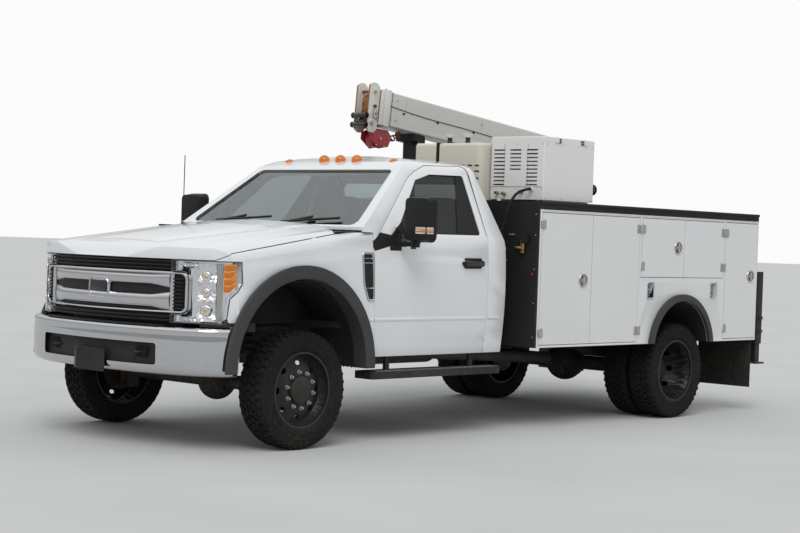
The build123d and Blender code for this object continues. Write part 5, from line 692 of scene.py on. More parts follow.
def tread_pitch():
    """Five blocks at the top of the tyre, each leaning and tapering as a moulded block does."""
    made = []
    for across, wide, long, lead, skew in BLOCKS:
        apart()
        bpy.ops.mesh.primitive_cube_add(size=1)
        cube = bpy.context.object
        for vertex in cube.data.vertices:
            top = vertex.co.z > 0
            y = vertex.co.y * wide * (0.92 if top else 1.06)
            drop = 0.004 if abs(across + y) > 0.09 and top else 0.0
            radius = (TREAD_R if top else BASE_R - 0.004) - drop
            angle = (lead + vertex.co.x * long * (0.92 if top else 1.04) + y * skew) / TREAD_R
            vertex.co = (radius * math.sin(angle), across + y, radius * math.cos(angle))
        made.append(settle(cube, tread_rubber, smooth=20))
    return merged(made)


pitch = tread_pitch()
CARCASS = [(0.2606, 0.000), (0.2606, 0.100), (0.266, 0.1065), (0.280, 0.1095), (0.288, 0.1120), (0.292, 0.1120),
           (0.296, 0.1105), (0.330, 0.1125), (0.333, 0.1128), (0.336, 0.1110), (0.360, 0.1105), (0.375, 0.1065),
           (0.3845, 0.1000), (0.3875, 0.0930), (0.3885, 0.060), (0.3885, 0.0)]
tyre = lathe(CARCASS + [(r, -y) for r, y in reversed(CARCASS[:-1])], (0, 0, 0), tread_rubber, 72)
parts = [tyre] + [copy_of(pitch, turn=2 * math.pi * turn / PITCHES) for turn in range(PITCHES)]
for across in (0.1045, -0.1045):
    for turn in range(PITCHES):
        lug = block((0.020, 0.010, 0.016), (0, across, 0.3795), tread_rubber, 0.0)
        lug.data.transform(Matrix.Rotation(2 * math.pi * (turn + 0.5) / PITCHES, 4, "Y"))
        parts.append(lug)
tyre = merged(parts)
bpy.data.objects.remove(pitch)
print("tyre faces", len(tyre.data.polygons))

# %% Wheels: the solid's rim, a tyre on each bead, and nuts on their studs
nut = rod(0.0155, 0.017, (0, 0, 0), zinc_steel, axis="Y", sides=6, edge=0.0015)
stud = rod(0.0085, 0.032, (0, 0.006, 0), zinc_steel, axis="Y", sides=12)
NUT_CIRCLE, NUTS = 0.1225, 10


def rim_copy(name, x):
    """The rim and hub of a wheel node, without its tyre, with its edges rounded."""
    obj = without(node_copy(name), "VERT", lambda v: math.hypot(v.co.x - x, v.co.z - AXLE_Z) > 0.2602, 1.5)
    settle(obj, wheel_black, 0.0018, 2, 32)
    obj.data.materials.append(hub_iron)
    for face in obj.data.polygons:
        face.material_index = 1 if math.hypot(face.center.x - x, face.center.z - AXLE_Z) < 0.100 else 0
    return obj


for label, middles in (("front_wheel", [0.950]), ("rear_wheels", [1.070, 0.810])):
    for side, word in SIDES:
        name = f"{label}_{word}"
        low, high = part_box(name)
        x = (low[0] + high[0]) / 2
        parts = [rim_copy(name, x)] + [copy_of(tyre, (x, side * y, AXLE_Z), 0.05 * side) for y in middles]
        for turn in range(NUTS):
            angle = 2 * math.pi * (turn + 0.3) / NUTS
            nut_x, nut_z = x + NUT_CIRCLE * math.cos(angle), AXLE_Z + NUT_CIRCLE * math.sin(angle)
            face = touch(name, (nut_x, side * 1.6, nut_z), (0, -side, 0))
            for part, out in ((nut, 0.0083), (stud, 0.012)):
                parts.append(copy_of(part, (nut_x, face.y + side * out, nut_z)))
        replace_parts(joined(parts, f"{name}_dressed", name), name)
for spare in (tyre, nut, stud):
    bpy.data.objects.remove(spare)
print("wheels done")

# %% [markdown]
# ## Curved sheets
# Grille bars, lamp lenses and the bumper are thin sheets bent to the nose. Each starts as a grid, and its
# points go where a small function says, along the sheet and across it. A wall is added afterwards.

# %% A grid bent to a rule
def bent(rule, along, across, material, thick=0.0, closed=False, smooth=40):
    """A sheet of along by across cells: rule(u, v) gives the place for u and v from 0 to 1."""
    apart()
    bpy.ops.mesh.primitive_grid_add(x_subdivisions=along, y_subdivisions=across, size=1)
    obj = bpy.context.object
    for vertex in obj.data.vertices:
        vertex.co = rule(vertex.co.x + 0.5, vertex.co.y + 0.5)
    edit(obj)
    if closed:
        bpy.ops.mesh.remove_doubles(threshold=0.00005)
    face_out()
    if thick:
        modified(obj, "SOLIDIFY", thickness=thick, offset=0)
    return settle(obj, material, smooth=smooth)


def through(points, t):
    """A smooth line through points, t from 0 to 1 (Catmull-Rom)."""
    last = len(points) - 1
    spot = min(max(t, 0.0), 1.0) * last
    index = min(int(spot), last - 1)
    f = spot - index
    a, b, c, d = (Vector(points[min(max(index + k, 0), last)]) for k in (-1, 0, 1, 2))
    return 0.5 * (2 * b + (c - a) * f + (2 * a - 5 * b + 4 * c - d) * f * f + (3 * b - a - 3 * c + d) * f ** 3)


def between(pairs, t):
    """Straight steps through (place, value) pairs."""
    for (a, va), (b, vb) in zip(pairs, pairs[1:]):
        if t <= b:
            return va + (vb - va) * (t - a) / (b - a)
    return pairs[-1][1]


NOSE_X, NOSE_BEND = 3.288, 2.02


def nose(y):
    """How far forward the nose stands at y, over the grille's width."""
    return NOSE_X - NOSE_BEND + math.sqrt(NOSE_BEND ** 2 - y * y)


# %% [markdown]
# ## Grille
# Two broad bright bars flare towards the ends of a rounded frame. Their faces are crowned, so that the top of
# each mirrors the sky and its underside the ground, which is what makes bright metal read as metal. The block
# in the middle stays plain.

# %% Grille frame and bars
FRAME_MID, FRAME_WIDE, FRAME_HIGH = 1.038, 1.520, 0.284
BAR_CROWN = [(0.0, 0.0), (0.10, 0.014), (0.30, 0.021), (0.62, 0.024), (0.88, 0.020), (1.0, 0.004)]
# Bars: low and high edges in the middle, then at the ends
BARS = [(1.084, 1.154, 1.062, 1.166), (0.938, 1.022, 0.914, 1.040)]
BAR_HALF, FLARE_FROM = 0.612, 0.47


def bar_rule(low, high, end_low, end_high):
    def rule(u, v):
        y = BAR_HALF * (2 * u - 1)
        flare = max(0.0, (abs(y) - FLARE_FROM) / (BAR_HALF - FLARE_FROM))
        bottom, top = low + (end_low - low) * flare, high + (end_high - high) * flare
        sink = 0.010 * flare
        return (nose(y) - 0.0275 + between(BAR_CROWN, v) - sink, y, bottom + (top - bottom) * v)
    return rule


def loop_points(wide, high, radius, straight=26, corner=7):
    """A rounded rectangle as a closed list of points, close together along its straight sides too."""
    points = []
    w, h = wide / 2 - radius, high / 2 - radius
    sides = [((w, -h), (w, h), 0), ((w, h), (-w, h), 90), ((-w, h), (-w, -h), 180), ((-w, -h), (w, -h), 270)]
    for (ax, ay), (bx, by), turn in sides:
        out = (math.cos(math.radians(turn)) * radius, math.sin(math.radians(turn)) * radius)
        for step in range(straight):
            t = step / straight
            points.append((ax + (bx - ax) * t + out[0], ay + (by - ay) * t + out[1]))
        for step in range(corner):
            angle = math.radians(turn + 90 * step / corner)
            points.append((bx + radius * math.cos(angle), by + radius * math.sin(angle)))
    return points + points[:1]


def loop_rule(outer, inner, middle, crown, back):
    """A crowned band between two closed outlines, following the nose."""
    def rule(u, v):
        index = round(u * (len(outer) - 1))
        y = outer[index][0] + (inner[index][0] - outer[index][0]) * v
        z = middle + outer[index][1] + (inner[index][1] - outer[index][1]) * v
        return (nose(y) - back + between(crown, v), y, z)
    return rule


RIM_CROWN = [(0.0, 0.0), (0.15, 0.014), (0.45, 0.022), (0.75, 0.019), (1.0, 0.0)]
outer = loop_points(FRAME_WIDE - 0.001, FRAME_HIGH - 0.001, 0.055)
inner = loop_points(FRAME_WIDE - 0.070, FRAME_HIGH - 0.050, 0.034)
parts = [bent(loop_rule(outer, inner, FRAME_MID, RIM_CROWN, 0.0245), len(outer) - 1, 8, bright_chrome, 0.002, True)]
for numbers in BARS:
    parts.append(bent(bar_rule(*numbers), 60, 12, bright_chrome, 0.002))
for side in (1, -1):
    parts.append(bent(lambda u, v: (nose(0.632) - 0.0205 + between(RIM_CROWN, v) * 0.9, side * (0.619 + 0.026 * v),
                                    FRAME_MID - 0.120 + 0.240 * u), 12, 6, bright_chrome, 0.002))
outer = loop_points(0.215, 0.145, 0.045, 10)
inner = loop_points(0.185, 0.115, 0.034, 10)
parts.append(bent(loop_rule(outer, inner, FRAME_MID + 0.008, RIM_CROWN, 0.0235), len(outer) - 1, 6, bright_chrome,
                  0.002, True))
parts.append(plate(rounded_outline(0.190, 0.120, 0.036, 6), 0.012, (nose(0) - 0.0245, 0, FRAME_MID + 0.008),
                   trim_black, "X", 0.003))
grille = joined(parts, "grille_bright", "chassis")
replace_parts(grille, "grille_frame")
print("grille faces", len(grille.data.polygons))

# Fine bright lines on the leading edges of the dark slats over and under the frame: painted highlights, thin grey
# strips that stand for the light caught by those edges
parts = []
for z in (1.193, 1.217, 1.241, 0.857, 0.881):
    lean = 0.002 + max(0.0, z - 1.2) * 0.12
    parts.append(bent(lambda u, v: (nose(1.26 * u - 0.63) - 0.0285 - lean + 0.003 * math.sin(math.pi * v),
                                    1.26 * u - 0.63, z + 0.0032 * (v - 0.5)), 40, 4, cast_grey, 0.001))
joined(parts, "grille_slat_painted_highlights", "chassis")

# %% [markdown]
# ## Headlamps
# The solid lamp gives only its outer skin: those faces are copied, and become a clear lens. Behind it stand a
# bright faceted reflector, a plain bright strip beside it, and the amber side lamp with its ribs. The corner of
# the truck is almost round in plan, so lamp parts are placed by an angle about a post inside the fender.

# %% Lens skin, and a way to find the corner's surface
POST = Vector((2.70, 0.62))


def corner(name, angle, z, out=0.0, side=1):
    """The place on a node's skin at an angle from straight ahead, at height z, and out metres off it."""
    way = Vector((math.cos(math.radians(angle)), side * math.sin(math.radians(angle)), 0))
    middle = Vector((POST.x, side * POST.y, z))
    spot = touch(name, middle + way * 1.2, -way)
    return (spot if spot is not None else middle + way * 0.42) + way * out


def lamp_skin(side):
    """The outer faces of one headlamp solid, as a single sheet."""
    out = Vector((0.75, 0.66 * side, 0.0))
    obj = without(node_copy("headlamps"), "FACE", lambda f: f.center.y * side < 0 or f.normal.dot(out) < 0.45)
    edit(obj)
    bpy.ops.mesh.dissolve_limited(angle_limit=math.radians(0.8))
    bpy.ops.mesh.quads_convert_to_tris()
    apart()
    return obj


def inset_copy(obj, depth):
    """The same sheet pushed back along its normals."""
    made = copy_of(obj)
    edit(made)
    bpy.ops.transform.shrink_fatten(value=-depth)
    apart()
    return made


def edge_line(obj, radius, material):
    """A round seal along the open edges of a sheet."""
    edit(obj)
    bpy.ops.mesh.region_to_loop()
    bpy.ops.mesh.select_all(action="INVERT")
    bpy.ops.mesh.delete(type="EDGE")
    bpy.ops.object.mode_set(mode="OBJECT")
    bpy.ops.object.convert(target="CURVE")
    line = bpy.context.object
    line.data.bevel_depth, line.data.bevel_resolution = radius, 2
    bpy.ops.object.convert(target="MESH")
    return settle(bpy.context.object, material, smooth=60)


# %% Reflectors, strip and amber side lamp
LAMP_LOW, LAMP_HIGH = 0.853, 1.242


def facets(side, first, last, low, high, deep):
    """A bright sheet broken into small facets, between two angles and two heights."""
    jitter = {}

    def rule(u, v):
        key = (round(u * 1000), round(v * 1000))
        jitter.setdefault(key, random.uniform(-0.5, 0.5))
        row = math.sin(v * math.pi * 3) ** 2
        return corner("headlamps", first + (last - first) * u, low + (high - low) * v,
                      -deep - 0.012 * row - 0.006 * jitter[key], side)
    return bent(rule, max(3, int(abs(last - first) / 1.3)), int((high - low) / 0.0125), lamp_housing, smooth=1)


for side, label in SIDES:
    skin = lamp_skin(side)
    behind = settle(modified(inset_copy(skin, 0.034), "SOLIDIFY", thickness=0.003), lamp_housing, smooth=20)
    rim = edge_line(copy_of(skin), 0.0040, lamp_dark)
    lens = settle(skin, lens_clear, smooth=25)
    parts = [behind, rim]
    parts.append(facets(side, 24.5, 40.6, LAMP_LOW + 0.008, LAMP_HIGH - 0.010, 0.012))
    parts.append(facets(side, 9.0, 23.5, 1.206, LAMP_HIGH - 0.006, 0.010))
    parts.append(facets(side, 9.0, 23.5, LAMP_LOW + 0.004, 0.884, 0.010))
    for z, size in ((1.150, 0.036), (1.045, 0.033), (0.930, 0.040)):
        middle = corner("headlamps", 32.0, z, -0.010, side)
        bulb = rod(size, 0.012, (0, 0, 0), lamp_housing, "X", 28, 0.004, tip=size * 0.8)
        cap = rod(size * 0.34, 0.018, (0.004, 0, 0), warm_bulb, "X", 20, 0.004)
        for made in (bulb, cap):
            made.data.transform(Matrix.Rotation(math.radians(30 * side), 4, "Z"))
            made.data.transform(Matrix.Translation(middle))
            parts.append(made)
    parts.append(bent(lambda u, v: corner("headlamps", 41.4 + 4.8 * u, LAMP_LOW + 0.006 + 0.376 * v,
                                          -0.005 - 0.004 * abs(math.sin(3 * math.pi * u)), side), 18, 20,
                      handle_steel, smooth=30))
    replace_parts(joined(parts, f"headlamp_units_{label}", "chassis"), "headlamps")
    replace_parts(joined([lens], f"headlamp_lens_{label}", "chassis"), "headlamps")

    def amber_rule(u, v):
        angle = 46.9 + 10.4 * u
        low = 1.052 + 0.045 * max(0.0, (u - 0.45) / 0.55)
        z = low + (1.234 - low) * v
        rib = abs(math.sin(4 * math.pi * v))
        return corner("headlamps", angle, z, 0.0005 + 0.005 * rib ** 0.5, side)

    amber = bent(amber_rule, 14, 64, lens_amber, smooth=50)
    joined([amber], f"side_lamp_amber_{label}", "chassis")
    # The dark line between the lamp and the bumper
    seal = bent(lambda u, v: corner("fenders", 27.0 + 50 * u, 0.797 + 0.058 * v, 0.0018, side), 48, 6, soft_rubber)
    joined([seal], f"lamp_seal_{label}", "chassis")
print("lamps done")

# %% [markdown]
# ## Front bumper
# A pressed bumper has a flat shelf on top, a tight roll, a slightly crowned face and a roll under, and its
# lower lip is where the rust starts. A single section is carried along the line of the bumper seen from above.

# %% Bumper pressing
BUMPER_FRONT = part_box("front_bumper")[1][0]
BUMPER_LINE = [(0, 0), (-0.0045, 0.165), (-0.018, 0.33), (-0.041, 0.49), (-0.074, 0.64), (-0.117, 0.77), (-0.170, 0.88),
               (-0.245, 0.962), (-0.330, 1.008), (-0.418, 1.013)]
# Section: distance in from the face, height
BUMPER_SECTION = [(0.110, 0.8145), (0.060, 0.8148), (0.022, 0.8135), (0.008, 0.806), (0.0015, 0.792), (0.0030, 0.770),
                  (0.0010, 0.735), (0.0005, 0.680), (0.0010, 0.620), (0.0030, 0.570), (0.010, 0.535), (0.026, 0.512),
                  (0.050, 0.504)]


def bumper_rule(u, v):
    t = abs(2 * u - 1)
    side = 1 if u > 0.5 else -1
    here, near = through(BUMPER_LINE, t), through(BUMPER_LINE, min(t + 0.02, 1.0))
    back = through(BUMPER_LINE, max(t - 0.02, 0.0))
    run = Vector((near.x - back.x, near.y - back.y)).normalized()
    depth, z = through(BUMPER_SECTION, v)
    depth *= 1.0 if t < 0.75 else 1.0 - 0.5 * (t - 0.75) / 0.25
    return (BUMPER_FRONT + here.x - run.y * depth, side * (here.y + run.x * depth), z)


chrome_shell = bent(bumper_rule, 96, 30, bumper_chrome, 0.003)
cutter = block((0.30, 1.196, 0.142), (BUMPER_FRONT - 0.05, 0, 0.636), bumper_chrome, 0.020, steps=3)
modified(chrome_shell, "BOOLEAN", object=cutter, solver="EXACT")
bpy.data.objects.remove(cutter)
pick(chrome_shell)
bpy.ops.object.shade_smooth_by_angle(angle=math.radians(35))
rust_lip = finish("rusty lip", (0.30, 0.16, 0.08), 0.75, drift=0.5, rust=0.9, streaks=0.4, rust_scale=14.0, grain=160)
chrome_shell.data.materials.append(rust_lip)
for face in chrome_shell.data.polygons:
    face.material_index = 1 if face.center.z < 0.5085 else 0
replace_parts(joined([chrome_shell], "bumper_pressing", "chassis"), "front_bumper")

# %% [markdown]
# ## Service body
# The side cabinets are read by their small parts: rubber showing in each door gap, hinges with bolted leaves,
# round folding handles in dished cups, and the latch pockets beside the wheel arch. Each sort is modelled
# once as a set of parts and set out from a short table.

# %% Door table, hinges and handles
BODY_SIDE = 1.205
# Doors: letter, front x, rear x, low z, high z, hinged in front, handle x and z
DOORS = [("a", 0.014, -0.633, 0.662, 1.674, True, -0.526, 1.160), ("b", -0.638, -1.284, 0.662, 1.674, False, None, 0),
         ("c", -1.322, -1.943, 1.192, 1.674, True, -1.850, 1.440), ("d", -1.948, -2.562, 1.192, 1.674, False, None, 0),
         ("e", -2.598, -3.119, 0.662, 1.674, True, -3.020, 1.210)]
POCKET_Z = 1.082


def bolt(place, axis, radius=0.0042):
    """A low round-headed bolt."""
    return rod(radius, 0.003, place, zinc_steel, axis, 10, 0.0008)


def hinge_leaf(x, z, side):
    """A pressed leaf with two bolts, lying on the body's side."""
    return [block((0.030, 0.003, 0.072), (x, side * (BODY_SIDE + 0.0016), z), zinc_steel, 0.0012)] + [
        bolt((x, side * (BODY_SIDE + 0.0042), z + dz), "Y") for dz in (-0.022, 0.022)]


def round_handle(x, z, side):
    """A folding T handle in a dished round cup with a bright rim, and a black ring in the dish as painted shade."""
    y = side * BODY_SIDE
    cup = [(0.0, 0.0015), (0.030, 0.002), (0.040, 0.004), (0.0465, 0.0075), (0.050, 0.0095), (0.0535, 0.0085),
           (0.0560, 0.0050), (0.0565, 0.0004)]
    dish = lathe([(r, side * d) for r, d in cup], (x, y, z), handle_steel, 40)
    bar = plate([(-0.0075, -0.036), (0.0075, -0.036), (0.0105, 0.0), (0.0075, 0.036), (-0.0075, 0.036), (-0.0105, 0.0)],
                side * 0.0075, (x, y + side * 0.003, z), handle_steel, "Y", 0.0025)
    cross = block((0.052, 0.0065, 0.013), (x, y + side * 0.0065, z), handle_steel, 0.0025)
    lock = rod(0.0085, 0.006, (x, y + side * 0.0118, z), zinc_steel, "Y", 20, 0.0012)
    # A thin black ring on the slope of the dish: painted shade in the cup
    shade = ring(0.0405, 0.0022, (x, y + side * 0.0062, z), trim_black)
    return [dish, bar, cross, lock, shade]


for side, word in SIDES:
    fixed = []
    for letter, front, rear, low, high, front_hinged, handle_x, handle_z in DOORS:
        parts = []
        pin = front + 0.0025 if front_hinged else rear - 0.0025
        inward = -1 if front_hinged else 1
        for z in (low + 0.090, high - 0.090):
            parts += hinge_leaf(pin + inward * 0.026, z, side)
            if letter in "bd":
                fixed += hinge_leaf(pin - inward * 0.026, z, side)
        if handle_x is not None:
            parts += round_handle(handle_x, handle_z, side)
        # Rubber edging that shows in the gap round the door
        y = side * (BODY_SIDE - 0.010)
        for x in (front + 0.0012, rear - 0.0012):
            parts.append(block((0.0024, 0.012, high - low - 0.004), (x, y, (low + high) / 2), soft_rubber, 0.0008))
        for z in (low - 0.0012, high + 0.0012):
            parts.append(block((front - rear, 0.012, 0.0024), ((front + rear) / 2, y, z), soft_rubber, 0.0008))
        joined(parts, f"door_{letter}_{word}_fittings", f"door_{letter}_{word}")

    # Latch pockets beside the wheel arch: a bright frame, hose reel ends and coloured couplings inside
    for x, tint, tag in ((-1.460, (0.02, 0.09, 0.42), "front"), (-2.415, (0.01, 0.25, 0.12), "rear")):
        y = side * (BODY_SIDE + 0.0042)
        frame_outer, frame_inner = loop_points(0.102, 0.142, 0.017, 6), loop_points(0.080, 0.120, 0.009, 6)
        spots = len(frame_outer) - 1
        fixed.append(bent(lambda u, v: (
            x + frame_outer[round(u * spots)][0] * (1 - v) + frame_inner[round(u * spots)][0] * v,
            y + side * 0.004 * math.sin(math.pi * v),
            POCKET_Z + frame_outer[round(u * spots)][1] * (1 - v) + frame_inner[round(u * spots)][1] * v),
            spots, 5, handle_steel, 0.0015, True))
        coupling = finish(f"coupling {tag} {word}", tint, 0.35, coat=0.3, drift=0.2)
        inside = side * (BODY_SIDE - 0.022)
        for dz, r in ((0.030, 0.016), (-0.018, 0.019)):
            fixed.append(rod(r, 0.018, (x - 0.010, inside, POCKET_Z + dz), coupling, "Y", 24, 0.002))
            fixed.append(rod(r * 0.6, 0.028, (x - 0.010, inside, POCKET_Z + dz), handle_steel, "Y", 6, 0.0015))
        fixed.append(block((0.064, 0.010, 0.020), (x, inside, 1.040), handle_steel, 0.003))
    # A drip rail over the doors, and a rub rail under them on each side of the wheel arch
    for long, x, z, high in ((3.176, -1.545, 1.6935, 0.009), (1.500, -0.707, 0.6445, 0.007),
                             (0.726, -2.770, 0.6445, 0.007)):
        fixed.append(block((long, 0.004, high), (x, side * (BODY_SIDE + 0.0018), z), body_white, 0.0015))
    joined(fixed, f"cabinet_{word}_fittings", "chassis")

# %% [markdown]
# ## Under the fenders
# Seen through the wheel arches a truck is black inside: a moulded liner hides the engine bay. It is an arch
# with a wall at its inner side, made wide enough for the wheels to steer.

# %% Wheel liners
ARCH_MID_X, ARCH_MID_Z, ARCH_RADIUS = 2.348, 0.546, 0.603


def arch_point(t):
    """A point of the opening's line: up its rear side, round its top and down its front, t from 0 to 1."""
    angle = math.pi * t
    return (ARCH_MID_X - ARCH_RADIUS * math.cos(angle), ARCH_MID_Z - 0.02 + ARCH_RADIUS * math.sin(angle))


for side, word in SIDES:
    roof = bent(lambda u, v: (arch_point(u)[0], side * (0.560 + 0.372 * v),
                              arch_point(u)[1] + 0.004 * math.sin(60 * v)),
                48, 24, black_moulding, 0.004)
    wall = bent(lambda u, v: (ARCH_MID_X + (arch_point(u)[0] - ARCH_MID_X) * max(v, 0.02), side * 0.562,
                              0.815 + (max(arch_point(u)[1], 0.815) - 0.815) * v), 48, 8, black_moulding, 0.004)
    # The splash panel at the front of the wheel well
    splash = bent(lambda u, v: (2.945 + 0.020 * math.sin(math.pi * v), side * (0.60 + 0.436 * u), 0.512 + 0.32 * v),
                  8, 10, soft_rubber, 0.004)
    joined([roof, wall, splash], f"wheel_liner_{word}", "chassis")


def under_rule(c, n):
    """The hood's underside, the fenders' inner faces and their lower front corners."""
    beneath = n.z < -0.35 and c.z > 1.0 and c.x < 3.2 and abs(c.y) < 1.0
    inner_face = n.y * (1 if c.y > 0 else -1) < -0.3 and c.x > 1.7
    return 1 if beneath or inner_face or (c.z < 0.865 and c.x > 2.88) else 0


for name in ("hood", "fenders"):
    wear(name, [cab_white, frame_black], under_rule)

# %% [markdown]
# ## Compressor cabinet and tank
# The cabinet is sheet metal with folded edges, so it shows screws along its seams, rubber latches on its lid
# and brass fittings low on its front. The tank beside it is moulded, with slots, a strap and two fillers.

# %% Cabinet fittings
brass = finish("brass", (0.55, 0.38, 0.14), 0.35, metal=1.0, drift=0.3, rust=0.1, grain=260, bump=0.0002)
FRONT_X, OUT_Y = -0.065, 1.135
parts = [bolt((FRONT_X + 0.0014, y, z), "X") for z in (1.790, 1.860, 2.205) for y in (0.618, 0.870, 1.122)]
parts += [bolt((x, OUT_Y + 0.0014, z), "Y") for x in (-0.10, -0.30, -0.50, -0.68) for z in (1.790, 2.205)]
# A fold across the front over the fittings, drawn as a thin black line of painted shade, and two seams that divide the
# panel above it
parts.append(block((0.003, 0.500, 0.0022), (FRONT_X + 0.0012, 0.870, 1.874), black_moulding, 0.0006))
for y in (0.745, 0.975):
    parts.append(block((0.0018, 0.0020, 0.330), (FRONT_X + 0.0008, y, 2.045), cast_grey, 0.0004))
for y, z in ((0.690, 1.826), (0.760, 1.820), (0.930, 1.836)):
    parts.append(rod(0.016, 0.014, (FRONT_X + 0.007, y, z), zinc_steel, "X", 6, 0.0015))
    parts.append(rod(0.010, 0.040, (FRONT_X + 0.020, y, z), brass, "X", 20, 0.0015))
    parts.append(rod(0.0135, 0.012, (FRONT_X + 0.034, y, z), brass, "X", 6, 0.0012))
parts.append(rod(0.0175, 0.020, (-0.052, 1.025, 1.857), zinc_steel, "X", 6, 0.002))
joined(parts, "compressor_fittings", "chassis")

parts = []
for x in (-0.255, -0.545):
    parts.append(block((0.030, 0.007, 0.026), (x, 1.139, 2.243), trim_black, 0.003))
    parts.append(block((0.022, 0.006, 0.018), (x, 1.1395, 2.2285), soft_rubber, 0.003))
    parts.append(rod(0.0045, 0.034, (x, 1.1428, 2.2345), zinc_steel, "X", 12, 0.001))
for x in (-0.12, -0.66):
    parts.append(block((0.060, 0.090, 0.002), (x, 0.66, 2.2645), compressor_white, 0.0008))
joined(parts, "compressor_lid_latches", "compressor_lid")

# %% Tank: slots, strap and fillers
TANK_X = -0.086
parts = []
# Each slot is a thin black plate on the tank's face: painted shade of the opening
for row, (y, z) in enumerate([(y, z) for z in (2.035, 1.990, 1.935, 1.880) for y in (0.405, 0.478, 0.548)]):
    slot_shade_outline = rounded_outline(0.052 if row % 2 else 0.044, 0.013, 0.0062, 4)
    parts.append(plate(slot_shade_outline, 0.0016, (0.0385, y, z), trim_black, "X", 0.0006))
parts.append(bent(lambda u, v: (TANK_X + 0.1262 * math.cos(math.pi * u), 0.120 + 0.034 * v,
                                2.2165 if 0.04 < u < 0.96 else 2.00), 40, 3, soft_rubber, 0.0025))
for y in (0.152, 0.342):
    parts.append(rod(0.0215, 0.020, (TANK_X, y, 2.2265), trim_black, "Z", 24, 0.002))
    parts.append(rod(0.0195, 0.030, (TANK_X, y, 2.250), trim_black, "Z", 24, 0.002))
    for turn in range(18):
        angle = 2 * math.pi * turn / 18
        spot = (TANK_X + 0.0340 * math.cos(angle), y + 0.0340 * math.sin(angle), 2.2795)
        parts.append(block((0.004, 0.006, 0.026), spot, tank_cream, 0.001, (0, 0, angle)))
joined(parts, "tank_fittings", "chassis")

# %% Bulkhead: brass valves, a marker and cable clips on the black panel behind the cab
parts = [block((0.030, 0.034, high), (0.085, 1.080, z), brass, 0.004) for z, high in ((1.420, 0.090), (1.375, 0.030))]
parts.append(rod(0.012, 0.060, (0.100, 1.045, 1.400), brass, "Y", 18, 0.002))
parts.append(rod(0.015, 0.012, (0.0765, 0.893, 1.385), brass, "X", 6, 0.0015))
for y, z in ((0.893, 1.30), (0.960, 1.50)):
    parts.append(block((0.016, 0.050, 0.014), (0.078, y, z), zinc_steel, 0.002))
parts.append(rod(0.011, 0.006, (0.0735, 1.165, 1.205), lens_red, "X", 20, 0.002))
parts += [bolt((0.0718, side * 1.185, z), "X", 0.006) for side in (1, -1) for z in (0.72, 0.98, 1.24, 1.50, 1.66)]
joined(parts, "bulkhead_fittings", "chassis")

# %% [markdown]
# ## Crane
# The boom's finish is worn: rust along its lower edges, a clamped cable along its side, bolted wear pads at
# the end of each section, and a red hook block hauled up under its head. Pieces ride on the section they
# are bolted to, so that they slide with it.

# %% Boom details, laid out along the boom's own line
BOOM_PIVOT, BOOM_LEAN, BOOM_Y = Vector((-2.985, 0, 2.282)), math.radians(5.9), -0.935
PLATE_OUT = Vector((math.cos(BOOM_LEAN), 0, math.sin(BOOM_LEAN)))
PLATE_UP = Vector((-math.sin(BOOM_LEAN), 0, math.cos(BOOM_LEAN)))


def on_boom(out, up, y=0.0):
    """A place given along the boom, up from its middle line and across it."""
    return BOOM_PIVOT + PLATE_OUT * out + PLATE_UP * up + Vector((0, BOOM_Y + y, 0))


def boom_block(size, out, up, y, material, edge=0.002):
    """A block that leans as the boom does."""
    return block(size, on_boom(out, up, y), material, edge, (0, -BOOM_LEAN, 0))


tip = (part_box("main_boom")[1][0] - BOOM_PIVOT.x) / math.cos(BOOM_LEAN)
parts = []
for side in (1, -1):
    # Wear pad screws near the end of the outer section, top and bottom
    for out in (tip - 0.10, tip - 0.165):
        for up in (0.085, -0.085):
            parts.append(rod(0.0085, 0.004, on_boom(out, up, side * 0.1015), zinc_steel, "Y", 12, 0.001))
    parts.append(boom_block((0.030, 0.006, 0.300), tip - 0.018, 0.0, side * 0.1035, crane_white, 0.002))
# A thin control cable clamped along the driver's side
CABLE = [(0.35, -0.040), (0.9, -0.012), (1.6, 0.006), (2.2, 0.000), (tip - 0.04, 0.030)]
parts.append(pipe([on_boom(out, up, 0.1035) for out, up in CABLE], 0.0035, trim_black, 8))
for out in (0.45, 0.95, 1.45, 1.95, 2.40):
    parts.append(boom_block((0.020, 0.010, 0.016), out, -0.010, 0.1035, black_moulding, 0.002))
for out in (0.55, 0.85):
    parts.append(boom_block((0.26, 0.004, 0.055), out, -0.118, 0.1015, crane_white, 0.001))
joined(parts, "main_boom_details", "main_boom")

# %% [markdown]
# ## Door glass, handles and trim
# Behind the door's window, inside its frame, a black panel fills the rear corner, and a rubber seal runs round
# the glass. Both are made from the glass's own outer skin, cut by a leaning plane where the panel ends.

# %% Black corner panel, division bar and seals
def glass_skin(name, out):
    """The faces of a glass node that look outwards, as a single sheet."""
    way = Vector(out).normalized()
    return without(node_copy(name), "FACE", lambda face: face.normal.dot(way) < 0.7)


def cut_off(obj, place, way):
    """Cuts a sheet with a plane and drops the side that the plane's normal points to."""
    edit(obj)
    bpy.ops.mesh.bisect(plane_co=place, plane_no=way, clear_outer=True)
    apart()
    return obj


for side, label in SIDES:
    name = f"door_glass_{label}"
    out = (0, 0.91 * side, 0.42)
    panel = cut_off(glass_skin(name, out), (0.730, 0, 1.495), (0.92, 0, 0.39))
    panel.data.transform(Matrix.Translation((0, 0.0035 * side, 0.0016)))
    panel = settle(modified(panel, "SOLIDIFY", thickness=0.003), black_moulding, smooth=25)
    parts = [panel, edge_line(glass_skin(name, out), 0.0065, soft_rubber)]
    for foot, head, thick in ((0.722, 0.545, 0.0075), (0.655, 0.500, 0.004)):
        ends = [on_side(name, side, x, z) for x, z in ((foot, 1.400), ((foot + head) / 2, 1.66), (head, 1.905))]
        if all(end is not None for end in ends):
            parts.append(pipe([end + Vector((0, 0.0045 * side, 0.001)) for end in ends], thick, soft_rubber, 8))
    joined(parts, f"{name}_trim", f"door_{label}")
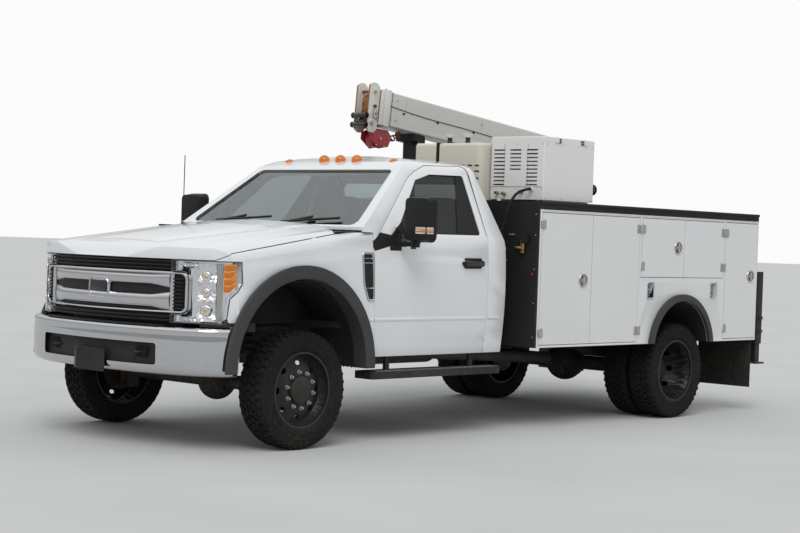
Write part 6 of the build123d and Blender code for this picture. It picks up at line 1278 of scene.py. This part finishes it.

# %% Door handles and the crease low on the door
for side, label in SIDES:
    door = f"door_{label}"
    back_plate = rounded_outline(0.200, 0.078, 0.016, 6, (0.598, 1.272))
    joined([plate(back_plate, 0.0040 * side, (0, side * 1.0175, 0), black_moulding, "Y", 0.0015),
            block((0.212, 0.018, 0.040), (0.592, side * 1.0345, 1.270), trim_black, 0.009, steps=3)],
           f"door_handle_{label}", door)

    for node_name, first, last, body in ((door, 0.425, 1.643, door), ("cab_shell", 0.262, 0.398, "chassis"),
                                         ("fenders", 1.664, 1.700, "chassis")):
        def crease(u, v):
            x, z = first + (last - first) * u, 0.862 + 0.034 * (v - 0.5)
            spot = on_side(node_name, side, x, z)
            swell = 0.0050 * math.sin(math.pi * v) ** 1.5
            return (x, (spot.y if spot is not None else side * 1.02) + side * (swell + 0.0002), z)

        joined([bent(crease, 40, 8, cab_white, smooth=60)], f"crease_{node_name}_{label}", body)

# %% Fender vents: a bright frame round a black insert with three bars
VENT_WIDE = [(0.0, 0.055), (0.346, 0.096), (1.0, 0.103)]
LOW, HIGH, REAR, FRONT = 1.002, 1.328, 1.669, 1.772
VENT_CORNERS = [(REAR, LOW), (1.724, LOW), (1.765, 1.115), (FRONT, HIGH), (REAR + 0.003, HIGH)]
for side, label in SIDES:
    def on_fender(x, z, out=0.0):
        spot = on_side("fenders", side, x, z)
        return Vector((x, (spot.y if spot is not None else side * 1.0) + side * out, z))

    path = []
    for (ax, az), (bx, bz) in zip(VENT_CORNERS, VENT_CORNERS[1:] + VENT_CORNERS[:1]):
        for step in range(6):
            t = 0.06 + 0.88 * step / 5
            path.append(on_fender(ax + (bx - ax) * t, az + (bz - az) * t, 0.003))
    insert = bent(lambda u, v: on_fender(REAR + 0.002 + (between(VENT_WIDE, v) - 0.004) * u,
                                         LOW + 0.004 + (HIGH - LOW - 0.008) * v,
                                         0.0022 + 0.0012 * abs(math.sin(16 * math.pi * v))),
                  6, 96, black_moulding, smooth=20)
    parts = [pipe(path + path[:1], 0.0080, bright_chrome, 12), insert]
    for z in (1.085, 1.262, 1.292):
        wide = between(VENT_WIDE, (z - LOW) / (HIGH - LOW))
        parts.append(pipe([on_fender(REAR + 0.004, z, 0.005), on_fender(REAR + wide - 0.004, z, 0.005)], 0.0042,
                          bright_chrome, 8, False))
    joined(parts, f"fender_vent_{label}", "chassis")

# %% [markdown]
# ## Towing mirrors
# The solid has the housing and its two arms. A real one also has two panes, a lamp low on its front, rubber
# boots where the arms slide, and a parting line round the housing.

# %% Mirror panes, lamps and boots
WRAP = [(1.4690, 1.215), (1.4695, 1.255), (1.4690, 1.290), (1.4600, 1.3115), (1.4350, 1.3190), (1.4050, 1.3235)]
# Panes and their backing plate: width, height, corner, middle height, thickness, place, material
PANES = [(0.196, 0.172, 0.026, 1.636, 0.003, 1.3785, mirror_glass),
         (0.196, 0.098, 0.026, 1.494, 0.003, 1.3785, mirror_glass),
         (0.204, 0.292, 0.032, 1.580, 0.0025, 1.3825, trim_black)]
# Lines round the housing: place, width, height, thickness, material
LINES = [(1.3735, 0.226, 0.316, 0.0035, trim_black), (1.400, 0.2275, 0.3175, 0.0014, soft_rubber)]
# The lamp and its two lenses: low, high, first and last along the wrap, how proud, cells across, material
LAMPS = [(1.478, 1.524, 0.0, 1.0, 0.0016, 8, lamp_housing), (1.486, 1.498, 0.03, 0.97, 0.0034, 6, lens_amber),
         (1.504, 1.518, 0.03, 0.97, 0.0034, 6, warm_bulb)]
for side, label in SIDES:
    y = side * 1.210
    parts = [plate(rounded_outline(wide, high, radius, 5, (y, z)), thick, (x, 0, 0), material, "X", 0.001)
             for wide, high, radius, z, thick, x, material in PANES]
    for x, wide, high, thick, material in LINES:
        loop = [Vector((x, y + a, 1.580 + b)) for a, b in rounded_outline(wide, high, 0.042, 6)]
        parts.append(pipe(loop + loop[:1], thick, material, 8))

    def round_corner(low, high, first, last, proud):
        def rule(u, v):
            t = first + (last - first) * u
            spot = through(WRAP, t)
            run = (through(WRAP, min(1.0, t + 0.02)) - through(WRAP, max(0.0, t - 0.02))).normalized()
            bulge = proud * (0.4 + 0.6 * math.sin(math.pi * v) ** 0.5)
            return (spot.x + run.y * bulge, side * (spot.y - run.x * bulge), low + (high - low) * v)
        return rule

    for *numbers, cells, material in LAMPS:
        parts.append(bent(round_corner(*numbers), 40, cells, material, 0.002, smooth=50))
    for z in (1.400, 1.500):
        for place, wide in ((1.000, 0.024), (1.060, 0.012)):
            parts.append(block((0.052, wide, 0.038), (1.410, side * place, z), soft_rubber, 0.006, steps=3))
    parts.append(block((0.050, 0.016, 0.150), (1.411, side * 1.148, 1.442), trim_black, 0.006, steps=3))
    joined(parts, f"mirror_{label}_fittings", f"door_{label}")

# %% [markdown]
# ## Boom head
# The head is white where its cheeks are painted, bare and rusty along the front edge that the rope rubs, and
# its guide rollers are black. The hook block hangs drawn up under it, with its rusty ring and a few links.

# %% Which finish each face of the boom head gets
def on_head(c):
    """Along the boom, up from its middle line, and across it."""
    away = c - Vector((BOOM_PIVOT.x, BOOM_Y, BOOM_PIVOT.z))
    return away.dot(PLATE_OUT), away.dot(PLATE_UP), away.y


HEAD_START = 2.698
rusty_steel = finish("rusty steel", (0.22, 0.11, 0.06), 0.75, metal=0.2, drift=0.5, rust=0.9, streaks=0.3,
                     rust_scale=30.0,
                     grain=260, bump=0.0008)


def head_rule(c, n):
    out, up, y = on_head(c)
    across = n.dot(PLATE_UP) ** 2 + n.dot(PLATE_OUT) ** 2 > 0.5
    if out > 2.808 and abs(up + 0.136) < 0.075 and (out > 2.832 or across or abs(y) > 0.081):
        return 3
    if up < -0.160 and out < 2.71:
        return 1 if out > 2.550 else 2
    if up < -0.165 and abs(y) < 0.055:
        return 1
    front_edge = n.dot(PLATE_OUT) > 0.7 and out > 2.79
    return 2 if front_edge or (abs(y) < 0.058 and out > HEAD_START - 0.004) else 0


wear("boom_head", [crane_white, hook_red, rusty_steel, trim_black], head_rule)

# %% Hook block, chain and fittings of the head
parts = []
BLOCK = [(-0.138, 0.022), (-0.092, 0.074), (0.045, 0.088), (0.132, 0.052), (0.140, -0.006), (0.030, -0.086),
         (-0.098, -0.066)]
for side in (1, -1):
    cheek = plate(BLOCK, 0.007 * side, (0, side * 0.047, 0), hook_red, "Y", 0.003)
    cheek.data.transform(Matrix.Rotation(-BOOM_LEAN + math.radians(7), 4, "Y"))
    cheek.data.transform(Matrix.Translation(on_boom(2.606, -0.262)))
    parts.append(cheek)
    for out, up in ((2.510, -0.245), (2.700, -0.232), (2.655, -0.322), (2.560, -0.318), (2.610, -0.262)):
        size = 0.016 if (out, up) == (2.610, -0.262) else 0.0085
        parts.append(rod(size, 0.009, on_boom(out, up, side * 0.057), zinc_steel, "Y", 6, 0.001))
# Ring and chain links behind the block
for step, (out, up, flat) in enumerate([(2.462, -0.252, 0), (2.430, -0.236, 1), (2.400, -0.222, 0), (2.370, -0.205, 1),
                                        (2.344, -0.188, 0)]):
    link = ring(0.0195, 0.0055, (0, 0, 0), rusty_steel, "Z" if flat else "Y", 24)
    link.data.transform(Matrix.Diagonal((1.35, 1, 1, 1)))
    link.data.transform(Matrix.Rotation(math.radians(-28), 4, "Y"))
    link.data.transform(Matrix.Translation(on_boom(out, up)))
    parts.append(link)
parts.append(boom_block((0.050, 0.030, 0.020), 2.336, -0.168, 0.0, rusty_steel, 0.003))
for side in (1, -1):
    for out, up, size in ((2.772, -0.150, 0.021), (2.762, 0.120, 0.015), (2.728, -0.060, 0.015)):
        parts.append(rod(size * 1.25, 0.003, on_boom(out, up, side * 0.0815), crane_white, "Y", 28, 0.001))
        parts.append(rod(size, 0.012, on_boom(out, up, side * 0.0885), zinc_steel, "Y", 6, 0.0015))
    for up in (-0.176, -0.096):
        parts.append(rod(0.011, 0.174, on_boom(2.834, up), zinc_steel, "Y", 20, 0.0015))
        parts.append(rod(0.026, 0.012, on_boom(2.834, up, side * 0.078), trim_black, "Y", 28, 0.002))
# The limit switch plug with its loop of wire
parts.append(rod(0.014, 0.018, on_boom(2.752, -0.005, 0.0885), trim_black, "Y", 20, 0.002))
parts.append(pipe([on_boom(2.752, -0.008, 0.094), on_boom(2.775, -0.045, 0.096), on_boom(2.772, -0.095, 0.094),
                   on_boom(2.735, -0.120, 0.090), on_boom(2.705, -0.100, 0.084)], 0.0032, trim_black, 8))
# Rust that has run from the section ends
parts.append(boom_block((0.004, 0.176, 0.276), 2.6955, 0.0, 0.0, rusty_steel, 0.001))
joined(parts, "boom_head_fittings", "boom_head")

parts = []
for side in (1, -1):
    parts.append(boom_block((0.0035, 0.003, 0.296), 2.6405, 0.0, side * 0.1005, rusty_steel, 0.0008))
    for out in (2.56, 2.60):
        parts.append(boom_block((0.006, 0.004, 0.300), out, 0.0, side * 0.1018, rusty_steel, 0.001))
for y in (0.055, -0.055):
    parts.append(boom_block((0.050, 0.022, 0.016), 2.600, 0.158, y, crane_white, 0.002))
    parts.append(rod(0.008, 0.020, on_boom(2.600, 0.164, y), rusty_steel, "Z", 6, 0.001))
joined(parts, "boom_collar", "main_boom")

# %% [markdown]
# ## Running boards
# A grip strip with raised teeth runs along each board, and its brackets are bolted up under the sill.

# %% Grip teeth
BOARD_Y = 0.998
for side, label in SIDES:
    tooth = block((0.0075, 0.086, 0.005), (0, side * BOARD_Y, 0.0), zinc_steel, 0.0012, steps=1)
    parts = []
    for count in range(78):
        x = 0.300 + 0.0172 * count
        spot = touch("running_boards", (x, side * BOARD_Y, 0.9), (0, 0, -1))
        if spot is not None and spot.z < 0.56:
            parts.append(copy_of(tooth, (x, 0, spot.z + 0.0015)))
    bpy.data.objects.remove(tooth)
    if parts:
        print("teeth", len(parts))
        joined(parts, f"running_board_grip_{label}", "chassis")

# %% [markdown]
# ## Seats
# Three seats, each a cushion and a back that swell between their seams, and a headrest on two posts. They are
# filled pieces in woven cloth, each its own closed form over a plain black base.

# %% Woven cloth, and a stuffed form with seams
seat_cloth = finish("seat cloth", (0.085, 0.083, 0.080), 0.92, drift=0.35, grain=1500, bump=0.0012, fine=0.75)
seat_vinyl = finish("seat side vinyl", (0.045, 0.045, 0.047), 0.55, drift=0.2, grain=700, bump=0.0006)


def stuffed(size, place, lean, seams, name):
    """A closed padded form: a subdivided cube rounded into a cushion, crowned, and drawn in along its seams."""
    apart()
    bpy.ops.mesh.primitive_cube_add(size=2)
    obj = bpy.context.object
    edit(obj)
    bpy.ops.mesh.subdivide(number_cuts=23)
    apart()
    for vertex in obj.data.vertices:
        x, y, z = vertex.co
        r = (abs(x) ** 7 + abs(y) ** 7 + abs(z) ** 7) ** (1 / 7)
        x, y, z = x / r, y / r, z / r
        if z > 0.2:
            z += 0.16 * (1 - x * x) * (1 - y * y) * (z - 0.2)
            for seam in seams:
                z -= 0.15 * math.exp(-((y - seam) / 0.035) ** 2) * (z - 0.2)
            if abs(y) < abs(seams[0] if seams else 1):
                for seam in (-0.35, 0.25):
                    z -= 0.10 * math.exp(-((x - seam) / 0.035) ** 2) * (z - 0.2)
        pull = 1 - 0.03 * math.exp(-((z - 0.35) / 0.10) ** 2)
        vertex.co = (x * pull * size[0] / 2, y * pull * size[1] / 2, z * size[2] / 2)
    modified(obj, "SUBSURF", levels=1, render_levels=1)
    obj.rotation_euler = (0, lean, 0)
    obj.location = place
    settle(obj, seat_cloth, smooth=80)
    obj.data.materials.append(seat_vinyl)
    top = Matrix.Rotation(lean, 3, "Y") @ Vector((0, 0, 1))
    for face in obj.data.polygons:
        rise = (face.center - Vector(place)).dot(top) / (size[2] / 2)
        face.material_index = 1 if rise < 0.36 else 0
    joined([obj], name, "chassis")


# %% Cushion, back and headrest of each seat, over its base
SEAT_ROW = [(0.520, 0.560, "driver"), (0.0, 0.420, "middle"), (-0.520, 0.560, "passenger")]
bases = []
for y, wide, label in SEAT_ROW:
    seams = (-0.55, 0.55) if wide > 0.5 else (-0.5, 0.5)
    stuffed((0.510, wide - 0.012, 0.150), (0.820, y, 1.108), math.radians(-5), seams, f"seat_cushion_{label}")
    stuffed((0.560, wide - 0.020, 0.130), (0.478, y, 1.335), math.radians(-102), seams, f"seat_back_{label}")
    stuffed((0.150, 0.225, 0.092), (0.394, y, 1.686), math.radians(-97), (), f"headrest_{label}")
    bases.append(block((0.470, wide - 0.060, 0.055), (0.800, y, 1.020), seat_vinyl, 0.010))
    bases.append(block((0.380, wide - 0.160, 0.120), (0.780, y, 0.930), frame_black, 0.006))
    for slide in (1, -1):
        bases.append(block((0.440, 0.030, 0.022), (0.790, y + slide * (wide / 2 - 0.085), 0.8725), zinc_steel, 0.003))
        bases.append(rod(0.0065, 0.120, (0.402, y + slide * 0.060, 1.625), zinc_steel, "Z", 16, 0.001))
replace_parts(joined(bases, "seat_bases", "chassis"), "seats")
print("seats", len(SEAT_ROW))

# %% [markdown]
# ## Bumpers, tail and bed
# Small working parts: tow loops in the bumper's dark insert, a blank plate on screws, a latch on the tailgate,
# lugs on the jack posts, grip strips on the rear step and folding rings in the bed floor.

# %% Front: tow loops and blank plate
parts = []
insert_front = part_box("bumper_trim")[1][0]
for side in (1, -1):
    spot = touch("bumper_trim", (4.0, side * 0.430, 0.640), (-1, 0, 0))
    x = spot.x if spot is not None else insert_front - 0.03
    # A dark rounded plate behind each loop is painted shade of the loop's recess in the insert
    outline = rounded_outline(0.170, 0.070, 0.020, 5, (side * 0.430, 0.645))
    parts.append(plate(outline, 0.004, (x - 0.001, 0, 0), tread_rubber, "X", 0.001))
    parts.append(ring(0.030, 0.0085, (x + 0.004, side * 0.430, 0.640), frame_black, "Z", 28))
PLATE_FRONT = 3.3335
parts.append(plate(rounded_outline(0.300, 0.148, 0.010, 4, (-0.020, 0.5685)), 0.0012, (PLATE_FRONT, 0, 0), trim_black,
                   "X", 0.0004))
for y in (-0.130, 0.090):
    for z in (0.525, 0.620):
        parts.append(rod(0.0055, 0.0012, (PLATE_FRONT + 0.0006, y, z), zinc_steel, "X", 12, 0.0003))
joined(parts, "front_bumper_fittings", "chassis")

# %% Tail: latch, step strips and jack lugs
parts = []
low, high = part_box("tailgate")
parts.append(plate(rounded_outline(0.220, 0.075, 0.014, 5, (0, high[2] - 0.075)), -0.004, (low[0] - 0.0002, 0, 0),
                   black_moulding, "X", 0.0012))
parts.append(block((0.016, 0.150, 0.026), (low[0] - 0.009, 0, high[2] - 0.082), trim_black, 0.006, steps=3))
for side in (1, -1):
    for z in (low[2] + 0.06, high[2] - 0.05):
        parts.append(bolt((low[0] - 0.0015, side * 0.610, z), "X"))
joined(parts, "tailgate_latch", "tailgate")

parts = []
low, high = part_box("rear_bumper")
for step in range(21):
    y = -1.00 + 0.10 * step
    spot = touch("rear_bumper", (low[0] + 0.11, y, high[2] + 0.5), (0, 0, -1))
    if spot is not None and spot.z < 0.9:
        for row in (0.05, 0.085, 0.12, 0.155):
            turn = (0, 0, 0.6 if step % 2 else -0.6)
            parts.append(block((0.006, 0.060, 0.0035), (low[0] + row, y, spot.z + 0.0014), deck_steel, 0.001, turn, 1))
if parts:
    joined(parts, "rear_step_grip", "chassis")
for side, label in SIDES:
    body = f"stabiliser_leg_{label}"
    low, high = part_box(body)
    mid = ((low[0] + high[0]) / 2, (low[1] + high[1]) / 2)
    parts = [rod(0.022, 0.014, (mid[0], mid[1], high[2] - 0.008), zinc_steel, "Z", 6, 0.002),
             rod(0.012, 0.150, (low[0] + 0.075, mid[1], high[2] - 0.060), zinc_steel, "X", 20, 0.002)]
    joined(parts, f"{body}_fittings", body)

# %% Bed: folding rings
parts = []
for x in (-0.45, -1.35, -2.25, -2.90):
    for side in (1, -1):
        spot = touch("bed_floor", (x, side * 0.56, 1.5), (0, 0, -1))
        if spot is not None:
            parts.append(block((0.090, 0.060, 0.004), (x, side * 0.56, spot.z + 0.0015), zinc_steel, 0.0015))
            parts.append(ring(0.026, 0.0045, (x, side * 0.56, spot.z + 0.0065), zinc_steel, "Z", 28))
joined(parts, "bed_rings", "chassis")

# %% Compressor: the work lamp at its rear, on a bent bracket
parts = [block((0.016, 0.060, 0.004), (-0.726, 1.085, 1.820), zinc_steel, 0.001),
         block((0.004, 0.050, 0.090), (-0.733, 1.085, 1.860), zinc_steel, 0.001),
         rod(0.036, 0.030, (-0.752, 1.085, 1.880), trim_black, "X", 32, 0.005, tip=0.044),
         rod(0.041, 0.006, (-0.770, 1.085, 1.880), lens_clear, "X", 32, 0.002),
         rod(0.0445, 0.010, (-0.768, 1.085, 1.880), black_moulding, "X", 32, 0.002)]
joined(parts, "work_lamp", "chassis")

# %% [markdown]
# ## Rounded panel edges
# Folded and pressed sheet never has a knife edge: a small round along each edge is what catches the light and
# draws the outline of a panel. The big panels are copied from their solids, their edges are rounded, and the
# copies take the place of the solids on the same bodies.

# %% Copies of the panels with rounded edges
FIXED_PANELS = ["fenders", "cab_shell", "cabinet_left", "cabinet_right", "wheel_guards", "rear_bumper"]


def softened(name, width):
    """A copy of a node with its flat faces melted together and its sharp edges rounded."""
    obj = node_copy(name, 0.6)
    rounded(obj, width, 2, 32)
    pick(obj)
    bpy.ops.object.shade_smooth_by_angle(angle=math.radians(28))
    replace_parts(joined([obj], f"{name}_panel", "chassis" if name in FIXED_PANELS else name), name)


PANEL_ROUNDS = [("hood", 0.009), ("fenders", 0.006), ("cab_shell", 0.005), ("door_left", 0.0035),
                ("door_right", 0.0035), ("cabinet_left", 0.003), ("cabinet_right", 0.003), ("wheel_guards", 0.005),
                ("main_boom", 0.006), ("middle_boom", 0.004), ("boom_head", 0.004), ("crane_turret", 0.004),
                ("rear_bumper", 0.003), ("tailgate", 0.003)]
for name, width in PANEL_ROUNDS:
    softened(name, width)
print("panels rounded")

# %% [markdown]
# ## The set
# The floor and the light stay plain: a pale ground that fades into a pale room, a broad soft sky and one soft
# lamp. The sky is white to the camera and through glass, and reflections see it rise from grey to white. The
# light that it gives is weaker, so that the truck's colours stay as they were written.

# %% Floor, sky and lamp
bpy.context.scene.view_settings.view_transform = "Standard"
bpy.ops.mesh.primitive_plane_add(size=900)
floor = bpy.context.object
floor.name = "floor"
floor_look, tree, shader = new_look("floor", {"Roughness": 0.9, "Specular IOR Level": 0.1})
soft = noise(tree, stretched(tree, (0.6, 0.6, 0.6)), 1.0, 2.0)
tree.links.new(mix_colour(tree, spread(tree, soft, 0.3, 0.7), (0.56, 0.56, 0.555, 1), (0.60, 0.60, 0.595, 1)),
               shader.inputs["Base Color"])
floor.data.materials.append(floor_look)

world = bpy.data.worlds.new("sky")
bpy.context.scene.world = world
world.use_nodes = True
tree = world.node_tree
path = node(tree, "ShaderNodeLightPath")
seen = maths(tree, "MAXIMUM", path.outputs["Is Camera Ray"],
             maths(tree, "MAXIMUM", path.outputs["Is Glossy Ray"], path.outputs["Is Transmission Ray"]))
background = tree.nodes["Background"]
place = node(tree, "ShaderNodeTexCoord").outputs["Generated"]
climb = node(tree, "ShaderNodeSeparateXYZ", [(0, place)]).outputs["Z"]
sky = mix_colour(tree, spread(tree, climb, 0.0, 0.55), (0.34, 0.36, 0.37, 1), (1.0, 1.0, 1.0, 1))
glossy = mix_colour(tree, path.outputs["Is Glossy Ray"], (1, 1, 1, 1), sky)
tree.links.new(mix_colour(tree, seen, (0.96, 0.98, 1.0, 1), glossy), background.inputs["Color"])
tree.links.new(spread(tree, seen, 0.0, 1.0, 0.70, 0.97), background.inputs["Strength"])

bpy.ops.object.light_add(type="SUN", rotation=(math.radians(38), math.radians(14), math.radians(112)))
sun = bpy.context.object
sun.name = "soft sun"
sun.data.energy = 1.25
sun.data.angle = math.radians(35)
print("set ready")
